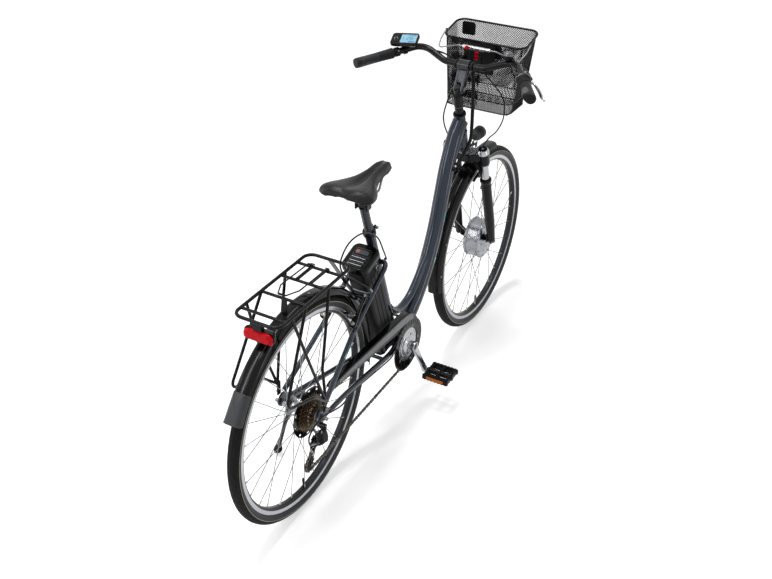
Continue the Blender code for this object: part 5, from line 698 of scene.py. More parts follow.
def chain_runs(swing):
    """The loop as arcs and straights: (teeth or 0, centre or start, angle or end, turned angle or length)."""
    wheels = [(BRACKET, 38, 1), (tension_pulley(swing), 11, 1), (GUIDE_PULLEY, 11, -1),
              (REAR_AXLE, CASSETTE[4], 1)]
    leaves, arrives = {}, {}
    for i in range(4):
        (here, teeth, way), (there, others, far) = wheels[i], wheels[(i + 1) % 4]
        between = flat(there) - flat(here)
        spread = way * pitch_radius(teeth) - far * pitch_radius(others)
        leave = math.atan2(between.y, between.x) - math.acos(spread / between.length)
        leaves[i] = leave if way > 0 else leave + math.pi
        arrives[(i + 1) % 4] = leave if far > 0 else leave + math.pi
    runs = []
    for i in range(4):
        centre, teeth, way = wheels[i]
        runs.append((teeth, flat(centre), arrives[i], (leaves[i] - arrives[i]) * way % (2 * math.pi) * way))
        start = flat(centre) + Vector((math.cos(leaves[i]), math.sin(leaves[i]))) * pitch_radius(teeth)
        after, others, _ = wheels[(i + 1) % 4]
        angle = arrives[(i + 1) % 4]
        end = flat(after) + Vector((math.cos(angle), math.sin(angle))) * pitch_radius(others)
        runs.append((0, start, end, (end - start).length))
    return runs


def run_pitches(run):
    return abs(run[3]) * run[0] / (2 * math.pi) if run[0] else run[3] / PITCH


def chain_pins():
    """The rollers' centres round the loop, and each wheel's angle at one of them."""
    def length(swing):
        return sum(run_pitches(run) for run in chain_runs(swing))

    low, high = math.radians(-5.0), math.radians(40.0)
    wanted = 2 * round(length((low + high) / 2) / 2)
    for _ in range(60):
        swing = (low + high) / 2
        if (length(swing) < wanted) == (length(low) < length(high)):
            low = swing
        else:
            high = swing
    pins, phases, passed, number = [], {}, 0.0, 0
    for index, run in enumerate(chain_runs(swing)):
        teeth, first, second, amount = run
        pitches = run_pitches(run)
        while number < wanted and number <= passed + pitches + 1e-9:
            share = (number - passed) / pitches
            if teeth:
                angle = second + amount * share
                phases.setdefault(index // 2, angle)
                pins.append(first + Vector((math.cos(angle), math.sin(angle))) * pitch_radius(teeth))
            else:
                pins.append(first.lerp(second, share))
            number += 1
        passed += pitches
    return swing, pins, phases


def chain(pins):
    """Every link as waisted plates, inside and outside in turn, with a roller and a riveted pin."""
    shape = Shape(CHAIN)
    count = len(pins)
    for i in range(count):
        here, there = pins[i], pins[(i + 1) % count]
        along = (there - here).normalized()
        up = Vector((-along.y, along.x))
        outline = []
        for centre, turn in ((here, math.pi), (there, 0.0)):
            for k in range(-3, 4):
                angle = turn + k * math.radians(29.0)
                outline.append(centre + (along * math.cos(angle) + up * math.sin(angle)) * 0.0042)
            outline.append((here + there) / 2 + up * (0.0027 if turn == 0.0 else -0.0027))
        near, far = (0.00175, 0.00245) if i % 2 else (0.0025, 0.00325)
        for side in (1, -1):
            shape.loft([[Vector((-CHAIN_LINE + side * x, p.x, p.y)) for p in outline] for x in (near, far)],
                       CHAIN if i % 2 else DARK_STEEL_AND_GAP_SHADE)
        pin = axes_at((-CHAIN_LINE, here.x, here.y), LEFT)
        shape.prism(circle(0.0037, 10), pin, -0.00170, 0.00170, CHAIN, 0.0)
        shape.lathe([(0.0, -0.0039), (0.0014, -0.0039), (0.0019, -0.0034), (0.0019, 0.0034), (0.0014, 0.0039),
                     (0.0, 0.0039)], pin, STEEL, 8)
    return shape.piece("chain_links", "frame", "chain", "chain", weighted=False)


def toothed(teeth, phase, tip=0.0037, root=0.0040):
    """Rollers sit in the rounded gaps, one of which lies at phase. The teeth are narrow and flat-topped."""
    points = []
    step = 2 * math.pi / teeth
    for i in range(teeth):
        for turn, rise in ((-0.25, -0.0022), (-0.12, -root + 0.0004), (0.0, -root), (0.12, -root + 0.0004),
                           (0.25, -0.0022), (0.36, 0.0012), (0.44, tip), (0.56, tip), (0.64, 0.0012)):
            angle = phase - math.pi / 2 + (i + turn) * step
            size = pitch_radius(teeth) + rise
            points.append((size * math.cos(angle), size * math.sin(angle)))
    return points


def sprockets(phase, body):
    shape = Shape(BRONZE)
    place = across(REAR_AXLE)
    for i, teeth in enumerate(CASSETTE):
        middle = -CHAIN_LINE + 0.005 * 4 - 0.005 * i
        shape.prism(toothed(teeth, phase), place, middle - 0.00095, middle + 0.00095, bevel=0.0)
        # A dark disc over each sprocket's web fills the gap to the next one. It is painted shade between the
        # sprockets, leaving only the teeth bright.
        lip = pitch_radius(teeth) - 0.0085
        shape.lathe([(0.0155, middle - 0.0026), (lip - 0.001, middle - 0.0026), (lip, middle - 0.0020),
                     (lip, middle + 0.0020), (0.0155, middle + 0.0020)], place, DARK_STEEL_AND_GAP_SHADE, 40)
    low, high = -CHAIN_LINE - 0.012, -CHAIN_LINE + 0.0206
    shape.lathe([(0.0155, low), (0.0205, low), (0.0215, low + 0.001), (0.0215, high), (0.0155, high)], place,
                STEEL, 40)
    for i in range(12):
        angle = 2 * math.pi * i / 12
        shape.block((0.0035, 0.003, 0.0016), place @ Matrix.Rotation(angle, 4, "Z") @ at(0.0172, 0.0, low),
                    STEEL)
    return shape.piece("sprocket_cluster", body, "sprockets", "sprockets", weighted=False)


def chainring(phase, body):
    """Toothed steel ring under a moulded guard with a rolled edge and a row of slots."""
    shape = Shape(GLOSS)
    place = across(BRACKET)
    middle = -CHAIN_LINE
    ring = toothed(38, phase)
    shape.prism(ring, place, middle - 0.00095, middle + 0.00095, BRONZE, 0.0)
    shape.lathe([(0.058, middle - 0.0012), (0.067, middle - 0.0012), (0.067, middle - 0.006),
                 (0.058, middle - 0.006)], place, MATT, 60)
    guard = [(0.0580, -0.0060), (0.0640, -0.0072), (0.0700, -0.0078), (0.0880, -0.0076), (0.0915, -0.0078),
             (0.0935, -0.0070), (0.0935, -0.0056), (0.0915, -0.0052), (0.0660, -0.0052), (0.0580, -0.0050)]
    shape.lathe([(r, middle + x) for r, x in guard], place, GLOSS, 96)
    for i in range(5):
        angle = 2 * math.pi * (i + 0.3) / 5
        turn = place @ Matrix.Rotation(angle, 4, "Z") @ at(0.0655, 0.0, middle - 0.0070)
        shape.lathe([(0.0, 0.0), (0.0040, 0.0), (0.0040, -0.0010), (0.0032, -0.0018), (0.0, -0.0018)], turn,
                    STEEL, 14)
    for i in range(30):
        turn = place @ Matrix.Rotation(2 * math.pi * i / 30, 4, "Z") @ at(0.0800, 0.0, middle - 0.0079)
        shape.block((0.0150, 0.0022, 0.0009), turn, GLOSS, 0.0003)
    return shape.piece("chainring_and_guard", body, "chainring", "black_plastic")


def pulley(name, node, centre, phase, body):
    shape = Shape(MATT)
    place = across(centre - LEFT * CHAIN_LINE)
    shape.prism(toothed(11, phase, 0.0034, 0.0041), place, -0.0011, 0.0011, MATT, 0.0002)
    shape.lathe([(0.0031, -0.0035), (0.0070, -0.0035), (0.0080, -0.0028), (0.0080, 0.0028), (0.0070, 0.0035),
                 (0.0031, 0.0035)], place, STEEL, 24)
    return shape.piece(name, body, node, "black_plastic")


def derailleur(swing):
    """Hanger bolt, parallelogram with its spring, adjusting screws and a cut-out cage."""
    shape = Shape(BLACK)
    guide, tension = GUIDE_PULLEY, tension_pulley(swing)
    for x in (-CHAIN_LINE + 0.0042, -CHAIN_LINE - 0.0058):
        place = axes_at(Vector((x, guide.y, guide.z)), LEFT, tension - guide)
        for outline in ([(-0.012, -0.009), (0.004, -0.0088), (0.020, -0.0068), (CAGE - 0.012, -0.0066),
                         (CAGE + 0.008, -0.008), (CAGE + 0.011, -0.004), (CAGE + 0.006, -0.0025),
                         (0.006, -0.0025), (-0.010, -0.004)],
                        [(-0.012, 0.009), (0.004, 0.0088), (0.020, 0.0068), (CAGE - 0.012, 0.0066),
                         (CAGE + 0.008, 0.008), (CAGE + 0.011, 0.004), (CAGE + 0.006, 0.0025),
                         (0.006, 0.0025), (-0.010, 0.004)],
                        [(-0.013, -0.009), (-0.004, -0.009), (-0.004, 0.009), (-0.013, 0.009)],
                        [(0.020, -0.006), (0.028, -0.006), (0.028, 0.006), (0.020, 0.006)],
                        [(CAGE - 0.012, -0.006), (CAGE + 0.004, -0.006), (CAGE + 0.004, 0.006),
                         (CAGE - 0.012, 0.006)]):
            shape.prism(outline, place, 0.0, 0.0016, BLACK, 0.0003)
    for centre in (guide, tension):
        shape.rod(across(centre), 0.0028, -CHAIN_LINE - 0.0062, -CHAIN_LINE + 0.0062, STEEL, 14)
        shape.hexagon(across(centre), 0.0045, -CHAIN_LINE - 0.0082, -CHAIN_LINE - 0.0058, STEEL)
    knuckle, hanger = Vector((-0.0885, 0.632, 0.299)), Vector((-0.0795, 0.618, 0.330))
    shape.tube(smooth([Vector((-CHAIN_LINE - 0.0110, guide.y, guide.z)), Vector((-0.070, 0.622, 0.266)),
                       knuckle - UP * 0.010], 12), [0.0085 + 0.0015 * i / 11 for i in range(12)], BLACK, 16)
    shape.rod(across(guide), 0.0115, -CHAIN_LINE - 0.0160, -CHAIN_LINE - 0.0058, BLACK, 24, 0.0012)
    shape.rod(across(guide), 0.0060, -CHAIN_LINE - 0.0175, -CHAIN_LINE - 0.0155, STEEL, 6)
    place = axes_at(knuckle, hanger - knuckle + UP * 0.006, Vector((0.0, 1.0, 0.0)))
    shape.tapered([(oblong(0.026, 0.022, 0.006), -0.012), (oblong(0.032, 0.026, 0.007), -0.008),
                   (oblong(0.034, 0.022, 0.006), 0.008), (oblong(0.028, 0.020, 0.006), 0.018),
                   (oblong(0.020, 0.016, 0.005), 0.024)], place, BLACK, 0.0012)
    for y in (-0.006, 0.006):
        shape.rod(place @ at(0.0120, y, 0.0), 0.0022, 0.010, 0.0245, STEEL, 12)
        shape.rod(place @ at(-0.0175, y, 0.0) @ Matrix.Rotation(math.pi / 2, 4, "Y"), 0.0024, -0.002, 0.003,
                  STEEL,
                  12)
    spring = [place @ Vector((0.0065 * math.cos(i * 0.9), -0.0135 + 0.0020 * math.sin(i * 0.9),
                              -0.008 + 0.0006 * i))
              for i in range(28)]
    shape.tube(spring, 0.0008, STEEL, 6)
    shape.rod(across(hanger), 0.0095, -0.0112, 0.0058, BLACK, 24, 0.001)
    shape.hexagon(across(hanger), 0.0046, -0.0124, -0.0100, STEEL)
    shape.tube([hanger - LEFT * 0.006, knuckle], 0.0085, BLACK, 16)
    return shape.piece("rear_derailleur", "frame", "derailleur", "black_paint")


def crank_direction(side):
    return Vector((0.0, math.cos(CRANK_ANGLE), math.sin(CRANK_ANGLE))) * side


def pedal_axle(side):
    return BRACKET + crank_direction(side) * CRANK_LENGTH + LEFT * (side * CRANK_OUTSIDE)


def crank(side, body):
    """Forged arm with a waist and a rounded face, square-taper boss with its dust cap, and spider disc."""
    shape = Shape(SILVER_AND_HIGHLIGHT)
    place = axes_at(BRACKET, LEFT * side, crank_direction(side))
    face = CRANK_OUTSIDE - 0.0005
    rings = []
    for s, half, low, high in ((-0.008, 0.0120, 0.0145, 0.0005), (0.010, 0.0142, 0.0160, 0.0),
                               (0.030, 0.0128, 0.0140, 0.0),
                               (0.070, 0.0112, 0.0125, 0.0002), (0.120, 0.0102, 0.0122, 0.0),
                               (CRANK_LENGTH - 0.014, 0.0108, 0.0130, 0.0),
                               (CRANK_LENGTH - 0.002, 0.0122, 0.0135, 0.0),
                               (CRANK_LENGTH + 0.008, 0.0092, 0.0132, 0.0003),
                               (CRANK_LENGTH + 0.0125, 0.0040, 0.0120, 0.0012)):
        section = oblong(2 * half, low - high, 0.0042, 4)
        middle = face - (low + high) / 2
        rings.append([place @ Vector((s, x, middle + z)) for x, z in section])
    shape.loft(rings, SILVER_AND_HIGHLIGHT)
    shape.lathe([(0.0, 0.044), (0.0145, 0.044), (0.0162, 0.047), (0.0165, face - 0.003),
                 (0.0158, face + 0.0006),
                 (0.0125, face + 0.001), (0.0118, face - 0.0008), (0.0, face - 0.0010)], place, SILVER_AND_HIGHLIGHT, 40)
    shape.lathe([(0.0, face - 0.002), (0.0108, face - 0.002), (0.0106, face + 0.0004), (0.0, face + 0.0012)],
                place,
                DARK_GREY_AND_SHEEN, 28)
    shape.hexagon(place, 0.0040, face, face + 0.0018, JACKET)
    pin = axes_at(pedal_axle(side), LEFT * side)
    shape.rod(pin, 0.0045, -0.008, 0.0864, STEEL, 18)
    shape.rod(pin, 0.0066, 0.0008, 0.0048, STEEL, 8)
    if side < 0:
        disc = [(0.0092, 0.0012), (0.0560, 0.0012), (0.0575, 0.0018), (0.0575, 0.0050), (0.0562, 0.0056),
                (0.0520, 0.0056), (0.0508, 0.0048), (0.0440, 0.0048), (0.0425, 0.0060), (0.0400, 0.0060),
                (0.0385, 0.0050), (0.0290, 0.0052), (0.0260, 0.0085), (0.0180, 0.0130), (0.0092, 0.0140)]
        shape.lathe([(r, -CHAIN_LINE - x) for r, x in disc], across(BRACKET), SILVER_AND_HIGHLIGHT, 72)
        for i in range(5):
            turn = across(BRACKET) @ Matrix.Rotation(2 * math.pi * (i + 0.5) / 5, 4, "Z")
            shape.rod(turn @ at(0.0340, 0.0, 0.0), 0.0036, -CHAIN_LINE - 0.0062, -CHAIN_LINE - 0.0045, STEEL,
                      14)
    else:
        shape.rod(across(BRACKET), 0.0085, -0.0710, 0.060, STEEL, 28)
    name = "left" if side > 0 else "right"
    return shape.piece("crank_arm_" + name, body, "crank_" + name, "crank")


def pedal(name, side, body):
    """Moulded cage with a raised tread, windows either side of the barrel, and amber reflectors."""
    shape = Shape(MATT)
    centre = pedal_axle(side)
    place = axes_at(centre, UP, LEFT * side)
    start, long, wide = 0.0050, 0.096, 0.088
    middle = start + long / 2
    shape.lathe([(0.0049, start), (0.0098, start), (0.0108, start + 0.003), (0.0100, start + 0.020),
                 (0.0094, middle), (0.0100, start + long - 0.014), (0.0104, start + long - 0.001),
                 (0.0049, start + long)],
                axes_at(centre, LEFT * side), MATT, 28)
    shape.lathe([(0.0, start + long - 0.004), (0.0082, start + long - 0.004), (0.0078, start + long + 0.0004),
                 (0.0, start + long + 0.001)], axes_at(centre, LEFT * side), DARK_GREY_AND_SHEEN, 24)
    for y in (-1, 1):
        bar_y = y * (wide / 2 - 0.0048)
        shape.prism([(x + middle, z) for x, z in oblong(long, 0.0090, 0.0040, 4)],
                    place @ at(0.0, bar_y, 0.0),
                    -0.0088, 0.0088, MATT, 0.0014)
        for k in range(7):
            x = middle - 0.039 + 0.013 * k
            for flip in (1, -1):
                shape.block((0.0050, 0.0060, 0.0030), place @ at(x, bar_y, flip * 0.0098), MATT, 0.0010)
        shape.block((0.0620, 0.0020, 0.0118), place @ at(middle, y * (wide / 2 - 0.0004), 0.0), AMBER, 0.0007)
        for flip in (1, -1):
            shape.block((0.0660, 0.0014, 0.0016), place @ at(middle, y * (wide / 2 - 0.0004), flip * 0.0070),
                        MATT,
                        0.0004)
    for x in (middle - 0.040, middle + 0.040, middle):
        shape.block((0.0096, wide - 0.012, 0.0200), place @ at(x, 0.0, 0.0), MATT, 0.0022)
        for k in range(5):
            for flip in (1, -1):
                shape.block((0.0090, 0.0034, 0.0024), place @ at(x, -0.026 + 0.013 * k, flip * 0.0106), GRIP,
                            0.0008)
    for y in (-0.0245, 0.0245):
        shape.block((0.0860, 0.0034, 0.0120), place @ at(middle, y, 0.0), MATT, 0.0010)
    return shape.piece("platform_" + name, body, name, "black_plastic")


# Frame

def patch(shape, points, inner, outer, low, high, material, steps=10):
    """A thin shell lying on a tube, over the arc from low to high counted from the tube's right side."""
    rings = []
    for i, point in enumerate(points):
        ahead = (points[min(i + 1, len(points) - 1)] - points[max(i - 1, 0)]).normalized()
        side = (-LEFT + ahead * ahead.x).normalized()
        front = side.cross(ahead)
        turns = [low + (high - low) * k / steps for k in range(steps + 1)]
        ring = [point + (side * math.cos(a) + front * math.sin(a)) * outer for a in turns]
        ring += [point + (side * math.cos(a) + front * math.sin(a)) * inner for a in reversed(turns)]
        rings.append(ring)
    shape.loft(rings, material)


def bead(shape, place, radius, size=0.0022, wave=26):
    """A weld's rippled ring about the z axis of place."""
    path = []
    for i in range(wave * 3):
        angle = 2 * math.pi * i / (wave * 3)
        path.append(place @ Vector((radius * math.cos(angle), radius * math.sin(angle), 0.0)))
    sizes = [size * (1.0 if i % 3 else 0.8) for i in range(wave * 3)]
    shape.tube(path, sizes, PAINT, 8, closed=True)


def grommet(shape, point, ahead, radius):
    shape.lathe([(radius * 0.7, -0.004), (radius * 1.5, -0.004), (radius * 1.8, 0.0005),
                 (radius * 1.5, 0.003),
                 (radius * 0.7, 0.0045)], axes_at(point, ahead), MATT, 20)


DOWN_TUBE = [on_steering(0.585), Vector((0, -0.350, 0.852)), Vector((0, -0.303, 0.765)),
             Vector((0, -0.270, 0.670)),
             Vector((0, -0.240, 0.580)), Vector((0, -0.198, 0.488)), Vector((0, -0.145, 0.405)),
             Vector((0, -0.080, 0.335)), Vector((0, -0.018, 0.292)), BRACKET]


def main_frame():
    shape = Shape(PAINT)
    down = smooth(DOWN_TUBE, 72)
    shape.tube(down, 0.0265, PAINT, 44)
    brace = smooth([(0, -0.205, 0.500), (0, -0.165, 0.470), (0, -0.097, 0.409), (0, -0.049, 0.379),
                    (0, 0.007, 0.371), (0, 0.055, 0.388), on_seat_tube(0.175)], 36)
    shape.tube(brace, 0.0135, PAINT, 28)
    seat = axes_at(BRACKET, SEAT_AXIS, LEFT)
    bore = 0.0139
    shape.lathe([(bore, 0.02), (0.0163, 0.02), (0.0165, 0.030), (0.0165, SEAT_TUBE - 0.0165),
                 (0.0162, SEAT_TUBE - 0.016), (0.0162, SEAT_TUBE - 0.001), (0.0158, SEAT_TUBE),
                 (bore, SEAT_TUBE)],
                seat, PAINT, 44)
    head = axes_at(on_steering(0.0), STEER_AXIS, LEFT)
    tube = [(0.0160, 0.4640), (0.0214, 0.4640), (0.0220, 0.4646), (0.0220, 0.4755), (0.0214, 0.4765),
            (0.0190, 0.4790), (0.0185, 0.4810), (0.0185, 0.6075), (0.0190, 0.6095), (0.0214, 0.6120),
            (0.0220, 0.6130), (0.0220, 0.6160), (0.0160, 0.6160)]
    shape.lathe(tube, head, PAINT, 44)
    shape.lathe([(0.0160, 0.6163), (0.0216, 0.6163), (0.0219, 0.6175), (0.0214, 0.6195), (0.0185, 0.6205),
                 (0.0160, 0.6205)], head, BLACK, 44)
    shape.lathe([(0.0150, 0.0335), (0.0218, 0.0340), (0.0232, 0.0330), (0.0235, 0.0310), (0.0235, -0.0310),
                 (0.0232, -0.0330), (0.0218, -0.0340), (0.0150, -0.0335)], across(BRACKET), PAINT, 44)
    for side in (1, -1):
        cup = axes_at(BRACKET, LEFT * side)
        shape.lathe([(0.0090, 0.0335), (0.0200, 0.0335), (0.0206, 0.0345), (0.0204, 0.0385), (0.0195, 0.0395),
                     (0.0115, 0.0400), (0.0090, 0.0395)], cup, DARK_GREY_AND_SHEEN, 36)
        for i in range(12):
            turn = cup @ Matrix.Rotation(2 * math.pi * i / 12, 4, "Z") @ at(0.0202, 0.0, 0.0368)
            shape.block((0.0018, 0.0042, 0.0042), turn, DARK_GREY_AND_SHEEN, 0.0004)
    bead(shape, axes_at(on_steering(0.563, -0.012), down[4] - down[1]), 0.0262, 0.0026, 30)
    bead(shape, axes_at(BRACKET + (down[-5] - BRACKET).normalized() * 0.020, down[-5] - BRACKET), 0.0264,
         0.0022, 30)
    bead(shape, axes_at(brace[2], brace[3] - brace[1]), 0.0140, 0.0018, 20)
    bead(shape, axes_at(brace[-3], brace[-1] - brace[-4]), 0.0140, 0.0018, 20)
    bead(shape, axes_at(on_seat_tube(0.0235), SEAT_AXIS), 0.0168, 0.0018, 22)
    patch(shape, down[28:32], 0.0262, 0.0268, -0.30, 0.50, TEAL)
    patch(shape, down[42:45], 0.0262, 0.0268, -0.10, 0.60, MINT)
    grommet(shape, (-0.0256, -0.300, 0.7600), (-0.35, -0.80, 0.55), 0.0062)
    grommet(shape, (-0.0175, 0.145, 0.6330), (-0.80, 0.2, 0.55), CABLE)
    grommet(shape, (-0.0240, 0.083, 0.2482), (-0.75, 0.6, 0.12), 0.0024)
    return shape.piece("frame_tubes", "frame", "main_frame", "frame_paint")


def dropout(shape, outline, x):
    place = across(REAR_AXLE) @ at(0.0, 0.0, x)
    shape.prism(outline, place, -0.003, 0.003, PAINT, 0.0009)
    shape.lathe([(0.0052, -0.0034), (0.0135, -0.0034), (0.0138, 0.0034), (0.0052, 0.0034)], place, PAINT, 32)


def chain_stays():
    shape = Shape(PAINT)
    for side in (1, -1):
        path = smooth([(side * 0.020, 0.065, 0.270), (side * 0.036, 0.135, 0.277),
                       (side * 0.046, 0.275, 0.299),
                       (side * 0.058, 0.445, 0.327), (side * 0.0705, 0.569, 0.346)], 34)
        shape.tube(path, [0.0085] * 30 + [0.0083, 0.0080, 0.0074, 0.0066], PAINT, 26)
        bead(shape, axes_at(path[1], path[2] - path[0]), 0.0089, 0.0014, 14)
        front = [(0.030, 0.006), (0.026, 0.020), (0.004, 0.044), (-0.010, 0.044), (-0.012, 0.012)]
        tail = [(-0.013, -0.004)] if side > 0 else [(-0.024, -0.003), (-0.029, -0.012), (-0.019, -0.023)]
        dropout(shape, front + tail + [(0.0, -0.016), (0.014, -0.015), (0.024, -0.008)], side * 0.0705)
    shape.tube([(-0.038, 0.170, 0.273), (0.038, 0.170, 0.273)], 0.0065, PAINT, 20)
    shape.tube([(0.0625, 0.5, 0.334), (0.0650, 0.5, 0.310), (0.0656, 0.5, 0.304)], [0.0075, 0.0075, 0.0066],
               PAINT, 20)
    lug = axes_at(KICKSTAND_HINGE, KICKSTAND_AXIS)
    shape.rod(lug, 0.010, -0.0170, -0.0081, PAINT, 28, 0.0008)
    for y, x, z in ((0.215, -0.0408, 0.2968), (0.345, -0.0515, 0.3180), (0.455, -0.0600, 0.3352)):
        shape.block((0.006, 0.012, 0.0050), at(x - 0.003, y, z), PAINT, 0.0014)
    return shape.piece("lower_stays", "frame", "chain_stays", "frame_paint")


def seat_stay_path(side):
    return rounded([(side * 0.0695, 0.591, 0.383), (side * 0.0665, 0.555, 0.407),
                    (side * 0.052, 0.404, 0.510),
                    (side * 0.048, 0.180, 0.655), on_seat_tube(0.386, 0.0, side * 0.008)], [0.06, 0.3, 0.03],
                    12)


def rear_boss(side):
    return (Vector((side * 0.0516, 0.3837, 0.5231)), Vector((0.0, 0.5434, 0.8395)),
            Vector((0.0, -0.8395, 0.5434)))


def brake_boss(shape, foot, out, material):
    place = axes_at(foot, out, LEFT)
    shape.lathe([(0.0, -0.004), (0.0060, -0.004), (0.0072, -0.001), (0.0075, 0.002), (0.0075, 0.0195),
                 (0.0070, 0.0205), (0.0040, 0.0207), (0.0040, 0.0284), (0.0, 0.0286)], place, material, 28)


def seat_stays():
    shape = Shape(PAINT)
    for side in (1, -1):
        path = seat_stay_path(side)
        shape.tube(path, 0.008, PAINT, 26)
        bead(shape, axes_at(path[-1] + (path[-2] - path[-1]).normalized() * 0.011, path[-2] - path[-1]),
             0.0082,
             0.0015, 14)
        foot, out, _ = rear_boss(side)
        brake_boss(shape, foot, out, BLACK)
    right = seat_stay_path(-1)
    low, high = Vector((-0.0580, 0.466, 0.4675)), Vector((-0.0545, 0.430, 0.4920))
    for first, last, colour in ((0.0, 0.36, MINT), (0.40, 1.0, TEAL)):
        nearest = []
        for k in range(4):
            spot = low.lerp(high, first + (last - first) * k / 3)
            nearest.append(min((closest(spot, *pair) for pair in zip(right, right[1:])),
                               key=lambda near: (near - spot).length))
        patch(shape, nearest, 0.0078, 0.0084, -0.5, 0.7, colour, 8)
    bridge = [Vector((side * 0.0505, 0.300, 0.578)) for side in (1, -1)]
    shape.tube([bridge[0], bridge[1]], 0.006, PAINT, 20)
    for side in (1, -1):
        shape.rod(axes_at((side * 0.012, 0.303, 0.574), (0, 0.545, -0.84)), 0.0042, -0.0, 0.0085, STEEL, 12)
    return shape.piece("upper_stays", "frame", "seat_stays", "frame_paint")


def closest(point, start, end):
    along = end - start
    share = max(0.0, min(1.0, (point - start).dot(along) / along.length_squared))
    return start + along * share


def seat_clamp():
    shape = Shape(BLACK)
    place = axes_at(BRACKET, SEAT_AXIS, LEFT)
    shape.lathe([(0.0170, 0.5112), (0.0200, 0.5112), (0.0208, 0.5122), (0.0208, 0.5235), (0.0200, 0.5250),
                 (0.0198, 0.5262), (0.0155, 0.5268), (0.0155, 0.5255), (0.0170, 0.5250)], place, BLACK, 44)
    for side in (1, -1):
        shape.block((0.0070, 0.014, 0.0126), place @ at(side * 0.0058, -0.0240, 0.5185), BLACK, 0.0018)
    bolt = place @ at(0.0, -0.0250, 0.5185) @ Matrix.Rotation(math.pi / 2, 4, "Y")
    shape.rod(bolt, 0.0028, -0.0155, 0.0155, STEEL, 16)
    shape.rod(bolt, 0.0052, -0.0165, -0.0105, STEEL, 22, 0.0006)
    shape.lathe([(0.0, 0.0095), (0.0085, 0.0095), (0.0110, 0.0125), (0.0115, 0.0155), (0.0100, 0.0165),
                 (0.0, 0.0165)],
                bolt, GLOSS, 30)
    return shape.piece("seat_tube_clamp", "frame", "seat_clamp", "black_paint")


# Mudguards, rack and lights

def guard_section():
    wall = 0.0016
    outer = []
    for k in range(19):
        share = k / 18 * 2 - 1
        lift = 0.003 - 0.0042 * share ** 2 - 0.0150 * abs(share) ** 7
        outer.append((0.026 * math.copysign(abs(share) ** 0.92, share), lift))
    inner = [(x * 0.945, z - wall) for x, z in reversed(outer)]
    return outer + inner


def arc_strip(shape, axle, start, end, steps, material, section, radius=GUARD_RADIUS):
    rings = []
    for i in range(steps + 1):
        angle = start + (end - start) * i / steps
        out = Vector((0.0, math.cos(angle), math.sin(angle)))
        rings.append([axle + LEFT * x + out * (radius + z) for x, z in section])
    shape.loft(rings, material)


def rear_mudguard():
    """Domed plastic with rolled sides, a ridge down its back, stay bolts and a rubber flap."""
    shape = Shape(GLOSS)
    arc_strip(shape, REAR_AXLE, math.radians(33.0), math.radians(188.0), 96, GLOSS, guard_section())
    for x in (-0.0095, 0.0095):
        ridge = [(x + 0.0011 * math.cos(a), 0.0022 + 0.0009 * math.sin(a))
                 for a in (2 * math.pi * k / 8 for k in range(8))]
        arc_strip(shape, REAR_AXLE, math.radians(42.0), math.radians(187.0), 96, GLOSS, ridge)
    rings = []
    for i in range(25):
        share = i / 24
        angle = math.radians(40.6 - 13.4 * share)
        out = Vector((0.0, math.cos(angle), math.sin(angle)))
        half = 0.0268 + 0.0022 * share ** 2
        start = 0.62 * (1.0 - share / 0.42) if share < 0.42 else 0.0
        section = []
        for z in (0.0010, -0.0026):
            spread = [k / 10 for k in range(-10, 11)]
            for k in (spread if z > 0 else reversed(spread)):
                droop = -0.0042 * k ** 2 - 0.0140 * abs(k) ** 7
                valley = -0.0016 * max(0.0, start - abs(k)) / 0.62 if z > 0 else 0.0
                flare = 0.0034 * share ** 3
                section.append((half * math.copysign(abs(k) ** 0.92, k), 0.0042 + z + droop + valley + flare))
        rings.append([REAR_AXLE + LEFT * x + out * (GUARD_RADIUS + z) for x, z in section])
    shape.loft(rings, DARK_GREY_AND_SHEEN)
    for side in (1, -1):
        rib = []
        for k in range(9):
            share = k / 8
            angle = math.radians(40.0 - 7.0 * share)
            out = Vector((0.0, math.cos(angle), math.sin(angle)))
            x = side * 0.0150 * (1.0 - share)
            rib.append(REAR_AXLE + LEFT * x + out * (GUARD_RADIUS + 0.0050 - 0.0042 * (x / 0.027) ** 2))
        shape.tube(rib, 0.0011, DARK_GREY_AND_SHEEN, 8)
    low = math.radians(27.3)
    out = Vector((0.0, math.cos(low), math.sin(low)))
    hem = [REAR_AXLE + LEFT * (0.0288 * k / 10) + out * (GUARD_RADIUS + 0.0074 - 0.0042 * (k / 10) ** 2
                                                        - 0.0140 * abs(k / 10) ** 7) for k in range(-10, 11)]
    shape.tube(hem, 0.0018, DARK_GREY_AND_SHEEN, 10)
    for angle in (98.0, 171.0):
        out = Vector((0.0, math.cos(math.radians(angle)), math.sin(math.radians(angle))))
        shape.lathe([(0.0, 0.0015), (0.0050, 0.0015), (0.0042, 0.0042), (0.0, 0.0050)],
                    axes_at(REAR_AXLE + out * GUARD_RADIUS, out), STEEL, 20)
    return shape.piece("rear_guard_shell", "frame", "rear_mudguard", "guard_plastic")


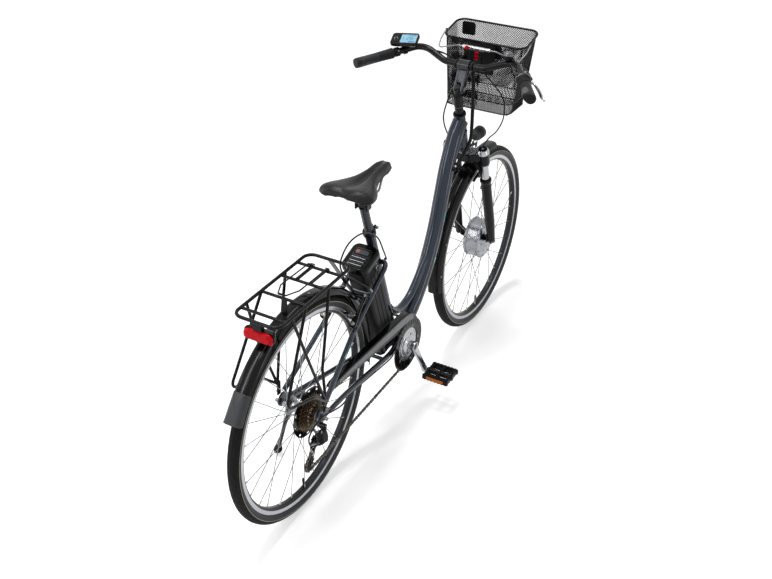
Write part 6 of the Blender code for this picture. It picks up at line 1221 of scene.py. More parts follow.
def front_mudguard():
    shape = Shape(GLOSS)
    low, high = math.radians(-8.0), math.radians(99.0)
    arc_strip(shape, FRONT_AXLE, low, high, 72, GLOSS, guard_section())
    for x in (-0.0095, 0.0095):
        ridge = [(x + 0.0011 * math.cos(a), 0.0022 + 0.0009 * math.sin(a))
                 for a in (2 * math.pi * k / 8 for k in range(8))]
        arc_strip(shape, FRONT_AXLE, low + 0.015, high - 0.015, 72, GLOSS, ridge)
    place = axes_at(on_steering(0.0, LEG_OFFSET + 0.010), STEER_AXIS)
    shape.block((0.018, 0.010, 0.012), place @ at(0.0, 0.0, 0.386 - 0.0065 - 0.0003 - 0.006), BLACK, 0.0020)
    for side in (1, -1):
        for angle in (3.0, 22.0):
            spot = FRONT_AXLE + Vector((0.0, math.cos(math.radians(angle)),
                                        math.sin(math.radians(angle)))) * (
                GUARD_RADIUS - 0.010) + LEFT * side * 0.0250
            shape.rod(axes_at(spot, LEFT * side), 0.0034, -0.001, 0.0016, STEEL, 14)
    return shape.piece("front_guard_shell", "lowers", "front_mudguard", "guard_plastic")


def rack():
    """Tubular deck with four cross bars, legs, pannier loops, straps and the lamp's plate."""
    shape = Shape(BLACK)
    deck = rounded([(0, 0.440, 0.772), (0.073, 0.440, 0.772), (0.073, 0.808, 0.768), (-0.073, 0.808, 0.768),
                    (-0.073, 0.440, 0.772), (0, 0.440, 0.772)], 0.028, 10)[:-1]
    shape.tube(deck, 0.005, BLACK, 20, closed=True)
    for y in RACK_BARS:
        shape.tube([(-0.073, y, 0.767), (0.073, y, 0.767)], 0.0045, BLACK, 18)
    for side in (1, -1):
        foot = Vector((side * 0.0835, 0.603, 0.409))
        front = rounded([(side * 0.072, 0.560, 0.768), (side * 0.074, 0.604, 0.520), foot - UP * 0.004], 0.04,
                        10)
        rear = rounded([(side * 0.072, 0.745, 0.768), (side * 0.082, 0.690, 0.610), foot - UP * 0.002], 0.06,
                       10)
        loop = rounded([(side * 0.072, 0.676, 0.768), (side * 0.092, 0.812, 0.520),
                        (side * 0.094, 0.680, 0.478),
                        foot], [0.022, 0.05], 14)
        for path in (front, rear, loop):
            shape.tube(path, 0.0045, BLACK, 18)
        shape.block((0.005, 0.016, 0.046), at(foot.x - side * 0.004, foot.y, foot.z - 0.014), BLACK, 0.0014)
        shape.rod(axes_at((foot.x - side * 0.001, foot.y, foot.z - 0.026), LEFT * side), 0.0048, -0.0005,
                  0.0038,
                  STEEL, 6)
        shape.block((0.012, 0.082, 0.003), at(side * 0.022, 0.535, 0.7715), BLACK, 0.0008)
    shape.block((0.032, 0.003, 0.020), at(0.0, 0.8038, 0.7570), BLACK, 0.0010)
    start = Vector((0.0, 0.440, 0.770))
    end = Vector((0.0, 0.300, 0.578))
    side = axes_at((start + end) / 2, end - start, LEFT)
    shape.block((0.018, 0.003, (end - start).length), side, BLACK, 0.0009)
    shape.block((0.018, 0.003, 0.0505), at(0.0, 0.673, 0.7422), BLACK, 0.0009)
    return shape.piece("rack_tubes", "frame", "rack", "black_paint")


def rack_clamp():
    shape = Shape(BLACK)
    pivot = Vector((0.0, 0.494, 0.7726))
    route = rounded([Vector(p) + pivot for p in (
        (-0.030, 0, 0), (-0.030, 0.010, 0.010), (-0.030, 0.150, 0.013), (-0.012, 0.190, 0.013),
        (0.012, 0.190, 0.013),
        (0.030, 0.150, 0.013), (0.030, 0.010, 0.010), (0.030, 0, 0))], 0.004, 6)
    shape.tube(route, 0.0022, BLACK, 14)
    for side in (1, -1):
        coil = []
        for i in range(46):
            angle = i * 0.62
            coil.append(pivot + Vector((side * (0.0305 - 0.0006 * i * 0.45), 0.0, 0.0))
                        + Vector((0.0, 0.0052 * math.cos(angle), 0.0052 * math.sin(angle))))
        shape.tube(coil, 0.0009, BLACK, 8)
    shape.block((0.024, 0.0050, 0.0060), at(0.0, 0.684, 0.7858), MATT, 0.0018)
    return shape.piece("clamp_wire", "rack_clamp", "rack_clamp", "steel")


def tail_light():
    place = axes_at((0, 0.790, 0.7175), (0, 1, 0), LEFT)
    shape = Shape(GLOSS)
    shape.tapered([(oblong(0.078, 0.024, 0.008), -0.018), (oblong(0.084, 0.028, 0.009), -0.014),
                   (oblong(0.096, 0.034, 0.010), -0.003), (oblong(0.096, 0.034, 0.010), 0.0028),
                   (oblong(0.0945, 0.0325, 0.010), 0.0040)], place, GLOSS, 0.0004)
    shape.block((0.030, 0.006, 0.026), at(0.0, 0.791, 0.7355), GLOSS, 0.0012)
    shape.block((0.030, 0.012, 0.014), at(0.0, 0.796, 0.7425), GLOSS, 0.0016)
    shape.piece("tail_lamp_case", "frame", "tail_light_housing", "black_plastic")
    lens = Shape(RED)

    def face(width, height, low):
        """A lens outline whose lower corners are cut back in a wide curve."""
        points = []
        for x, y in oblong(width, height, min(0.010, height / 2 - 0.001)):
            drop = max(0.0, -y / (height / 2))
            points.append((x * (1.0 - 0.20 * drop ** 2), y))
        return points, low

    lens.tapered([face(w, h, z) for w, h, z in (
        (0.0930, 0.0310, 0.0043), (0.0940, 0.0320, 0.0052), (0.0935, 0.0315, 0.0090),
        (0.0900, 0.0290, 0.0120),
        (0.0840, 0.0240, 0.0150), (0.0760, 0.0180, 0.0160))], place, RED)
    for i in range(5):
        lens.prism(oblong(0.0640 + 0.0026 * i, 0.0016, 0.0007, 2), place @ at(0.0, -0.0076 + 0.0040 * i, 0.0),
                   0.0150, 0.0162, RED, 0.0003)
    return lens.piece("tail_lamp_lens", "frame", "tail_light_lens", "red", 50.0)


def head_lamp():
    shape = Shape(GLOSS)
    pivot = on_steering(0.4185, 0.0815)
    place = axes_at(pivot + Vector((0, 0.010, 0.030)), (0, -1, 0.04), LEFT)
    # The black barrel takes the dark grey finish, a painted sheen standing in for its highlights.
    shape.lathe([(0.0, 0.0010), (0.0110, 0.0010), (0.0135, 0.0040), (0.0170, 0.0085), (0.0195, 0.0180),
                 (0.0212, 0.0400), (0.0215, 0.0440), (0.0225, 0.0460), (0.0225, 0.0530), (0.0218, 0.0540),
                 (0.0195, 0.0540), (0.0190, 0.0490), (0.0, 0.0480)], place, DARK_GREY_AND_SHEEN, 48)
    for i in range(4):
        shape.lathe([(0.0150, 0.018 + 0.006 * i), (0.0206 + 0.0004 * i, 0.018 + 0.006 * i),
                     (0.0206 + 0.0004 * i, 0.0205 + 0.006 * i), (0.0150, 0.0205 + 0.006 * i)], place, MATT,
                     48)
    shape.lathe([(0.0, 0.0482), (0.0186, 0.0482), (0.0186, 0.0510), (0.0120, 0.0526), (0.0, 0.0532)], place,
                GLASS, 44)
    shape.lathe([(0.0, 0.0530), (0.0052, 0.0528), (0.0048, 0.0538), (0.0, 0.0540)], place, AMBER, 20)
    for side in (1, -1):
        shape.block((0.0028, 0.015, 0.022), at(pivot.x + side * 0.0062, pivot.y, pivot.z), GLOSS, 0.0012)
    shape.rod(across(pivot), 0.0034, -0.0088, 0.0088, STEEL, 16)
    return shape.piece("head_lamp", "headlight", "headlight", "black_plastic")


# Battery

def battery():
    """Ribbed case under an oversailing cap with a carrying recess and a charge window."""
    shape = Shape(MATT)
    place = axes_at(on_seat_tube(0.0, BATTERY_GAP), SEAT_AXIS, LEFT)

    def band(half, deep, z, corner=0.014):
        return ([(x, y + BATTERY_DEPTH / 2) for x, y in oblong(2 * half, deep, corner, 6)], z)

    def grooved(z, depth):
        """The body's outline with three flutes on each side."""
        half, back = BATTERY_HALF, BATTERY_DEPTH
        points = []
        for x, y in oblong(2 * half, back, 0.014, 6):
            points.append((x, y + back / 2))
        outline = []
        for first, second in zip(points, points[1:] + points[:1]):
            outline.append(first)
            if abs(first[0] - second[0]) < 1e-6 and abs(first[1] - second[1]) > 0.02:
                side = 1 if first[0] > 0 else -1
                ys = []
                for i in range(3):
                    middle = 0.026 + 0.018 * i
                    ys += [(middle - 0.0045, 0.0), (middle - 0.0033, depth), (middle + 0.0033, depth),
                           (middle + 0.0045, 0.0)]
                if second[1] < first[1]:
                    ys = ys[::-1]
                outline += [(side * (half - cut), y) for y, cut in ys]
        return (outline, z)

    levels = [(0.0752, 0.0), (0.0980, 0.0), (0.1000, 0.0016), (0.4000, 0.0016), (0.4020, 0.0), (0.4520, 0.0)]
    shape.tapered([grooved(z, depth) for z, depth in levels], place, MATT)
    shape.tapered([band(BATTERY_HALF - 0.003, BATTERY_DEPTH - 0.006, 0.0752), band(BATTERY_HALF + 0.0002,
                   BATTERY_DEPTH + 0.0004, 0.0790), band(BATTERY_HALF + 0.0002, BATTERY_DEPTH + 0.0004,
                                                         0.0950)],
                  place, GLOSS)
    half, deep = BATTERY_HALF, BATTERY_DEPTH
    shape.tapered([band(half + 0.0055, deep + 0.003, 0.4510), band(half + 0.0080, deep + 0.008, 0.4560,
                                                                   0.018),
                   band(half + 0.0110, deep + 0.018, 0.4610, 0.022),
                   band(half + 0.0110, deep + 0.018, 0.4735, 0.022),
                   band(half + 0.0095, deep + 0.015, 0.4785, 0.021),
                   band(half + 0.0060, deep + 0.010, 0.4815, 0.018),
                   band(half + 0.0015, deep + 0.004, 0.4828, 0.015)], place, GLOSS)
    top = place @ at(0.0, 0.0, 0.4828)
    shape.prism(oblong(0.056, 0.074, 0.010), top @ at(0.0, 0.049, 0.0), -0.002, 0.0008, DARK_GREY_AND_SHEEN, 0.0004)
    shape.prism(oblong(0.052, 0.024, 0.004), top @ at(0.0, 0.0285, 0.0), 0.0, 0.0018, GLOSS, 0.0005)
    shape.prism(oblong(0.044, 0.017, 0.003), top @ at(0.0, 0.0285, 0.0), 0.0010, 0.0022, WINDOW, 0.0003)
    shape.prism(oblong(0.011, 0.013, 0.002), top @ at(0.0150, 0.0285, 0.0), 0.0018, 0.0024, BLUSH, 0.0002)
    # Three raised glossy bars across the cap, each with a silver strip on top. The strips are painted
    # highlights along the cap's glossy edges.
    for y, wide in ((0.0500, 0.054), (0.0640, 0.055), (0.0780, 0.055)):
        shape.block((wide, 0.0090, 0.0042), top @ at(0.0, y, 0.0006), GLOSS, 0.0018)
        shape.block((wide - 0.006, 0.0026, 0.0008), top @ at(0.0, y + 0.0022, 0.0028), SILVER_AND_HIGHLIGHT, 0.0003)
    shape.prism([(x, y + 0.045) for x, y in oblong(2 * half + 0.0150, deep + 0.0120, 0.0200, 6)], top,
                -0.0052, -0.0046,
                SILVER_AND_HIGHLIGHT, 0.0001)
    collar = axes_at(on_seat_tube(0.425, 0.048, -BATTERY_HALF), -LEFT, SEAT_AXIS)
    shape.lathe([(0.0078, -0.001), (0.0118, -0.001), (0.0115, 0.0012), (0.0085, 0.0016), (0.0078, 0.0010)],
                collar,
                MATT, 32)
    shape.prism(oblong(0.0300, 0.0170, 0.0084), collar, -0.0004, 0.0008, SILVER_AND_HIGHLIGHT, 0.0004)
    return shape.piece("battery_shell", "battery", "battery_case", "black_plastic")


def key_lock():
    shape = Shape(SILVER_AND_HIGHLIGHT)
    place = axes_at(on_seat_tube(0.425, 0.048, -BATTERY_HALF), -LEFT, SEAT_AXIS)
    shape.lathe([(0.0, 0.0), (0.0070, 0.0), (0.0072, 0.0012), (0.0072, 0.0030), (0.0064, 0.0038),
                 (0.0, 0.0038)],
                place, SILVER_AND_HIGHLIGHT, 32)
    shape.block((0.0066, 0.0014, 0.0008), place @ at(0.0, 0.0, 0.0038), DARK_GREY_AND_SHEEN, 0.0002)
    shape.block((0.0012, 0.0012, 0.0006), place @ at(0.0052, 0.0, 0.0039), DARK_GREY_AND_SHEEN, 0.0001)
    return shape.piece("lock_barrel", "key", "key_lock", "crank")


def battery_dock():
    shape = Shape(MATT)
    place = axes_at(BRACKET, SEAT_AXIS, LEFT)
    shape.block((0.022, 0.0089, 0.270), place @ at(0.0, 0.02125, 0.186), MATT, 0.0012)
    for i in range(9):
        shape.block((0.0224, 0.0012, 0.006), place @ at(0.0, 0.0254, 0.080 + 0.026 * i), DARK_GREY_AND_SHEEN, 0.0004)

    def shoe(half, z, corner):
        return ([(x, y + 0.022 + BATTERY_DEPTH / 2) for x, y in oblong(2 * half, BATTERY_DEPTH, corner)], z)

    shape.tapered([shoe(0.0235, 0.0547, 0.010), shoe(0.0300, 0.0600, 0.012),
                   shoe(BATTERY_HALF, 0.0667, 0.014),
                   shoe(BATTERY_HALF, 0.0740, 0.014), shoe(BATTERY_HALF - 0.0006, 0.0747, 0.0135)], place,
                   MATT)
    shape.block((0.050, 0.050, 0.026), at(0.0, 0.115, 0.297), MATT, 0.0040)
    for side in (1, -1):
        shape.rod(axes_at((side * 0.0250, 0.128, 0.297), LEFT * side), 0.0036, -0.001, 0.0014, STEEL, 14)
    return shape.piece("battery_rail_and_shoe", "frame", "battery_dock", "black_plastic")


# Saddle, seatpost and stand

def saddle_section(y, half, top, drop):
    """One ring of the saddle, as (x, z) from the centre line round the right side and back up the left."""
    channel = 0.006 * max(0.0, math.sin(math.pi * min(y, SADDLE_LENGTH) / SADDLE_LENGTH)) ** 0.6
    right = [(0.0, top - channel), (0.10 * half, top - channel * 0.80), (0.22 * half, top - channel * 0.2),
             (0.36 * half, top + 0.0006), (0.50 * half, top + 0.001), (0.68 * half, top - 0.0022),
             (0.84 * half, top - 0.008), (0.93 * half, top - 0.0142), (0.98 * half, top - 0.022),
             (0.995 * half, top - 0.4 * drop - 0.006), (0.985 * half, top - 0.75 * drop),
             (0.92 * half, top - drop),
             (0.5 * half, top - 0.78 * drop), (0.0, top - 0.62 * drop)]
    left = [(-x, z) for x, z in reversed(right[1:-1])]
    return right + left


SADDLE_LENGTH = 0.270
SADDLE_STATIONS = ((0.0, 0.014, 0.002, 0.020), (0.012, 0.022, 0.010, 0.030), (0.045, 0.026, 0.013, 0.036),
                   (0.095, 0.031, 0.010, 0.038), (0.140, 0.046, 0.007, 0.038), (0.180, 0.070, 0.008, 0.037),
                   (0.220, 0.088, 0.014, 0.038), (0.248, 0.092, 0.017, 0.038), (0.264, 0.080, 0.014, 0.034),
                   (SADDLE_LENGTH, 0.060, 0.008, 0.026))
SADDLE_NOSE = Vector((0.0, 0.108, 0.945))


def station_at(share):
    """The saddle's four measures at any share of its stations, on a smooth curve through them."""
    spot = share * (len(SADDLE_STATIONS) - 1)
    index = min(int(spot), len(SADDLE_STATIONS) - 2)
    t = spot - index
    ends = [SADDLE_STATIONS[max(index - 1, 0)], SADDLE_STATIONS[index], SADDLE_STATIONS[index + 1],
            SADDLE_STATIONS[min(index + 2, len(SADDLE_STATIONS) - 1)]]
    return [0.5 * (2 * q + (r - p) * t + (2 * p - 5 * q + 4 * r - s) * t ** 2
            + (3 * q - p - 3 * r + s) * t ** 3)
            for p, q, r, s in zip(*ends)]


def saddle():
    """Padded cover blown up by cloth pressure inside the solid's space, then its channel, seams and rails."""
    part = bmesh.new()
    rings = []
    for i in range(61):
        y, half, top, drop = station_at(i / 60)
        shrink = 0.975
        ring = [part.verts.new(SADDLE_NOSE + Vector((x * shrink, 0.002 + y * 0.985, z * 0.97 - 0.0008)))
                for x, z in saddle_section(y, half, top, drop)]
        rings.append(ring)
    for first, second in zip(rings, rings[1:]):
        for a in range(len(first)):
            b = (a + 1) % len(first)
            part.faces.new((first[a], first[b], second[b], second[a]))
    part.faces.new(rings[0])
    part.faces.new(rings[-1])
    bmesh.ops.recalc_face_normals(part, faces=part.faces)
    mesh = bpy.data.meshes.new("saddle_start")
    part.to_mesh(mesh)
    part.free()
    pad = bpy.data.objects.new("saddle_pad", mesh)
    bpy.context.scene.collection.objects.link(pad)
    remesh = pad.modifiers.new("remesh", "REMESH")
    remesh.mode, remesh.voxel_size = "VOXEL", 0.0042
    settle(pad)
    soften(pad, 3)
    inflate(pad, 0.0024)
    sculpt_saddle(pad)
    pad.data.materials.clear()
    pad.data.materials.append(SHELL)
    rounder = pad.modifiers.new("rounder", "SUBSURF")
    rounder.levels = rounder.render_levels = 1
    settle(pad)
    pad.data.shade_smooth()
    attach(pad, "saddle")
    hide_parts("saddle")
    saddle_seams(pad)
    saddle_rails()


def settle(item):
    """Makes the object's modifiers part of its mesh."""
    graph = bpy.context.evaluated_depsgraph_get()
    graph.update()
    fixed = bpy.data.meshes.new_from_object(item.evaluated_get(graph))
    item.modifiers.clear()
    item.data = fixed


def soften(item, rounds):
    part = bmesh.new()
    part.from_mesh(item.data)
    for _ in range(rounds):
        bmesh.ops.smooth_vert(part, verts=part.verts, factor=0.5, use_axis_x=True, use_axis_y=True,
                              use_axis_z=True)
    part.to_mesh(item.data)
    part.free()


def inflate(item, most):
    """Cloth under slight pressure: no point moves further than most."""
    start = [vertex.co.copy() for vertex in item.data.vertices]
    cloth = item.modifiers.new("cover", "CLOTH")
    settings = cloth.settings
    settings.quality = 5
    settings.mass = 0.4
    settings.tension_stiffness = settings.compression_stiffness = 18.0
    settings.shear_stiffness = 10.0
    settings.bending_stiffness = 2.0
    settings.use_pressure = True
    settings.uniform_pressure_force = 4.0
    settings.effector_weights.gravity = 0.0
    cloth.point_cache.frame_start, cloth.point_cache.frame_end = 1, 20
    scene = bpy.context.scene
    for number in range(1, 21):
        scene.frame_set(number)
    graph = bpy.context.evaluated_depsgraph_get()
    moved = item.evaluated_get(graph).to_mesh()
    ends = [vertex.co.copy() for vertex in moved.vertices]
    item.evaluated_get(graph).to_mesh_clear()
    item.modifiers.clear()
    for vertex, first, last in zip(item.data.vertices, start, ends):
        step = last - first
        vertex.co = first + (step if step.length <= most else step.normalized() * most)
    scene.frame_set(1)


def sculpt_saddle(item):
    """Presses in the middle channel, sinks a shallow groove along each stitch line on top and gives the cover
    a faint wobble.
    """
    for vertex in item.data.vertices:
        spot = vertex.co - SADDLE_NOSE
        share = max(0.0, min(1.0, spot.y / SADDLE_LENGTH))
        _, half, top, _ = station_at(station_share(spot.y))
        if spot.z > top - 0.012:
            deep = 0.0042 * math.sin(math.pi * min(1.0, max(0.0, (spot.y - 0.030) / 0.225))) ** 0.5 if (
                0.030 < spot.y < 0.255) else 0.0
            width = 0.0050 + 0.0060 * share
            vertex.co.z -= deep * math.exp(-(spot.x / width) ** 2)
            line = 0.60 * half
            vertex.co.z -= 0.0010 * math.exp(-((abs(spot.x) - line) / 0.0022) ** 2) * (0.10 < share < 0.93)
        wobble = noise.noise(vertex.co * 34.0) * 0.00035
        vertex.co += vertex.normal * (wobble - 0.0002)


def station_share(y):
    for i in range(len(SADDLE_STATIONS) - 1):
        low, high = SADDLE_STATIONS[i][0], SADDLE_STATIONS[i + 1][0]
        if y <= high:
            return (i + max(0.0, (y - low) / (high - low))) / (len(SADDLE_STATIONS) - 1)
    return 1.0


def saddle_seams(pad):
    """Piping along the cover's lower edge and a stitched line each side of the channel."""
    tree = BVHTree.FromPolygons([v.co for v in pad.data.vertices],
                                [tuple(p.vertices) for p in pad.data.polygons])
    shape = Shape(SHELL)
    for side in (1, -1):
        rows = {"edge": [], "stitch": []}
        for i in range(4, 59):
            y, half, top, drop = station_at(i / 60)
            rows["edge"].append(Vector((side * half * 0.985, y, top - drop * 0.70)))
            if 9 <= i <= 55:
                rows["stitch"].append(Vector((side * half * 0.60, y, top + 0.02)))
        edge = [tree.find_nearest(SADDLE_NOSE + spot)[0] for spot in rows["edge"]]
        shape.tube(edge, 0.0011, MATT, 8)
        line = [tree.ray_cast(SADDLE_NOSE + spot, -UP)[0] for spot in rows["stitch"]]
        line = smooth([spot for spot in line if spot], 150)
        for a, b in zip(line[::2], line[1::2]):
            shape.tube([a + UP * 0.0001, (a + b) / 2 + UP * 0.00045, b + UP * 0.0001], 0.00032, DARK_GREY_AND_SHEEN, 5)
    tail = []
    for k in range(13):
        y, half, top, drop = station_at(58 / 60)
        tail.append(tree.find_nearest(SADDLE_NOSE + Vector((half * 0.985 * (1 - k / 6), 0.276,
                                                            top - drop * 0.70)))[0])
    shape.tube(smooth(tail, 40), 0.0011, MATT, 8)
    return shape.piece("saddle_piping", "saddle", (), "saddle")


def saddle_rails():
    shape = Shape(STEEL)
    pivot = Vector((0.0, 0.2553, 0.8641))
    for side in (1, -1):
        path = rounded([(side * 0.010, 0.150, 0.9395), (side * 0.014, 0.160, 0.937),
                        (side * 0.022, 0.200, 0.893),
                        (side * 0.022, 0.300, 0.893), (side * 0.036, 0.345, 0.937)], [0.004, 0.02, 0.02], 8)
        shape.tube(path, 0.0035, STEEL, 18)
        shape.block((0.006, 0.028, 0.034), at(side * 0.0185, pivot.y, pivot.z + 0.004), BLACK, 0.0018)
    shape.block((0.044, 0.034, 0.0080), at(0.0, pivot.y, pivot.z + 0.0262), BLACK, 0.0022)
    shape.block((0.040, 0.032, 0.0080), at(0.0, pivot.y, pivot.z + 0.0170), BLACK, 0.0022)
    for y in (-0.011, 0.011):
        shape.rod(at(0.0, pivot.y + y, pivot.z), 0.0036, 0.0295, 0.0330, STEEL, 6)
    for side in (1, -1):
        for i in range(12):
            turn = axes_at(pivot + LEFT * side * 0.0213, LEFT * side) @ Matrix.Rotation(math.pi / 6 * i, 4,
                                                                                        "Z")
            shape.block((0.0016, 0.0030, 0.0010), turn @ at(0.0085, 0.0, 0.0), STEEL, 0.0002)
    return shape.piece("saddle_rails", "saddle", (), "steel")


def seatpost():
    """Aluminium-look post with height marks and a plain barrel with its bolt at its head."""
    shape = Shape(BLACK)
    place = axes_at(BRACKET, SEAT_AXIS, LEFT)
    shape.lathe([(0.0, 0.400), (0.0132, 0.400), (0.0136, 0.4008), (0.0136, 0.6195), (0.0150, 0.6230),
                 (0.0150, 0.6270),
                 (0.0, 0.6270)], place, STEM, 40)
    for i in range(9):
        for side in (1, -1):
            arc = [place @ Vector((0.01362 * math.cos(a), 0.01362 * math.sin(a), 0.532 + 0.010 * i))
                   for a in [math.pi / 2 * side + 0.05 * k * (2 if i % 5 == 0 else 1) for k in range(-4, 5)]]
            shape.tube(arc, 0.00022, WHITE, 5)
    barrel = across(on_seat_tube(0.633))
    shape.lathe([(0.0, -0.0150), (0.0100, -0.0150), (0.0110, -0.0140), (0.0110, 0.0140), (0.0100, 0.0150),
                 (0.0, 0.0150)], barrel, BLACK, 40)
    shape.rod(barrel, 0.0038, -0.0152, 0.0152, STEEL, 16)
    return shape.piece("seatpost_tube", "post", "seatpost", "black_paint")


def kickstand():
    shape = Shape(BLACK)
    foot, knee = Vector((0.188, 0.468, 0.020)), KICKSTAND_HINGE + Vector((0.016, -0.002, -0.020))
    middle = knee.lerp(foot, 0.5) + LEFT * 0.004
    path = smooth([KICKSTAND_HINGE + Vector((0.004, 0, -0.004)), knee, knee.lerp(middle, 0.5), middle,
                   middle.lerp(foot, 0.5), foot], 30)
    shape.tube(path, [0.0085 - 0.0020 * min(1.0, i / 14) + 0.0010 * max(0.0,
                                                                        (i - 22) / 7) for i in range(30)],
               BLACK, 22)
    lug = axes_at(KICKSTAND_HINGE, KICKSTAND_AXIS)
    shape.lathe([(0.0, -0.0075), (0.0116, -0.0075), (0.0125, -0.0066), (0.0125, 0.0070), (0.0116, 0.0080),
                 (0.0, 0.0080)], lug, BLACK, 36)
    shape.rod(lug, 0.0056, 0.0078, 0.0092, STEEL, 6)
    base = axes_at(foot, UP, LEFT)
    shape.tapered([(oblong(0.018, 0.022, 0.008), 0.014), (oblong(0.022, 0.028, 0.009), 0.006),
                   (oblong(0.024, 0.030, 0.010), 0.001), (oblong(0.0235, 0.0295, 0.010), -0.003),
                   (oblong(0.022, 0.028, 0.009), -0.006)], base, MATT, 0.0004)
    for i in range(4):
        shape.tube([base @ Vector((0.0123 * math.cos(a), 0.0152 * math.sin(a), -0.003 + 0.0035 * i))
                    for a in (2 * math.pi * k / 28 for k in range(28))], 0.0006, MATT, 6, closed=True)
    return shape.piece("prop_stand", "kickstand", "kickstand", "black_paint")


# Fork, stem and bar

def axle(name, centre, inner, outer, reach, cone, body, node):
    shape = Shape(STEEL)
    for side in (1, -1):
        place = axes_at(centre, LEFT * side)
        shape.lathe([(0.0, inner - 0.012), (0.0050, inner - 0.012), (0.0050, reach - 0.0008), (0.0042, reach),
                     (0.0, reach)], place, STEEL, 26)
        for i in range(5):
            z = outer + 0.0102 + 0.0014 * i
            if z < reach - 0.001:
                shape.lathe([(0.0046, z), (0.0051, z + 0.0004), (0.0051, z + 0.0007), (0.0046, z + 0.0011)],
                            place,
                            STEEL, 20)
        shape.lathe([(0.0046, outer + 0.0003), (0.0108, outer + 0.0003), (0.0110, outer + 0.0006),
                     (0.0110, outer + 0.0022), (0.0106, outer + 0.0025), (0.0046, outer + 0.0025)], place,
                     STEEL, 30)
        shape.hexagon(place, 0.0088, outer + 0.0027, outer + 0.0080, STEEL)
        shape.lathe([(0.0, outer + 0.0070), (0.0074, outer + 0.0078), (0.0072, outer + 0.0092),
                     (0.0052, outer + 0.0100),
                     (0.0, outer + 0.0100)], place, STEEL, 24)
        shape.hexagon(place, 0.0083, cone, inner - 0.0004, STEEL)
    shape.rod(axes_at(centre, LEFT), 0.0046, -inner, inner, STEEL, 16)
    return shape.piece(name, body, node, "steel")


def leg_axis(side):
    return axes_at(on_steering(0.0, LEG_OFFSET, side * LEG_SPREAD), STEER_AXIS, LEFT)


def fork_crown():
    shape = Shape(SILVER_AND_HIGHLIGHT)
    place = axes_at(on_steering(0.0), STEER_AXIS, LEFT)
    outline = []
    corners = [(-0.065, -0.0265), (0.065, -0.0265), (0.0840, -0.0160), (0.0640, 0.0040), (0.026, 0.022),
               (-0.026, 0.022), (-0.0640, 0.0040), (-0.0840, -0.0160)]
    for a, b, c in zip(corners[-1:] + corners[:-1], corners, corners[1:] + corners[:1]):
        a, b, c = Vector(a), Vector(b), Vector(c)
        for t in (0.0, 0.5, 1.0):
            first, second = b.lerp(a, 0.16), b.lerp(c, 0.16)
            outline.append(tuple(first.lerp(b, t).lerp(b.lerp(second, t), t)))
    outline = [(x, max(-0.0262, min(0.0215, y))) for x, y in outline]
    inner = [(x * 0.97, y * 0.95) for x, y in outline]
    shape.tapered([(inner, CROWN_BOTTOM), (outline, CROWN_BOTTOM + 0.0016), (outline, CROWN_TOP - 0.0016),
                   (inner, CROWN_TOP)], place, BLACK)
    cap = [(x * 0.93, y * 0.88) for x, y in outline]
    shape.tapered([(cap, CROWN_TOP - 0.001), (cap, CROWN_TOP + 0.0012)], place, SILVER_AND_HIGHLIGHT)
    shape.lathe([(0.0, 0.4435), (0.0198, 0.4565), (0.0205, 0.4580), (0.0205, 0.4625), (0.0196, 0.4637),
                 (0.0, 0.4637)],
                place, STEEL, 40)
    shape.rod(place, 0.0143, 0.4455, 0.6440, BLACK, 32)
    for side in (1, -1):
        leg = leg_axis(side)
        shape.lathe([(0.0, 0.402), (0.0186, 0.402), (0.0200, 0.4036), (0.0205, 0.4060), (0.0215, 0.4500),
                     (0.0, 0.4500)], leg, BLACK, 40)
        shape.lathe([(0.0, 0.4500), (0.0215, 0.4500), (0.0216, 0.4555), (0.0208, 0.4580), (0.0172, 0.4650),
                     (0.0160, 0.4665), (0.0, 0.4665)], leg, SILVER_AND_HIGHLIGHT, 40)
        shape.lathe([(0.0, 0.4660), (0.0150, 0.4660), (0.0152, 0.4668), (0.0120, 0.4674), (0.0, 0.4676)], leg,
                    GLOSS, 32)
        shape.lathe([(0.0, 0.4672), (0.0052, 0.4672), (0.0052, 0.4684), (0.0, 0.4684)], leg, STEEL, 6)
        shape.rod(leg, 0.0140, 0.1400, 0.4520, CHROME, 36)
    pivot = on_steering(0.4185, 0.0815)
    start, bend = on_steering(0.442, 0.004), on_steering(0.434, 0.060)
    strap = rounded([start, bend, pivot], [0.012], 8)
    shape.tube(strap, 0.0036, BLACK, 12)
    shape.rod(across(pivot), 0.0040, -0.0040, 0.0040, BLACK, 18)
    shape.rod(axes_at(on_steering(0.442, 0.027), -STEER_AHEAD), 0.0055, -0.0030, 0.0030, STEEL, 6)
    return shape.piece("fork_crown_and_tubes", "steering", "fork_crown", "black_paint")


def front_boss(side):
    return on_steering(0.282, 0.016, side * 0.048)


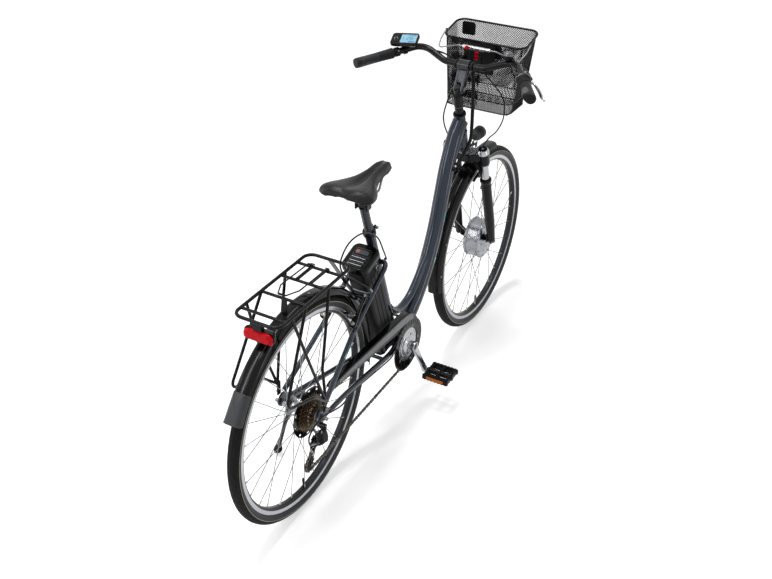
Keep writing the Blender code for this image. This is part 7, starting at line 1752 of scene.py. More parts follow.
def fork_lowers():
    shape = Shape(BLACK)
    for side in (1, -1):
        leg = leg_axis(side)
        shape.lathe([(0.0145, 0.3310), (0.0192, 0.3310), (0.0202, 0.3300), (0.0205, 0.3280), (0.0205, 0.3225),
                     (0.0198, 0.3200), (0.0180, 0.3150), (0.0180, 0.1250), (0.0172, 0.1100), (0.0148, 0.0600),
                     (0.0132, 0.0300), (0.0110, 0.0285), (0.0, 0.0285), (0.0, 0.30), (0.0145, 0.30)], leg,
                     BLACK, 44)
        shape.lathe([(0.0143, 0.3312), (0.0178, 0.3312), (0.0182, 0.3330), (0.0170, 0.3352),
                     (0.0143, 0.3356)], leg,
                    MATT, 36)
        place = axes_at(FRONT_AXLE, LEFT, STEER_AXIS) @ at(0.0, 0.0, side * 0.053)
        shape.prism([(0.062, -0.034), (0.060, -0.016), (0.012, 0.010), (-0.002, 0.012), (-0.012, 0.004),
                     (-0.012, -0.008), (0.002, -0.016), (0.026, -0.034)], place, -0.003, 0.003, BLACK, 0.0010)
        shape.lathe([(0.0052, -0.0034), (0.0125, -0.0034), (0.0128, 0.0034), (0.0052, 0.0034)], place, BLACK,
                    32)
        brake_boss(shape, front_boss(side), STEER_AHEAD, BLACK)
        for z in (0.300, 0.305):
            shape.lathe([(0.0170, z), (0.01835, z), (0.01835, z + 0.0014), (0.0170, z + 0.0014)], leg, GLOSS,
                        36)
    arch = rounded([on_steering(0.290, 0.026, 0.059), on_steering(0.386, 0.026, 0.035),
                    on_steering(0.386, 0.026, -0.035), on_steering(0.290, 0.026, -0.059)], 0.018, 12)
    shape.tube(arch, 0.007, BLACK, 24)
    shape.tube([on_steering(0.386, 0.0275, x) for x in (0.022, 0.0, -0.022)], [0.0058, 0.0066, 0.0058], BLACK,
               20)
    return shape.piece("fork_legs", "lowers", "fork_lowers", "black_paint")


def motor_plug():
    """The motor's moulded connector and its short lead, clipped to the left leg."""
    shape = Shape(MATT)
    leg = leg_axis(1)
    route = smooth([FRONT_AXLE + Vector((0.0620, -0.010, 0.004)),
                    FRONT_AXLE + Vector((0.0690, -0.004, 0.020)),
                    leg @ Vector((0.0125, 0.0150, 0.060)), leg @ Vector((0.0130, 0.0160, 0.100)),
                    leg @ Vector((0.0110, 0.0190, 0.140))], 26)
    shape.tube(route, 0.0030, JACKET, 12)
    place = axes_at(leg @ Vector((0.0110, 0.0190, 0.140)), STEER_AXIS, LEFT)
    shape.lathe([(0.0, -0.004), (0.0042, -0.004), (0.0060, 0.004), (0.0070, 0.008), (0.0070, 0.030),
                 (0.0058, 0.034),
                 (0.0058, 0.052), (0.0040, 0.058), (0.0, 0.058)], place, MATT, 24)
    for z in (0.010, 0.015, 0.020, 0.025):
        shape.lathe([(0.0060, z), (0.0074, z), (0.0074, z + 0.002), (0.0060, z + 0.002)], place, MATT, 24)
    shape.lathe([(0.0178, 0.150), (0.0188, 0.150), (0.0188, 0.154), (0.0178, 0.154)], leg, GLOSS, 36)
    return shape.piece("motor_connector", "lowers", (), "black_plastic")


STEM_PIVOT = on_steering(0.709, 0.0165)
BAR_CENTRE = STEM_PIVOT + Vector((0.0, -math.cos(math.radians(65.0)), math.sin(math.radians(65.0)))) * 0.0765


def stem_post():
    shape = Shape(BLACK)
    place = axes_at(on_steering(0.0), STEER_AXIS, LEFT)
    shape.lathe([(0.0, 0.500), (0.0125, 0.500), (0.0125, 0.6210), (0.0125, 0.6550), (0.0, 0.6550)], place,
                STEM, 36)
    shape.lathe([(0.0, 0.6523), (0.0148, 0.6523), (0.0155, 0.6533), (0.0155, 0.6700), (0.0150, 0.6712),
                 (0.0155, 0.6724),
                 (0.0155, 0.6945), (0.0146, 0.6960), (0.0, 0.6960)], place, BLACK, 40)
    neck = [on_steering(0.686), on_steering(0.700, 0.006), STEM_PIVOT]
    shape.tube(smooth(neck, 10), 0.013, BLACK, 28)
    shape.lathe([(0.0, -0.0075), (0.0162, -0.0075), (0.0170, -0.0068), (0.0170, 0.0068), (0.0162, 0.0075),
                 (0.0, 0.0075)], across(STEM_PIVOT), BLACK, 40)
    return shape.piece("stem_quill", "stem", "stem_post", "black_paint")


def stem_arm():
    """Forged arm: two cheeks about the neck, an oval pivot cap each side and a two-bolt bar clamp."""
    shape = Shape(STEM)
    place = axes_at(STEM_PIVOT, LEFT, BAR_CENTRE - STEM_PIVOT)
    corners = [(-0.0150, 0.0), (-0.013, -0.010), (-0.006, -0.0155), (0.010, -0.0145), (0.052, -0.012),
               (0.060, -0.012),
               (0.060, 0.012), (0.052, 0.012), (0.010, 0.0145), (-0.006, 0.0155), (-0.013, 0.010)]
    for side in (1, -1):
        low, high = sorted((side * 0.0078, side * 0.0170))
        shape.prism(corners, place, low, high, STEM, 0.0028)
        cap = place @ at(0.0, 0.0, side * 0.0170)
        if side < 0:
            cap = cap @ Matrix.Rotation(math.pi, 4, "X")
        shape.prism(oblong(0.0330, 0.0210, 0.0104), cap @ at(0.006, 0.0, 0.0), -0.001, 0.0016, MATT, 0.0007)
        shape.lathe([(0.0, 0.0005), (0.0078, 0.0005), (0.0080, 0.0026), (0.0072, 0.0030), (0.0046, 0.0030),
                     (0.0042, 0.0018), (0.0, 0.0018)], cap, STEEL, 28)
    shape.block((0.040, 0.0225, 0.0300), place @ at(0.0400, 0.0, 0.0), STEM, 0.0050)
    clamp = across(BAR_CENTRE)
    shape.lathe([(0.0130, -0.0195), (0.0176, -0.0195), (0.0187, -0.0184), (0.0187, 0.0184), (0.0176, 0.0195),
                 (0.0130, 0.0195)], clamp, STEM, 44)
    ahead = axes_at(BAR_CENTRE, place.col[0].xyz, LEFT)
    for x in (-0.0120, 0.0120):
        for y in (-0.0135, 0.0135):
            shape.rod(ahead @ at(x, y, 0.0), 0.0032, 0.0060, 0.0150, STEM, 16)
            shape.rod(ahead @ at(x, y, 0.0), 0.0024, 0.0146, 0.0160, STEEL, 6)
    shape.block((0.0385, 0.0016, 0.0270), ahead @ at(0.0, 0.0178, 0.0) , BLACK, 0.0003)
    return shape.piece("stem_arm_forging", "cockpit", "stem_arm", "stem_grey")


def bar_points(side):
    return [BAR_CENTRE, BAR_CENTRE + Vector((side * 0.074, -0.002, 0.002)),
            BAR_CENTRE + Vector((side * 0.166, -0.028, 0.034)),
            BAR_CENTRE + Vector((side * 0.306, 0.179, 0.006))]


def grip_frame(side, back):
    inner, end = bar_points(side)[2:]
    outward = (end - inner).normalized()
    level = Vector((side * outward.y, -abs(outward.x), 0.0)) if side > 0 else Vector((-outward.y,
                                                                                      -abs(outward.x), 0.0))
    level.normalize()
    towards = (level * math.cos(math.radians(28.0)) - UP * math.sin(math.radians(28.0))).normalized()
    return axes_at(end - outward * back, outward, towards)


def handlebar():
    shape = Shape(BLACK)
    left = rounded(bar_points(1), [0.06, 0.05], 14)
    right = rounded(bar_points(-1), [0.06, 0.05], 14)
    shape.tube(list(reversed(right)) + left[1:], BAR_RADIUS, BLACK, 32)
    shape.rod(across(BAR_CENTRE), 0.0127, -0.024, 0.024, BLACK, 36, 0.0006)
    shape.rod(across(BAR_CENTRE), 0.01285, 0.0215, 0.0222, WHITE, 36, 0.0)
    for side in (1, -1):
        place = grip_frame(side, LEVER_BACK[side])
        shape.lathe([(0.0112, -0.008), (0.0148, -0.008), (0.0156, -0.007), (0.0156, 0.007), (0.0148, 0.008),
                     (0.0112, 0.008)], place, GLOSS, 36)
        for flip in (1, -1):
            shape.block((0.030, 0.0036, 0.018), place @ at(0.0220, flip * 0.0061, -0.002), GLOSS, 0.0014)
            shape.block((0.010, 0.0036, 0.030), place @ at(0.0310, flip * 0.0052, -0.022), GLOSS, 0.0014)
        shape.block((0.0120, 0.0120, 0.0150), place @ at(0.0160, 0.0, -0.0030), GLOSS, 0.0020)
        shape.block((0.0100, 0.0110, 0.0120), place @ at(0.0300, 0.0, -0.0330), GLOSS, 0.0020)
        shape.rod(place @ at(0.0270, 0.0, -0.0390), 0.0046, -0.0010, 0.0030, SILVER_AND_HIGHLIGHT, 24)
        shape.lathe([(0.0, -0.0485), (0.0036, -0.0485), (0.0042, -0.0470), (0.0042, -0.0420),
                     (0.0052, -0.0410),
                     (0.0052, -0.0380), (0.0, -0.0380)], place @ at(0.0255, 0.0, 0.0), SILVER_AND_HIGHLIGHT, 20)
        shape.rod(place @ at(-0.0150, 0.0, 0.0) @ Matrix.Rotation(math.pi / 2, 4, "Y"), 0.0028, -0.003, 0.003,
                  STEEL,
                  12)
    top = BAR_CENTRE
    for side in (1, -1):
        shape.block((0.007, 0.062, 0.020), at(top.x + side * 0.0285, top.y - 0.031, top.z + 0.004), MATT,
                    0.0018)
        shape.lathe([(0.0112, -0.0034), (0.0150, -0.0034), (0.0158, -0.0026), (0.0158, 0.0026),
                     (0.0150, 0.0034),
                     (0.0112, 0.0034)], across(top) @ at(0.0, 0.0, side * 0.0285), MATT, 32)
    for x, wide in ((0.0200, 0.0295), (-0.0200, 0.0295)):
        shape.block((wide, 0.012, 0.056), at(top.x + x, top.y - 0.066, top.z + 0.004), MATT, 0.0016)
    shape.block((0.0125, 0.012, 0.0225), at(top.x, top.y - 0.066, top.z - 0.0125), MATT, 0.0012)
    for x in (-0.026, 0.026):
        shape.rod(axes_at((top.x + x, top.y - 0.0600, top.z - 0.012), (0, 1, 0)), 0.0030, -0.0005, 0.0018,
                  STEEL, 6)
    for i in range(3):
        shape.block((0.0150, 0.0020, 0.0062), at(top.x - 0.0130, top.y - 0.0596, top.z + 0.0270 - 0.0115 * i),
                    RED,
                    0.0006)
    return shape.piece("bar_and_brackets", "cockpit", "handlebar", "black_paint")


def lever(side, body):
    shape = Shape(SILVER_AND_HIGHLIGHT)
    place = grip_frame(side, LEVER_BACK[side])
    points = [(0.031, 0, 0.004), (0.036, 0, 0.015), (0.044, 0, 0.026), (0.0495, 0, 0.044), (0.052, 0, 0.062),
              (0.0528, 0, 0.080), (0.053, 0, 0.098), (0.0555, 0, 0.108), (0.059, 0, 0.1145),
              (0.060, 0, 0.116)]
    widths = (0.0062, 0.0070, 0.0078, 0.0098, 0.0108, 0.0110, 0.0110, 0.0118, 0.0112, 0.0080)
    thicks = (0.0120, 0.0105, 0.0080, 0.0068, 0.0060, 0.0054, 0.0052, 0.0058, 0.0068, 0.0050)
    path = smooth([place @ Vector(p) for p in points], 40)
    rings = []
    for i, point in enumerate(path):
        share = i / 39 * (len(widths) - 1)
        k = min(int(share), len(widths) - 2)
        wide = widths[k] + (widths[k + 1] - widths[k]) * (share - k)
        thick = thicks[k] + (thicks[k + 1] - thicks[k]) * (share - k)
        ahead = (path[min(i + 1, 39)] - path[max(i - 1, 0)]).normalized()
        flat_side = place.col[1].xyz
        out = ahead.cross(flat_side).normalized()
        ring = []
        for x, y in oblong(wide, thick, min(wide, thick) * 0.42, 4):
            ring.append(point + flat_side * x + out * y)
        rings.append(ring)
    shape.loft(rings, SILVER_AND_HIGHLIGHT)
    pin = place @ at(0.032, 0.0, 0.001) @ Matrix.Rotation(math.pi / 2, 4, "X")
    shape.rod(pin, 0.0065, -0.0034, 0.0034, SILVER_AND_HIGHLIGHT, 26, 0.0006)
    shape.rod(pin, 0.0022, -0.0038, 0.0038, STEEL, 14)
    name = "left" if side > 0 else "right"
    return shape.piece("brake_blade_" + name, body, "brake_lever_" + name, "crank")


def grip(side, length, body):
    """Ergonomic grip: a round rubber core with end lips, a palm wing and a pattern of studs."""
    name = "left" if side > 0 else "right"
    place = grip_frame(side, 0.0)
    stations = [(0.0, 1.0, 0.0), (0.02, 1.05, 0.0004), (0.05, 1.06, 0.001), (0.20, 1.02, 0.0015),
                (0.45, 0.98, 0.003),
                (0.60, 0.985, 0.006), (0.75, 1.0, 0.009), (0.86, 1.02, 0.0115), (0.94, 1.02, 0.012),
                (0.985, 0.96, 0.0105),
                (1.0, 0.86, 0.009)]
    # The left grip's palm takes the darker copy of the palm rubber, as painted shade; the right takes the
    # palm rubber itself.
    core, palm = Shape(GRIP), Shape(PALM_IN_PAINTED_SHADE if side > 0 else PALM)
    rings = []
    radius = 0.0165
    back = length
    path = smooth([(share, wide, rest) for share, wide, rest in stations], 46)
    for share, wide, rest in path:
        z = -back + share * (length + 0.004)
        ring = []
        for k in range(48):
            angle = 2 * math.pi * k / 48
            x, y = radius * wide * math.cos(angle), radius * wide * math.sin(angle)
            pull = max(0.0, -x / radius) ** 2
            x -= rest * pull
            ring.append(place @ Vector((x, y, z)))
        rings.append(ring)
    core.loft(rings, GRIP)
    for i in range(14):
        share = 0.12 + 0.055 * i
        z = -back + share * (length + 0.004)
        for k in range(7):
            angle = math.radians(-54.0 + 18.0 * k)
            spot = place @ Vector((radius * 0.99 * math.cos(angle), radius * 0.99 * math.sin(angle), z))
            out = (place.to_3x3() @ Vector((math.cos(angle), math.sin(angle), 0.0)))
            core.prism(oblong(0.0042, 0.0034, 0.0010, 2), axes_at(spot, out, place.col[2].xyz), -0.0010,
                       0.0005, GRIP,
                       0.0002)
    core.lathe([(0.0112, -back - 0.0002), (0.0168, -back - 0.0002), (0.0176, -back + 0.0012),
                (0.0172, -back + 0.0040),
                (0.0112, -back + 0.0045)], place, GLOSS, 40)
    core.lathe([(0.0, 0.0020), (0.0125, 0.0020), (0.0130, 0.0036), (0.0110, 0.0044), (0.0, 0.0046)], place,
               MATT, 30)
    core.piece("grip_core_" + name, body, "grip_" + name, "grip")
    rings = []
    for i in range(24):
        share = 0.40 + 0.56 * i / 23
        index = min(int(share * 45), 45)
        _, wide, rest = path[index]
        z = -back + share * (length + 0.004)
        ring = []
        spread = 56.0 * math.sin(math.pi * min(1.0, 0.12 + 0.88 * i / 23)) ** 0.4
        for lift in (0.0009, -0.0006):
            turns = [180.0 - spread + 2 * spread * k / 14 for k in range(15)]
            for turn in (turns if lift > 0 else reversed(turns)):
                angle = math.radians(turn)
                edge = abs(turn - 180.0) / max(spread, 1.0)
                x, y = radius * wide * math.cos(angle), radius * wide * math.sin(angle)
                x -= rest * max(0.0, -x / radius) ** 2
                push = lift * (1.0 - edge ** 6) if lift > 0 else lift
                ring.append(place @ Vector((x + push * math.cos(angle), y + push * math.sin(angle), z)))
        rings.append(ring)
    palm.loft(rings)
    return palm.piece("grip_palm_" + name, body, (), "grip")


def shifter():
    shape = Shape(MATT)
    place = grip_frame(-1, 0.0)
    start, end = 0.0888, 0.1408
    shape.lathe([(0.0114, -end), (0.0176, -end), (0.0186, -end + 0.0010), (0.0200, -end + 0.0050),
                 (0.0232, -end + 0.0095),
                 (0.0236, -end + 0.0110), (0.0236, -end + 0.0250), (0.0230, -end + 0.0262),
                 (0.0196, -end + 0.0310),
                 (0.0186, -end + 0.0330), (0.0182, -start - 0.0010), (0.0174, -start), (0.0114, -start)],
                 place, MATT, 56)
    for i in range(22):
        turn = place @ Matrix.Rotation(2 * math.pi * i / 22, 4, "Z")
        shape.block((0.0022, 0.0022, 0.0170), turn @ at(0.0183, 0.0, -start - 0.0095), GRIP, 0.0007)
    shape.lathe([(0.0225, -end + 0.0130), (0.0240, -end + 0.0132), (0.0240, -end + 0.0150),
                 (0.0225, -end + 0.0152)],
                place, CHROME, 56)
    window = place @ Matrix.Rotation(math.radians(150.0), 4, "Z")
    shape.block((0.0012, 0.0180, 0.0080), window @ at(0.0236, 0.0, -end + 0.0205), WINDOW, 0.0003)
    shape.block((0.0010, 0.0026, 0.0070), window @ at(0.0240, 0.002, -end + 0.0205), RED, 0.0002)
    return shape.piece("twist_ring", "shifter", "twist_shifter", "black_plastic")


def bell():
    shape = Shape(GLOSS)
    place = axes_at((-0.14, -0.4194, 1.1252), (0, -0.12, 1), LEFT)
    shape.lathe([(0.0, 0.0), (0.0140, 0.0), (0.0160, 0.0012), (0.0165, 0.0030), (0.0165, 0.0120),
                 (0.0160, 0.0130),
                 (0.0, 0.0130)], place, GLOSS, 44)
    for i in range(20):
        turn = place @ Matrix.Rotation(2 * math.pi * i / 20, 4, "Z")
        shape.block((0.0010, 0.0016, 0.0080), turn @ at(0.0163, 0.0, 0.0072), MATT, 0.0003)
    shape.lathe([(0.0, 0.0130), (0.0160, 0.0130), (0.0165, 0.0140), (0.0164, 0.0160), (0.0150, 0.0208),
                 (0.0120, 0.0238),
                 (0.0070, 0.0252), (0.0, 0.0255)], place, GREY, 44)
    shape.block((0.0080, 0.0100, 0.0060), place @ at(-0.0180, 0.0, 0.0060), GLOSS, 0.0014)
    return shape.piece("bell_dome", "bell", "bell", "black_plastic")


def display_frame():
    inner, end = bar_points(1)[2:]
    outward = (end - inner).normalized()
    along = Vector((outward.x, outward.y, 0.0)).normalized()
    middle = end - outward * 0.187
    return axes_at(middle + Vector((0.004, 0.006, 0.0326)), (0, 0.42, 1),
                   Vector((0.9, 0.10, 0)) + along * 0.15)


def display():
    """Head unit: bezel, lit screen with generic gauges and digits, keys, and its clamp on the bar."""
    shape = Shape(GLOSS)
    place = display_frame()
    shape.tapered([(oblong(0.083, 0.049, 0.009), -0.008), (oblong(0.086, 0.052, 0.010), -0.0068),
                   (oblong(0.092, 0.057, 0.011), -0.003), (oblong(0.092, 0.057, 0.011), 0.0048),
                   (oblong(0.0905, 0.0555, 0.010), 0.0060)], place, GLOSS)
    shape.prism(oblong(0.054, 0.040, 0.002), place @ at(-0.014, 0.0, 0.0), 0.0050, 0.0062, SCREEN, 0.0001)

    def mark(x, y, wide, tall):
        shape.block((wide, tall, 0.0003), place @ at(-0.014 + x, y, 0.0063), SEGMENT, 0.0)

    for column, lit in ((-0.009, "abcdefg"), (0.003, "abged"), (0.015, "bc")):
        for letter in lit:
            wide, tall, x, y = {"a": (0.006, 0.0014, 0, 0.0075), "d": (0.006, 0.0014, 0, -0.0075),
                                "g": (0.006, 0.0014, 0, 0.0), "b": (0.0014, 0.006, 0.0038, 0.0038),
                                "c": (0.0014, 0.006, 0.0038, -0.0038), "e": (0.0014, 0.006, -0.0038, -0.0038),
                                "f": (0.0014, 0.006, -0.0038, 0.0038)}[letter]
            mark(column + x, y - 0.001, wide, tall)
    for i in range(6):
        mark(-0.021 + 0.0036 * i, 0.0155, 0.0026, 0.0040)
        mark(-0.021 + 0.0044 * i, -0.0155, 0.0034, 0.0022)
    for y in (0.013, -0.013):
        shape.prism(oblong(0.012, 0.0090, 0.003), place @ at(0.0300, y, 0.0), 0.0050, 0.0072, MATT, 0.0008)
    shape.lathe([(0.0055, 0.0050), (0.0072, 0.0050), (0.0070, 0.0066), (0.0055, 0.0064)],
                place @ at(0.0300, 0.0, 0.0),
                CHROME, 28)
    ring = grip_frame(1, 0.180)
    shape.lathe([(0.0112, -0.006), (0.0144, -0.006), (0.0151, -0.005), (0.0151, 0.005), (0.0144, 0.006),
                 (0.0112, 0.006)], ring, GLOSS, 36)
    top = place @ Vector((0.0, 0.0, -0.007))
    foot = grip_frame(1, 0.187) @ Vector((0.0, 0.0, 0.0))
    shape.tube([foot + (top - foot).normalized() * 0.011, top], 0.006, GLOSS, 18)
    return shape.piece("display_unit", "cockpit", "display", "black_plastic")


def display_button():
    shape = Shape(GRIP)
    place = display_frame() @ at(0.030, 0.0, 0.0)
    shape.lathe([(0.0, 0.0034), (0.0050, 0.0034), (0.0050, 0.0070), (0.0044, 0.0078), (0.0030, 0.0075),
                 (0.0, 0.0073)],
                place, MATT, 28)
    return shape.piece("mode_key", "button", "display_button", "button")


# Basket

BASKET_BACK = (Vector((0, -0.109, -0.197)), Vector((0, -0.137, 0.041)))
BASKET_FRONT = (Vector((0, -0.258, -0.197)), Vector((0, -0.262, 0.068)))


def basket_level(height):
    """Place, width and depth of the basket's outline at this share of its height."""
    back = BAR_CENTRE + BASKET_BACK[0].lerp(BASKET_BACK[1], height)
    front = BAR_CENTRE + BASKET_FRONT[0].lerp(BASKET_FRONT[1], height)
    place = axes_at((back + front) / 2, LEFT.cross(back - front), LEFT)
    return place, 0.24 + 0.06 * height, (front - back).length


def basket_loop(height, grow=0.0, count=120):
    """Points spread evenly round the outline, from the middle of the back."""
    place, width, depth = basket_level(height)
    outline = [Vector(p) for p in oblong(width + 2 * grow, depth + 2 * grow, 0.030 + grow, 8)]
    start = max(range(len(outline)), key=lambda i: (round(outline[i].y, 5), -abs(outline[i].x)))
    outline = outline[start:] + outline[:start]
    outline = [Vector((0.0, outline[0].y))] + [p for p in outline] + [Vector((0.0, outline[0].y))]
    steps = [(b - a).length for a, b in zip(outline, outline[1:])]
    points, travelled, index = [], 0.0, 0
    for i in range(count):
        wanted = sum(steps) * i / count
        while travelled + steps[index] < wanted:
            travelled += steps[index]
            index += 1
        spot = outline[index].lerp(outline[index + 1], (wanted - travelled) / max(steps[index], 1e-9))
        points.append(place @ Vector((spot.x, spot.y, 0.0)))
    return points


def basket_mesh(shape, columns, rows, low, high, radius):
    """Two families of wires that climb the wall at a slant, as in expanded mesh."""
    sub = 2
    loops = [basket_loop(low + (high - low) * r / rows, -0.0022, columns * sub) for r in range(rows + 1)]
    for way in (1, -1):
        for k in range(columns):
            path = [loops[r][(k * sub + way * r) % (columns * sub)] for r in range(rows + 1)]
            shape.tube(path, radius, BLACK, 4, caps=False)


def basket():
    shape = Shape(BLACK)
    basket_mesh(shape, 136, 60, 0.165, 0.985, 0.00104)
    band = basket_loop(0.165, -0.0018, 200)
    shape.tube(band, 0.0016, BLACK, 8, closed=True)
    lower = basket_loop(0.020, -0.0018, 200)
    shape.tube(lower, 0.0022, BLACK, 8, closed=True)
    for low, high in zip(basket_loop(0.012, -0.0020, 168), basket_loop(0.168, -0.0020, 168)):
        shape.tube([low, high], 0.0011, BLACK, 5)
    rim = [basket_loop(0.985, 0.0002, 220)]
    shape.tube(rim[0], 0.0036, BLACK, 14, closed=True)
    place, width, depth = basket_level(0.012)
    half = Vector((width / 2 - 0.006, depth / 2 - 0.006))
    step = 0.0066
    count = int((half.x + half.y) * 2 / step)
    for i in range(-count, count + 1):
        for way in (1, -1):
            ends = []
            offset = i * step * 1.414
            for y in (-half.y, half.y):
                ends.append(Vector((offset + way * y, y)))
            line = clip(ends[0], ends[1], half)
            if line:
                shape.tube([place @ Vector((p.x, p.y, -0.0004 * way)) for p in line], 0.0009, BLACK, 4)
    seam = []
    for i in range(61):
        h = 0.03 + 0.935 * i / 60
        loop = basket_loop(h, 0.0004, 120)
        spot = loop[100].lerp(loop[101], 0.5 + 0.5 * (1 if i % 2 else -1))
        seam.append(spot)
    shape.tube(seam, 0.0010, BLACK, 6)
    other = [basket_loop(0.03 + 0.935 * i / 20, 0.0002, 120)[100].lerp(
        basket_loop(0.03 + 0.935 * i / 20, 0.0002, 120)[101], 0.5) for i in range(21)]
    shape.tube(other, 0.0013, BLACK, 8)
    plate = axes_at(BAR_CENTRE + BASKET_BACK[0].lerp(BASKET_BACK[1], 0.76), BASKET_BACK[1] - BASKET_BACK[0],
                    LEFT)
    shape.prism([(x, z) for x, z in oblong(0.100, 0.100, 0.012, 5)],
                plate @ Matrix.Rotation(-math.pi / 2, 4, "X") @ at(0.0, 0.0, 0.0035), -0.0040, 0.0040, MATT,
                0.0012)
    for x in (-0.036, 0.036):
        for z in (-0.036, 0.036):
            spot = plate @ Vector((x, -0.0008, z))
            shape.rod(axes_at(spot, plate.col[1].xyz * -1), 0.0046, -0.0005, 0.0022, STEEL, 18)
    top = BAR_CENTRE
    shape.block((0.009, 0.076, 0.012), at(top.x, top.y - 0.0985, top.z + 0.014), MATT, 0.0020)
    shape.block((0.0098, 0.009, 0.028), at(top.x, top.y - 0.0655, top.z + 0.018), MATT, 0.0016)
    for spot_index in (33, 87):
        loop = basket_loop(0.875, -0.0036, 120)
        spot = loop[spot_index]
        ahead = (loop[spot_index + 1] - spot).normalized()
        wall = axes_at(spot, ahead.cross(UP), ahead)
        shape.prism(oblong(0.050, 0.046, 0.008, 4), wall, -0.0012, 0.0012, MATT, 0.0005)
        shape.prism(oblong(0.036, 0.032, 0.006, 4), wall, -0.0017, 0.0017, BLACK, 0.0004)
    for side in (1, -1):
        pivot = bail_pivot(side)
        shape.rod(across(pivot), 0.0046, min(side * -0.0040, side * 0.0012),
                  max(side * -0.0040, side * 0.0012), BLACK,
                  18)
    return shape.piece("basket_weave", "basket", "basket", "black_paint", weighted=False)


def clip(start, end, half):
    """The part of a line that lies inside a rectangle of these half sizes."""
    low, high = 0.0, 1.0
    along = end - start
    for axis in (0, 1):
        if abs(along[axis]) < 1e-9:
            if abs(start[axis]) > half[axis]:
                return None
            continue
        first, second = (-half[axis] - start[axis]) / along[axis], (half[axis] - start[axis]) / along[axis]
        low, high = max(low, min(first, second)), min(high, max(first, second))
    return None if high - low < 0.01 else (start + along * low, start + along * high)


def bail_pivot(side):
    return BAR_CENTRE + BASKET_BACK[1].lerp(BASKET_FRONT[1], 0.30) + LEFT * (side * 0.156) - UP * 0.003


def basket_bail():
    """Swinging wire handle with a ribbed sleeve at its middle."""
    shape = Shape(STEEL)
    back = BAR_CENTRE + Vector((0, -0.086, 0.032))
    route = []
    for side in (1, -1):
        end = bail_pivot(side)
        corner = Vector((side * 0.146, back.y - 0.012, back.z - 0.026))
        beside = end.lerp(Vector((end.x, corner.y, corner.z)), 0.5)
        half = [end - LEFT * (side * 0.008), end, beside, corner, Vector((side * 0.070, back.y, back.z))]
        route += half if side > 0 else list(reversed(half))
    wire = rounded(route, [0.01, 0.05, 0.02, 0.03, 0.03, 0.02, 0.05, 0.01], 8)
    shape.tube(wire, 0.0022, STEEL, 14)
    shape.lathe([(0.0, -0.050), (0.0056, -0.050), (0.0060, -0.049), (0.0060, 0.049), (0.0056, 0.050),
                 (0.0, 0.050)],
                across(back), SILVER_AND_HIGHLIGHT, 24)
    for i in range(23):
        x = -0.044 + 0.004 * i
        shape.lathe([(0.0056, x - 0.0010), (0.0062, x - 0.0005), (0.0062, x + 0.0005), (0.0056, x + 0.0010)],
                    across(back), SILVER_AND_HIGHLIGHT, 24)
    return shape.piece("carry_wire", "bail", "basket_bail", "steel")


def basket_release():
    shape = Shape(RED)
    spot = BAR_CENTRE + Vector((0.026, -0.066, 0.0358))
    shape.block((0.0130, 0.0085, 0.0100), at(*spot), RED, 0.0014)
    for i in range(4):
        shape.block((0.0110, 0.0008, 0.0006), at(spot.x, spot.y - 0.0027 + 0.0018 * i, spot.z + 0.0050), RED,
                    0.0002)
    return shape.piece("release_key", "release", "basket_release", "red")


# Brakes

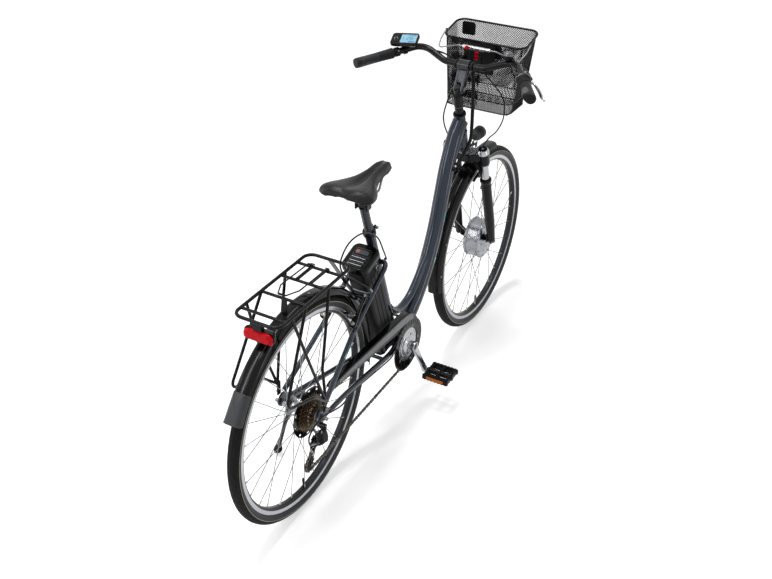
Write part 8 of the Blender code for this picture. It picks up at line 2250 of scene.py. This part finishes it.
def brake_arm(name, node, foot, out, up, side, axle_centre, pad_out, body):
    """Arm of a linear-pull brake: waisted forging, cable clamp, spring, and pad with its washers."""
    shape = Shape(BLACK)
    place = axes_at(foot, out, LEFT)
    flip = 1 if place.col[1].xyz.dot(up) > 0 else -1

    def spot(inward, rise):
        return (-inward * side, rise * flip)

    outline = [spot(*p) for p in ((-0.0085, -0.0085), (-0.0040, -0.0108), (0.0, -0.0115), (0.0045, -0.0102),
                                  (0.0090, -0.0060), (0.0100, 0.0040), (0.0100, 0.0200), (0.0088, 0.0380),
                                  (0.0085, 0.0550), (0.0100, 0.0780), (0.0105, 0.0880), (0.0105, 0.1010),
                                  (0.0090, 0.1038), (0.0030, 0.1040), (0.0012, 0.1010), (-0.0002, 0.0800),
                                  (-0.0005, 0.0600), (-0.0040, 0.0360), (-0.0065, 0.0240), (-0.0090, 0.0060),
                                  (-0.0100, -0.0030))]
    low, high = ARM_BACK, ARM_BACK + ARM_THICK
    shape.prism(outline, place, low, high, BLACK, 0.0016)
    slot = [spot(*p) for p in ((0.0015, 0.036), (0.0045, 0.036), (0.0058, 0.060), (0.0058, 0.080),
                               (0.0036, 0.080),
                               (0.0022, 0.058))]
    shape.prism(slot, place, high - 0.0002, high + 0.0004, DARK_GREY_AND_SHEEN, 0.0002)
    shape.lathe([(0.0, high - 0.0010), (0.0064, high - 0.0010), (0.0068, high + 0.0006),
                 (0.0062, high + 0.0034),
                 (0.0030, high + 0.0036), (0.0026, high + 0.0022), (0.0, high + 0.0022)], place, STEEL, 28)
    shape.lathe([(0.0045, low - 0.0012), (0.0090, low - 0.0012), (0.0092, low + 0.0005),
                 (0.0045, low + 0.0005)],
                place, STEEL, 28)
    spring = []
    for i in range(34):
        angle = i * 0.8
        spring.append(place @ Vector((0.0086 * math.cos(angle), 0.0086 * math.sin(angle),
                                      0.0045 + 0.00036 * i)))
    spring += [place @ Vector((*spot(-0.0070, 0.020), 0.0175)),
               place @ Vector((*spot(-0.0035, 0.048), 0.0185))]
    shape.tube(spring, 0.0008, DARK_STEEL_AND_GAP_SHADE, 6)
    pad_face = 0.0125 + 0.0018
    level = Vector((0.0, foot.y, foot.z)) + up * 0.028
    middle = (low + high) / 2
    reach = abs(foot.x)
    start, end = level + LEFT * (side * (pad_face + 0.004)), level + LEFT * (side * (reach - 0.006))
    shape.rod(axes_at(start + out * middle, LEFT * side), 0.0034, 0.0, (end - start).length, STEEL, 20)
    stud = axes_at(level + out * middle + LEFT * (side * (pad_face + 0.0088)), LEFT * side)
    for z, r in ((0.0, 0.0066), (0.0024, 0.0060), (0.0044, 0.0068)):
        shape.lathe([(0.0030, z), (r, z + 0.0003), (r, z + 0.0018), (0.0030, z + 0.0021)], stud, STEEL, 26)
    shape.hexagon(axes_at(level + out * middle + LEFT * (side * (reach - 0.011)), LEFT * side), 0.0058, 0.0,
                  0.0045,
                  STEEL)
    pad_centre = level + out * pad_out
    across_rim = (pad_centre - axle_centre).normalized()
    slab = axes_at(pad_centre + LEFT * (side * (pad_face + 0.0045)), across_rim, out)
    radius = (pad_centre - axle_centre).length
    rings = []
    for i in range(17):
        share = i / 16 * 2 - 1
        turn = share * 0.0258 / radius
        out_here = across_rim * math.cos(turn) + slab.col[0].xyz * math.sin(turn)
        squeeze = 1.0 - 0.35 * abs(share) ** 6
        ring = []
        for x, y in oblong(0.0088 * squeeze, 0.0083, 0.0016, 3):
            ring.append(axle_centre + out_here * (radius + x) + LEFT * (side * (pad_face + 0.0045 - y * 1.0)))
        rings.append(ring)
    shape.loft(rings, MATT)
    anchor = place @ Vector((*spot(0.0052, 0.0968), high))
    shape.rod(axes_at(anchor, out), 0.0042, -0.0006, 0.0020, STEEL, 20)
    shape.hexagon(axes_at(anchor, out), 0.0030, 0.0016, 0.0036, STEEL)
    return shape.piece(name, body, node, "crank")


# Chain guard

def chain_guard():
    shape = Shape(SILVER_AND_HIGHLIGHT)
    stations = [(-0.004, 0.350, 0.010), (0.004, 0.361, 0.0145), (0.012, 0.370, 0.018), (0.034, 0.387, 0.026),
                (0.062, 0.397, 0.032), (0.116, 0.402, 0.034), (0.248, 0.404, 0.029), (0.412, 0.409, 0.022),
                (0.500, 0.408, 0.017), (0.520, 0.4045, 0.0135), (0.530, 0.400, 0.010)]
    fine = smooth([Vector(s) for s in stations], 64)
    outer, inner, wall = -0.0598, -0.0375, 0.0015
    rings = []
    for y, top, height in fine:
        rings.append([Vector((x, y, z)) for x, z in (
            (outer, top - height), (outer, top - 0.0045), (outer + 0.0006, top - 0.0018),
            (outer + 0.0018, top - 0.0006),
            (outer + 0.0036, top), (inner, top), (inner, top - wall), (outer + 0.0040, top - wall),
            (outer + 0.0022, top - 0.0022), (outer + wall, top - 0.0045), (outer + wall, top - height))])
    shape.loft(rings, GLOSS)
    inset = []
    for y, top, height in fine[5:-5]:
        low, high = top - height + 0.0012, top - 0.0052
        if high - low > 0.003:
            inset.append([Vector((x, y, z)) for x, z in ((outer - 0.0004, low), (outer - 0.0004, high),
                                                         (outer + 0.0004, high), (outer + 0.0004, low))])
    shape.loft(inset, GREY)
    tab_y = on_seat_tube(0.145).y
    shape.block((0.0240, 0.012, 0.0022), at(-0.0280, tab_y, 0.4008), BLACK, 0.0006)
    shape.rod(axes_at((-0.0300, tab_y, 0.4020), UP), 0.0036, -0.001, 0.0018, STEEL, 16)
    for y in (0.150, 0.380):
        shape.rod(axes_at((outer - 0.0004, y, 0.390), -LEFT), 0.0036, -0.001, 0.0014, STEEL, 16)
    return shape.piece("guard_panel", "frame", "chain_guard", "guard_plastic")


# Cables

def wrapped(points, radius, sides=14, pitch=0.0082, first=0.0):
    """Rings of a spirally wrapped bundle along the path."""
    rings = []
    side = None
    travelled = first
    for i, point in enumerate(points):
        ahead = (points[min(i + 1, len(points) - 1)] - points[max(i - 1, 0)]).normalized()
        if side is None:
            side = ahead.cross(LEFT if abs(ahead.x) < 0.9 else UP)
        side = (side - ahead * side.dot(ahead)).normalized()
        other = ahead.cross(side)
        if i:
            travelled += (point - points[i - 1]).length
        ring = []
        for k in range(sides):
            share = (travelled / pitch + k / sides) % 1.0
            size = radius * (0.86 if share < 0.26 else 1.0)
            angle = 2 * math.pi * k / sides
            ring.append(point + (side * math.cos(angle) + other * math.sin(angle)) * size)
        rings.append(ring)
    return rings


def bent(shape, name, replaces, slot):
    """One stretch of cable as a piece of its own, its placement baked into the mesh."""
    piece = shape.piece(name, None, replaces, slot, weighted=False)
    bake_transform(piece)
    return piece


def three_stretches(name, route, count, radius, node, slot, wrap, shares=(0.34, 0.67)):
    """A cable from the bar down to the frame or the fork, split where it passes from body to body."""
    path = smooth(route, count)
    cuts = [0, int(count * shares[0]), int(count * shares[1]), count - 1]
    for i, (low, high) in enumerate(zip(cuts, cuts[1:])):
        part = path[low:high + 1]
        shape = Shape(JACKET if not wrap else MATT)
        if wrap:
            shape.loft(wrapped(part, radius, first=(part[0] - path[0]).length), MATT)
        else:
            shape.tube(part, radius, JACKET, 12)
        bent(shape, name + "_" + str(i + 1), node, slot)


def cables():
    left = grip_frame(1, LEVER_BACK[1])
    over = ARM_HEIGHT + CABLE + 0.0003
    arm_top = on_steering(0.282 + over, LEG_OFFSET + ARM_BACK + ARM_THICK / 2)
    three_stretches("front_brake_hose", [
        left @ Vector((0.024, 0.0, -0.0405)), left @ Vector((0.027, 0.0, -0.075)), (0.105, -0.470, 1.085),
        (0.060, -0.475, 1.020), (0.082, -0.455, 0.930), (0.092, -0.450, 0.860), (0.076, -0.468, 0.790),
        (0.056, -0.492, 0.752), arm_top + LEFT * 0.045 + UP * 0.004, arm_top + LEFT * 0.020 + UP * 0.0005,
        arm_top - LEFT * 0.044 + UP * 0.0005], 132, CABLE, "front_brake_cable", "cable_jacket",
        False, (0.30, 0.50))
    three_stretches("loom", [
        (-0.018, -0.424, 1.066), (-0.026, -0.417, 1.030), (-0.031, -0.412, 0.985), (-0.033, -0.409, 0.930),
        (-0.034, -0.408, 0.875), (-0.037, -0.395, 0.830), (-0.0335, -0.350, 0.792), (-0.0320, -0.310, 0.772)],
        330,
        0.0062, "cable_bundle", "cable_jacket", True)
    foot, out, up = rear_boss(-1)
    top = foot + up * over + out * (ARM_BACK + ARM_THICK / 2)
    rear = Shape(JACKET)
    route = smooth([(-0.0225, 0.150, 0.640), (-0.034, 0.190, 0.690), (-0.052, 0.262, 0.775),
                    (-0.055, 0.345, 0.828),
                    (-0.055, 0.425, 0.835), (-0.053, 0.470, 0.795), (-0.050, 0.450, 0.745),
                    (-0.046, 0.395, 0.700),
                    top + Vector((-0.014, 0.012, 0.026)), top + Vector((-0.004, 0.002, 0.006)),
                    top + Vector((0.008, 0.0, 0.0006)), top + Vector((0.034, 0.0, 0.0002)),
                    top + Vector((0.102, 0.0, 0.0002))], 150)
    split = next(i for i, p in enumerate(route) if i > 60 and (p - (top + Vector((-0.004, 0.002,
                                                                                  0.006)))).length < 0.006)
    rear.tube(route[:split], CABLE, JACKET, 14)
    rear.tube(route[split - 6:split + 14], [0.0034] * 20, STEEL, 14)
    rear.tube(route[split + 8:], 0.0010, STEEL, 8)
    rear.piece("rear_brake_hose", "frame", "rear_brake_cable", "cable_jacket")
    gear = Shape(JACKET)
    gear.tube(smooth([(-0.0265, 0.090, 0.249), (-0.043, 0.150, 0.2655), (-0.0515, 0.270, 0.2880),
                      (-0.0590, 0.400, 0.3100), (-0.076, 0.500, 0.327), (-0.089, 0.570, 0.357),
                      (-0.091, 0.640, 0.378),
                      (-0.088, 0.695, 0.355), (-0.084, 0.692, 0.315), (-0.083, 0.660, 0.296)], 110), 0.0024,
                      JACKET, 14)
    ends = ((-0.0839, 0.6885, 0.310), (-0.0830, 0.6600, 0.2960))
    gear.tube([Vector(ends[0]), Vector(ends[1])], 0.0032, STEEL, 12)
    gear.piece("gear_hose", "frame", "shift_cable", "cable_jacket")
    bar_leads()


def bar_leads():
    """The leads beside the bundle: a loop from the right of the bar, and the grey gear lead by the bell."""
    path = smooth([(-0.060, -0.4400, 1.074), (-0.040, -0.4620, 1.052), (-0.062, -0.4640, 1.030),
                   (-0.105, -0.4560, 0.995), (-0.128, -0.4520, 0.955), (-0.124, -0.4540, 0.900),
                   (-0.100, -0.4620, 0.850), (-0.070, -0.4720, 0.815), on_steering(0.4610, 0.0120, -0.0560)],
                   100)
    cuts = [0, 34, 66, 99]
    for i in range(2):
        part = path[cuts[i]:cuts[i + 1] + 1] if i == 0 else path[cuts[1]:]
        shape = Shape(JACKET)
        shape.tube(part, 0.0022, JACKET, 12)
        bent(shape, "side_lead_" + str(i + 1), (), "cable_jacket")
    shifter_end = grip_frame(-1, 0.1440)
    lead = Shape(GREY_JACKET)
    bell_top = Vector((-0.118, -0.4180, 1.1180))
    lead.tube(smooth([shifter_end @ Vector((0.0150, 0.0, -0.001)),
                      shifter_end @ Vector((0.0260, 0.004, -0.020)),
                      shifter_end @ Vector((0.0300, 0.006, -0.048)),
                      bell_top + Vector((-0.020, -0.028, 0.004)),
                      bell_top + Vector((0.012, -0.016, -0.014)), Vector((-0.070, -0.4300, 1.080)),
                      Vector((-0.034, -0.4240, 1.070))], 60), 0.0020, GREY_JACKET, 12)
    right = grip_frame(-1, LEVER_BACK[-1])
    lead.tube(smooth([right @ Vector((0.0240, 0.0, -0.0405)), right @ Vector((0.0270, 0.0, -0.0700)),
                      Vector((-0.110, -0.4560, 1.108)), Vector((-0.066, -0.4440, 1.086)),
                      Vector((-0.026, -0.4290, 1.070))], 60), 0.0024, JACKET, 12)
    inner = display_frame() @ Vector((-0.030, -0.010, -0.008))
    lead.tube(smooth([inner, inner + Vector((-0.006, -0.010, -0.022)), Vector((0.072, -0.4180, 1.1040)),
                      Vector((0.038, -0.4180, 1.0860)), Vector((-0.006, -0.4260, 1.0700))], 50), 0.0019,
                      JACKET, 12)
    return lead.piece("bar_leads", "cockpit", (), "cable_jacket")


def assemble():
    make_camera()
    saddle()
    swing, pins, phases = chain_pins()
    main_frame()
    chain_stays()
    seat_stays()
    seat_clamp()
    rear_mudguard()
    front_mudguard()
    rack()
    rack_clamp()
    tail_light()
    head_lamp()
    battery()
    key_lock()
    battery_dock()
    seatpost()
    kickstand()
    for place, centre, body, metal in (("rear", REAR_AXLE, "rear_wheel", RIM_REAR),
                                       ("front", FRONT_AXLE, "front_wheel", RIM_FRONT)):
        tyre(place + "_tyre", centre, body)
        rim(place + "_rim", centre, body, metal)
    rear_hub("rear_wheel")
    front_hub("front_wheel")
    axle("rear_spindle", REAR_AXLE, 0.0675, 0.0735, 0.0905, 0.0628, "frame", "rear_axle")
    axle("front_spindle", FRONT_AXLE, 0.050, 0.056, 0.068, 0.0428, "lowers", "front_axle")
    chain(pins)
    sprockets(phases[3], "freewheel")
    chainring(phases[0], "cranks")
    pulley("guide_wheel", "jockey_upper", GUIDE_PULLEY, phases[2], "upper_pulley")
    pulley("tension_wheel", "jockey_lower", tension_pulley(swing), phases[1], "lower_pulley")
    derailleur(swing)
    chain_guard()
    for side, name in ((-1, "right"), (1, "left")):
        crank(side, "cranks")
        pedal("pedal_" + name, side, "pedal_" + name)
        foot, out, up = rear_boss(side)
        brake_arm("rear_caliper_" + name, "rear_brake_arm_" + name, foot, out, up, side, REAR_AXLE, 0.012,
                  "rear_brake_" + name)
        brake_arm("front_caliper_" + name, "front_brake_arm_" + name, front_boss(side), STEER_AHEAD,
                  STEER_AXIS, side,
                  FRONT_AXLE, 0.021, "front_brake_" + name)
        lever(side, "lever_" + name)
    fork_crown()
    fork_lowers()
    motor_plug()
    stem_post()
    stem_arm()
    handlebar()
    grip(1, 0.135, "cockpit")
    grip(-1, 0.088, "cockpit")
    shifter()
    bell()
    display()
    display_button()
    basket()
    basket_bail()
    basket_release()
    cables()
    make_studio()


assemble()
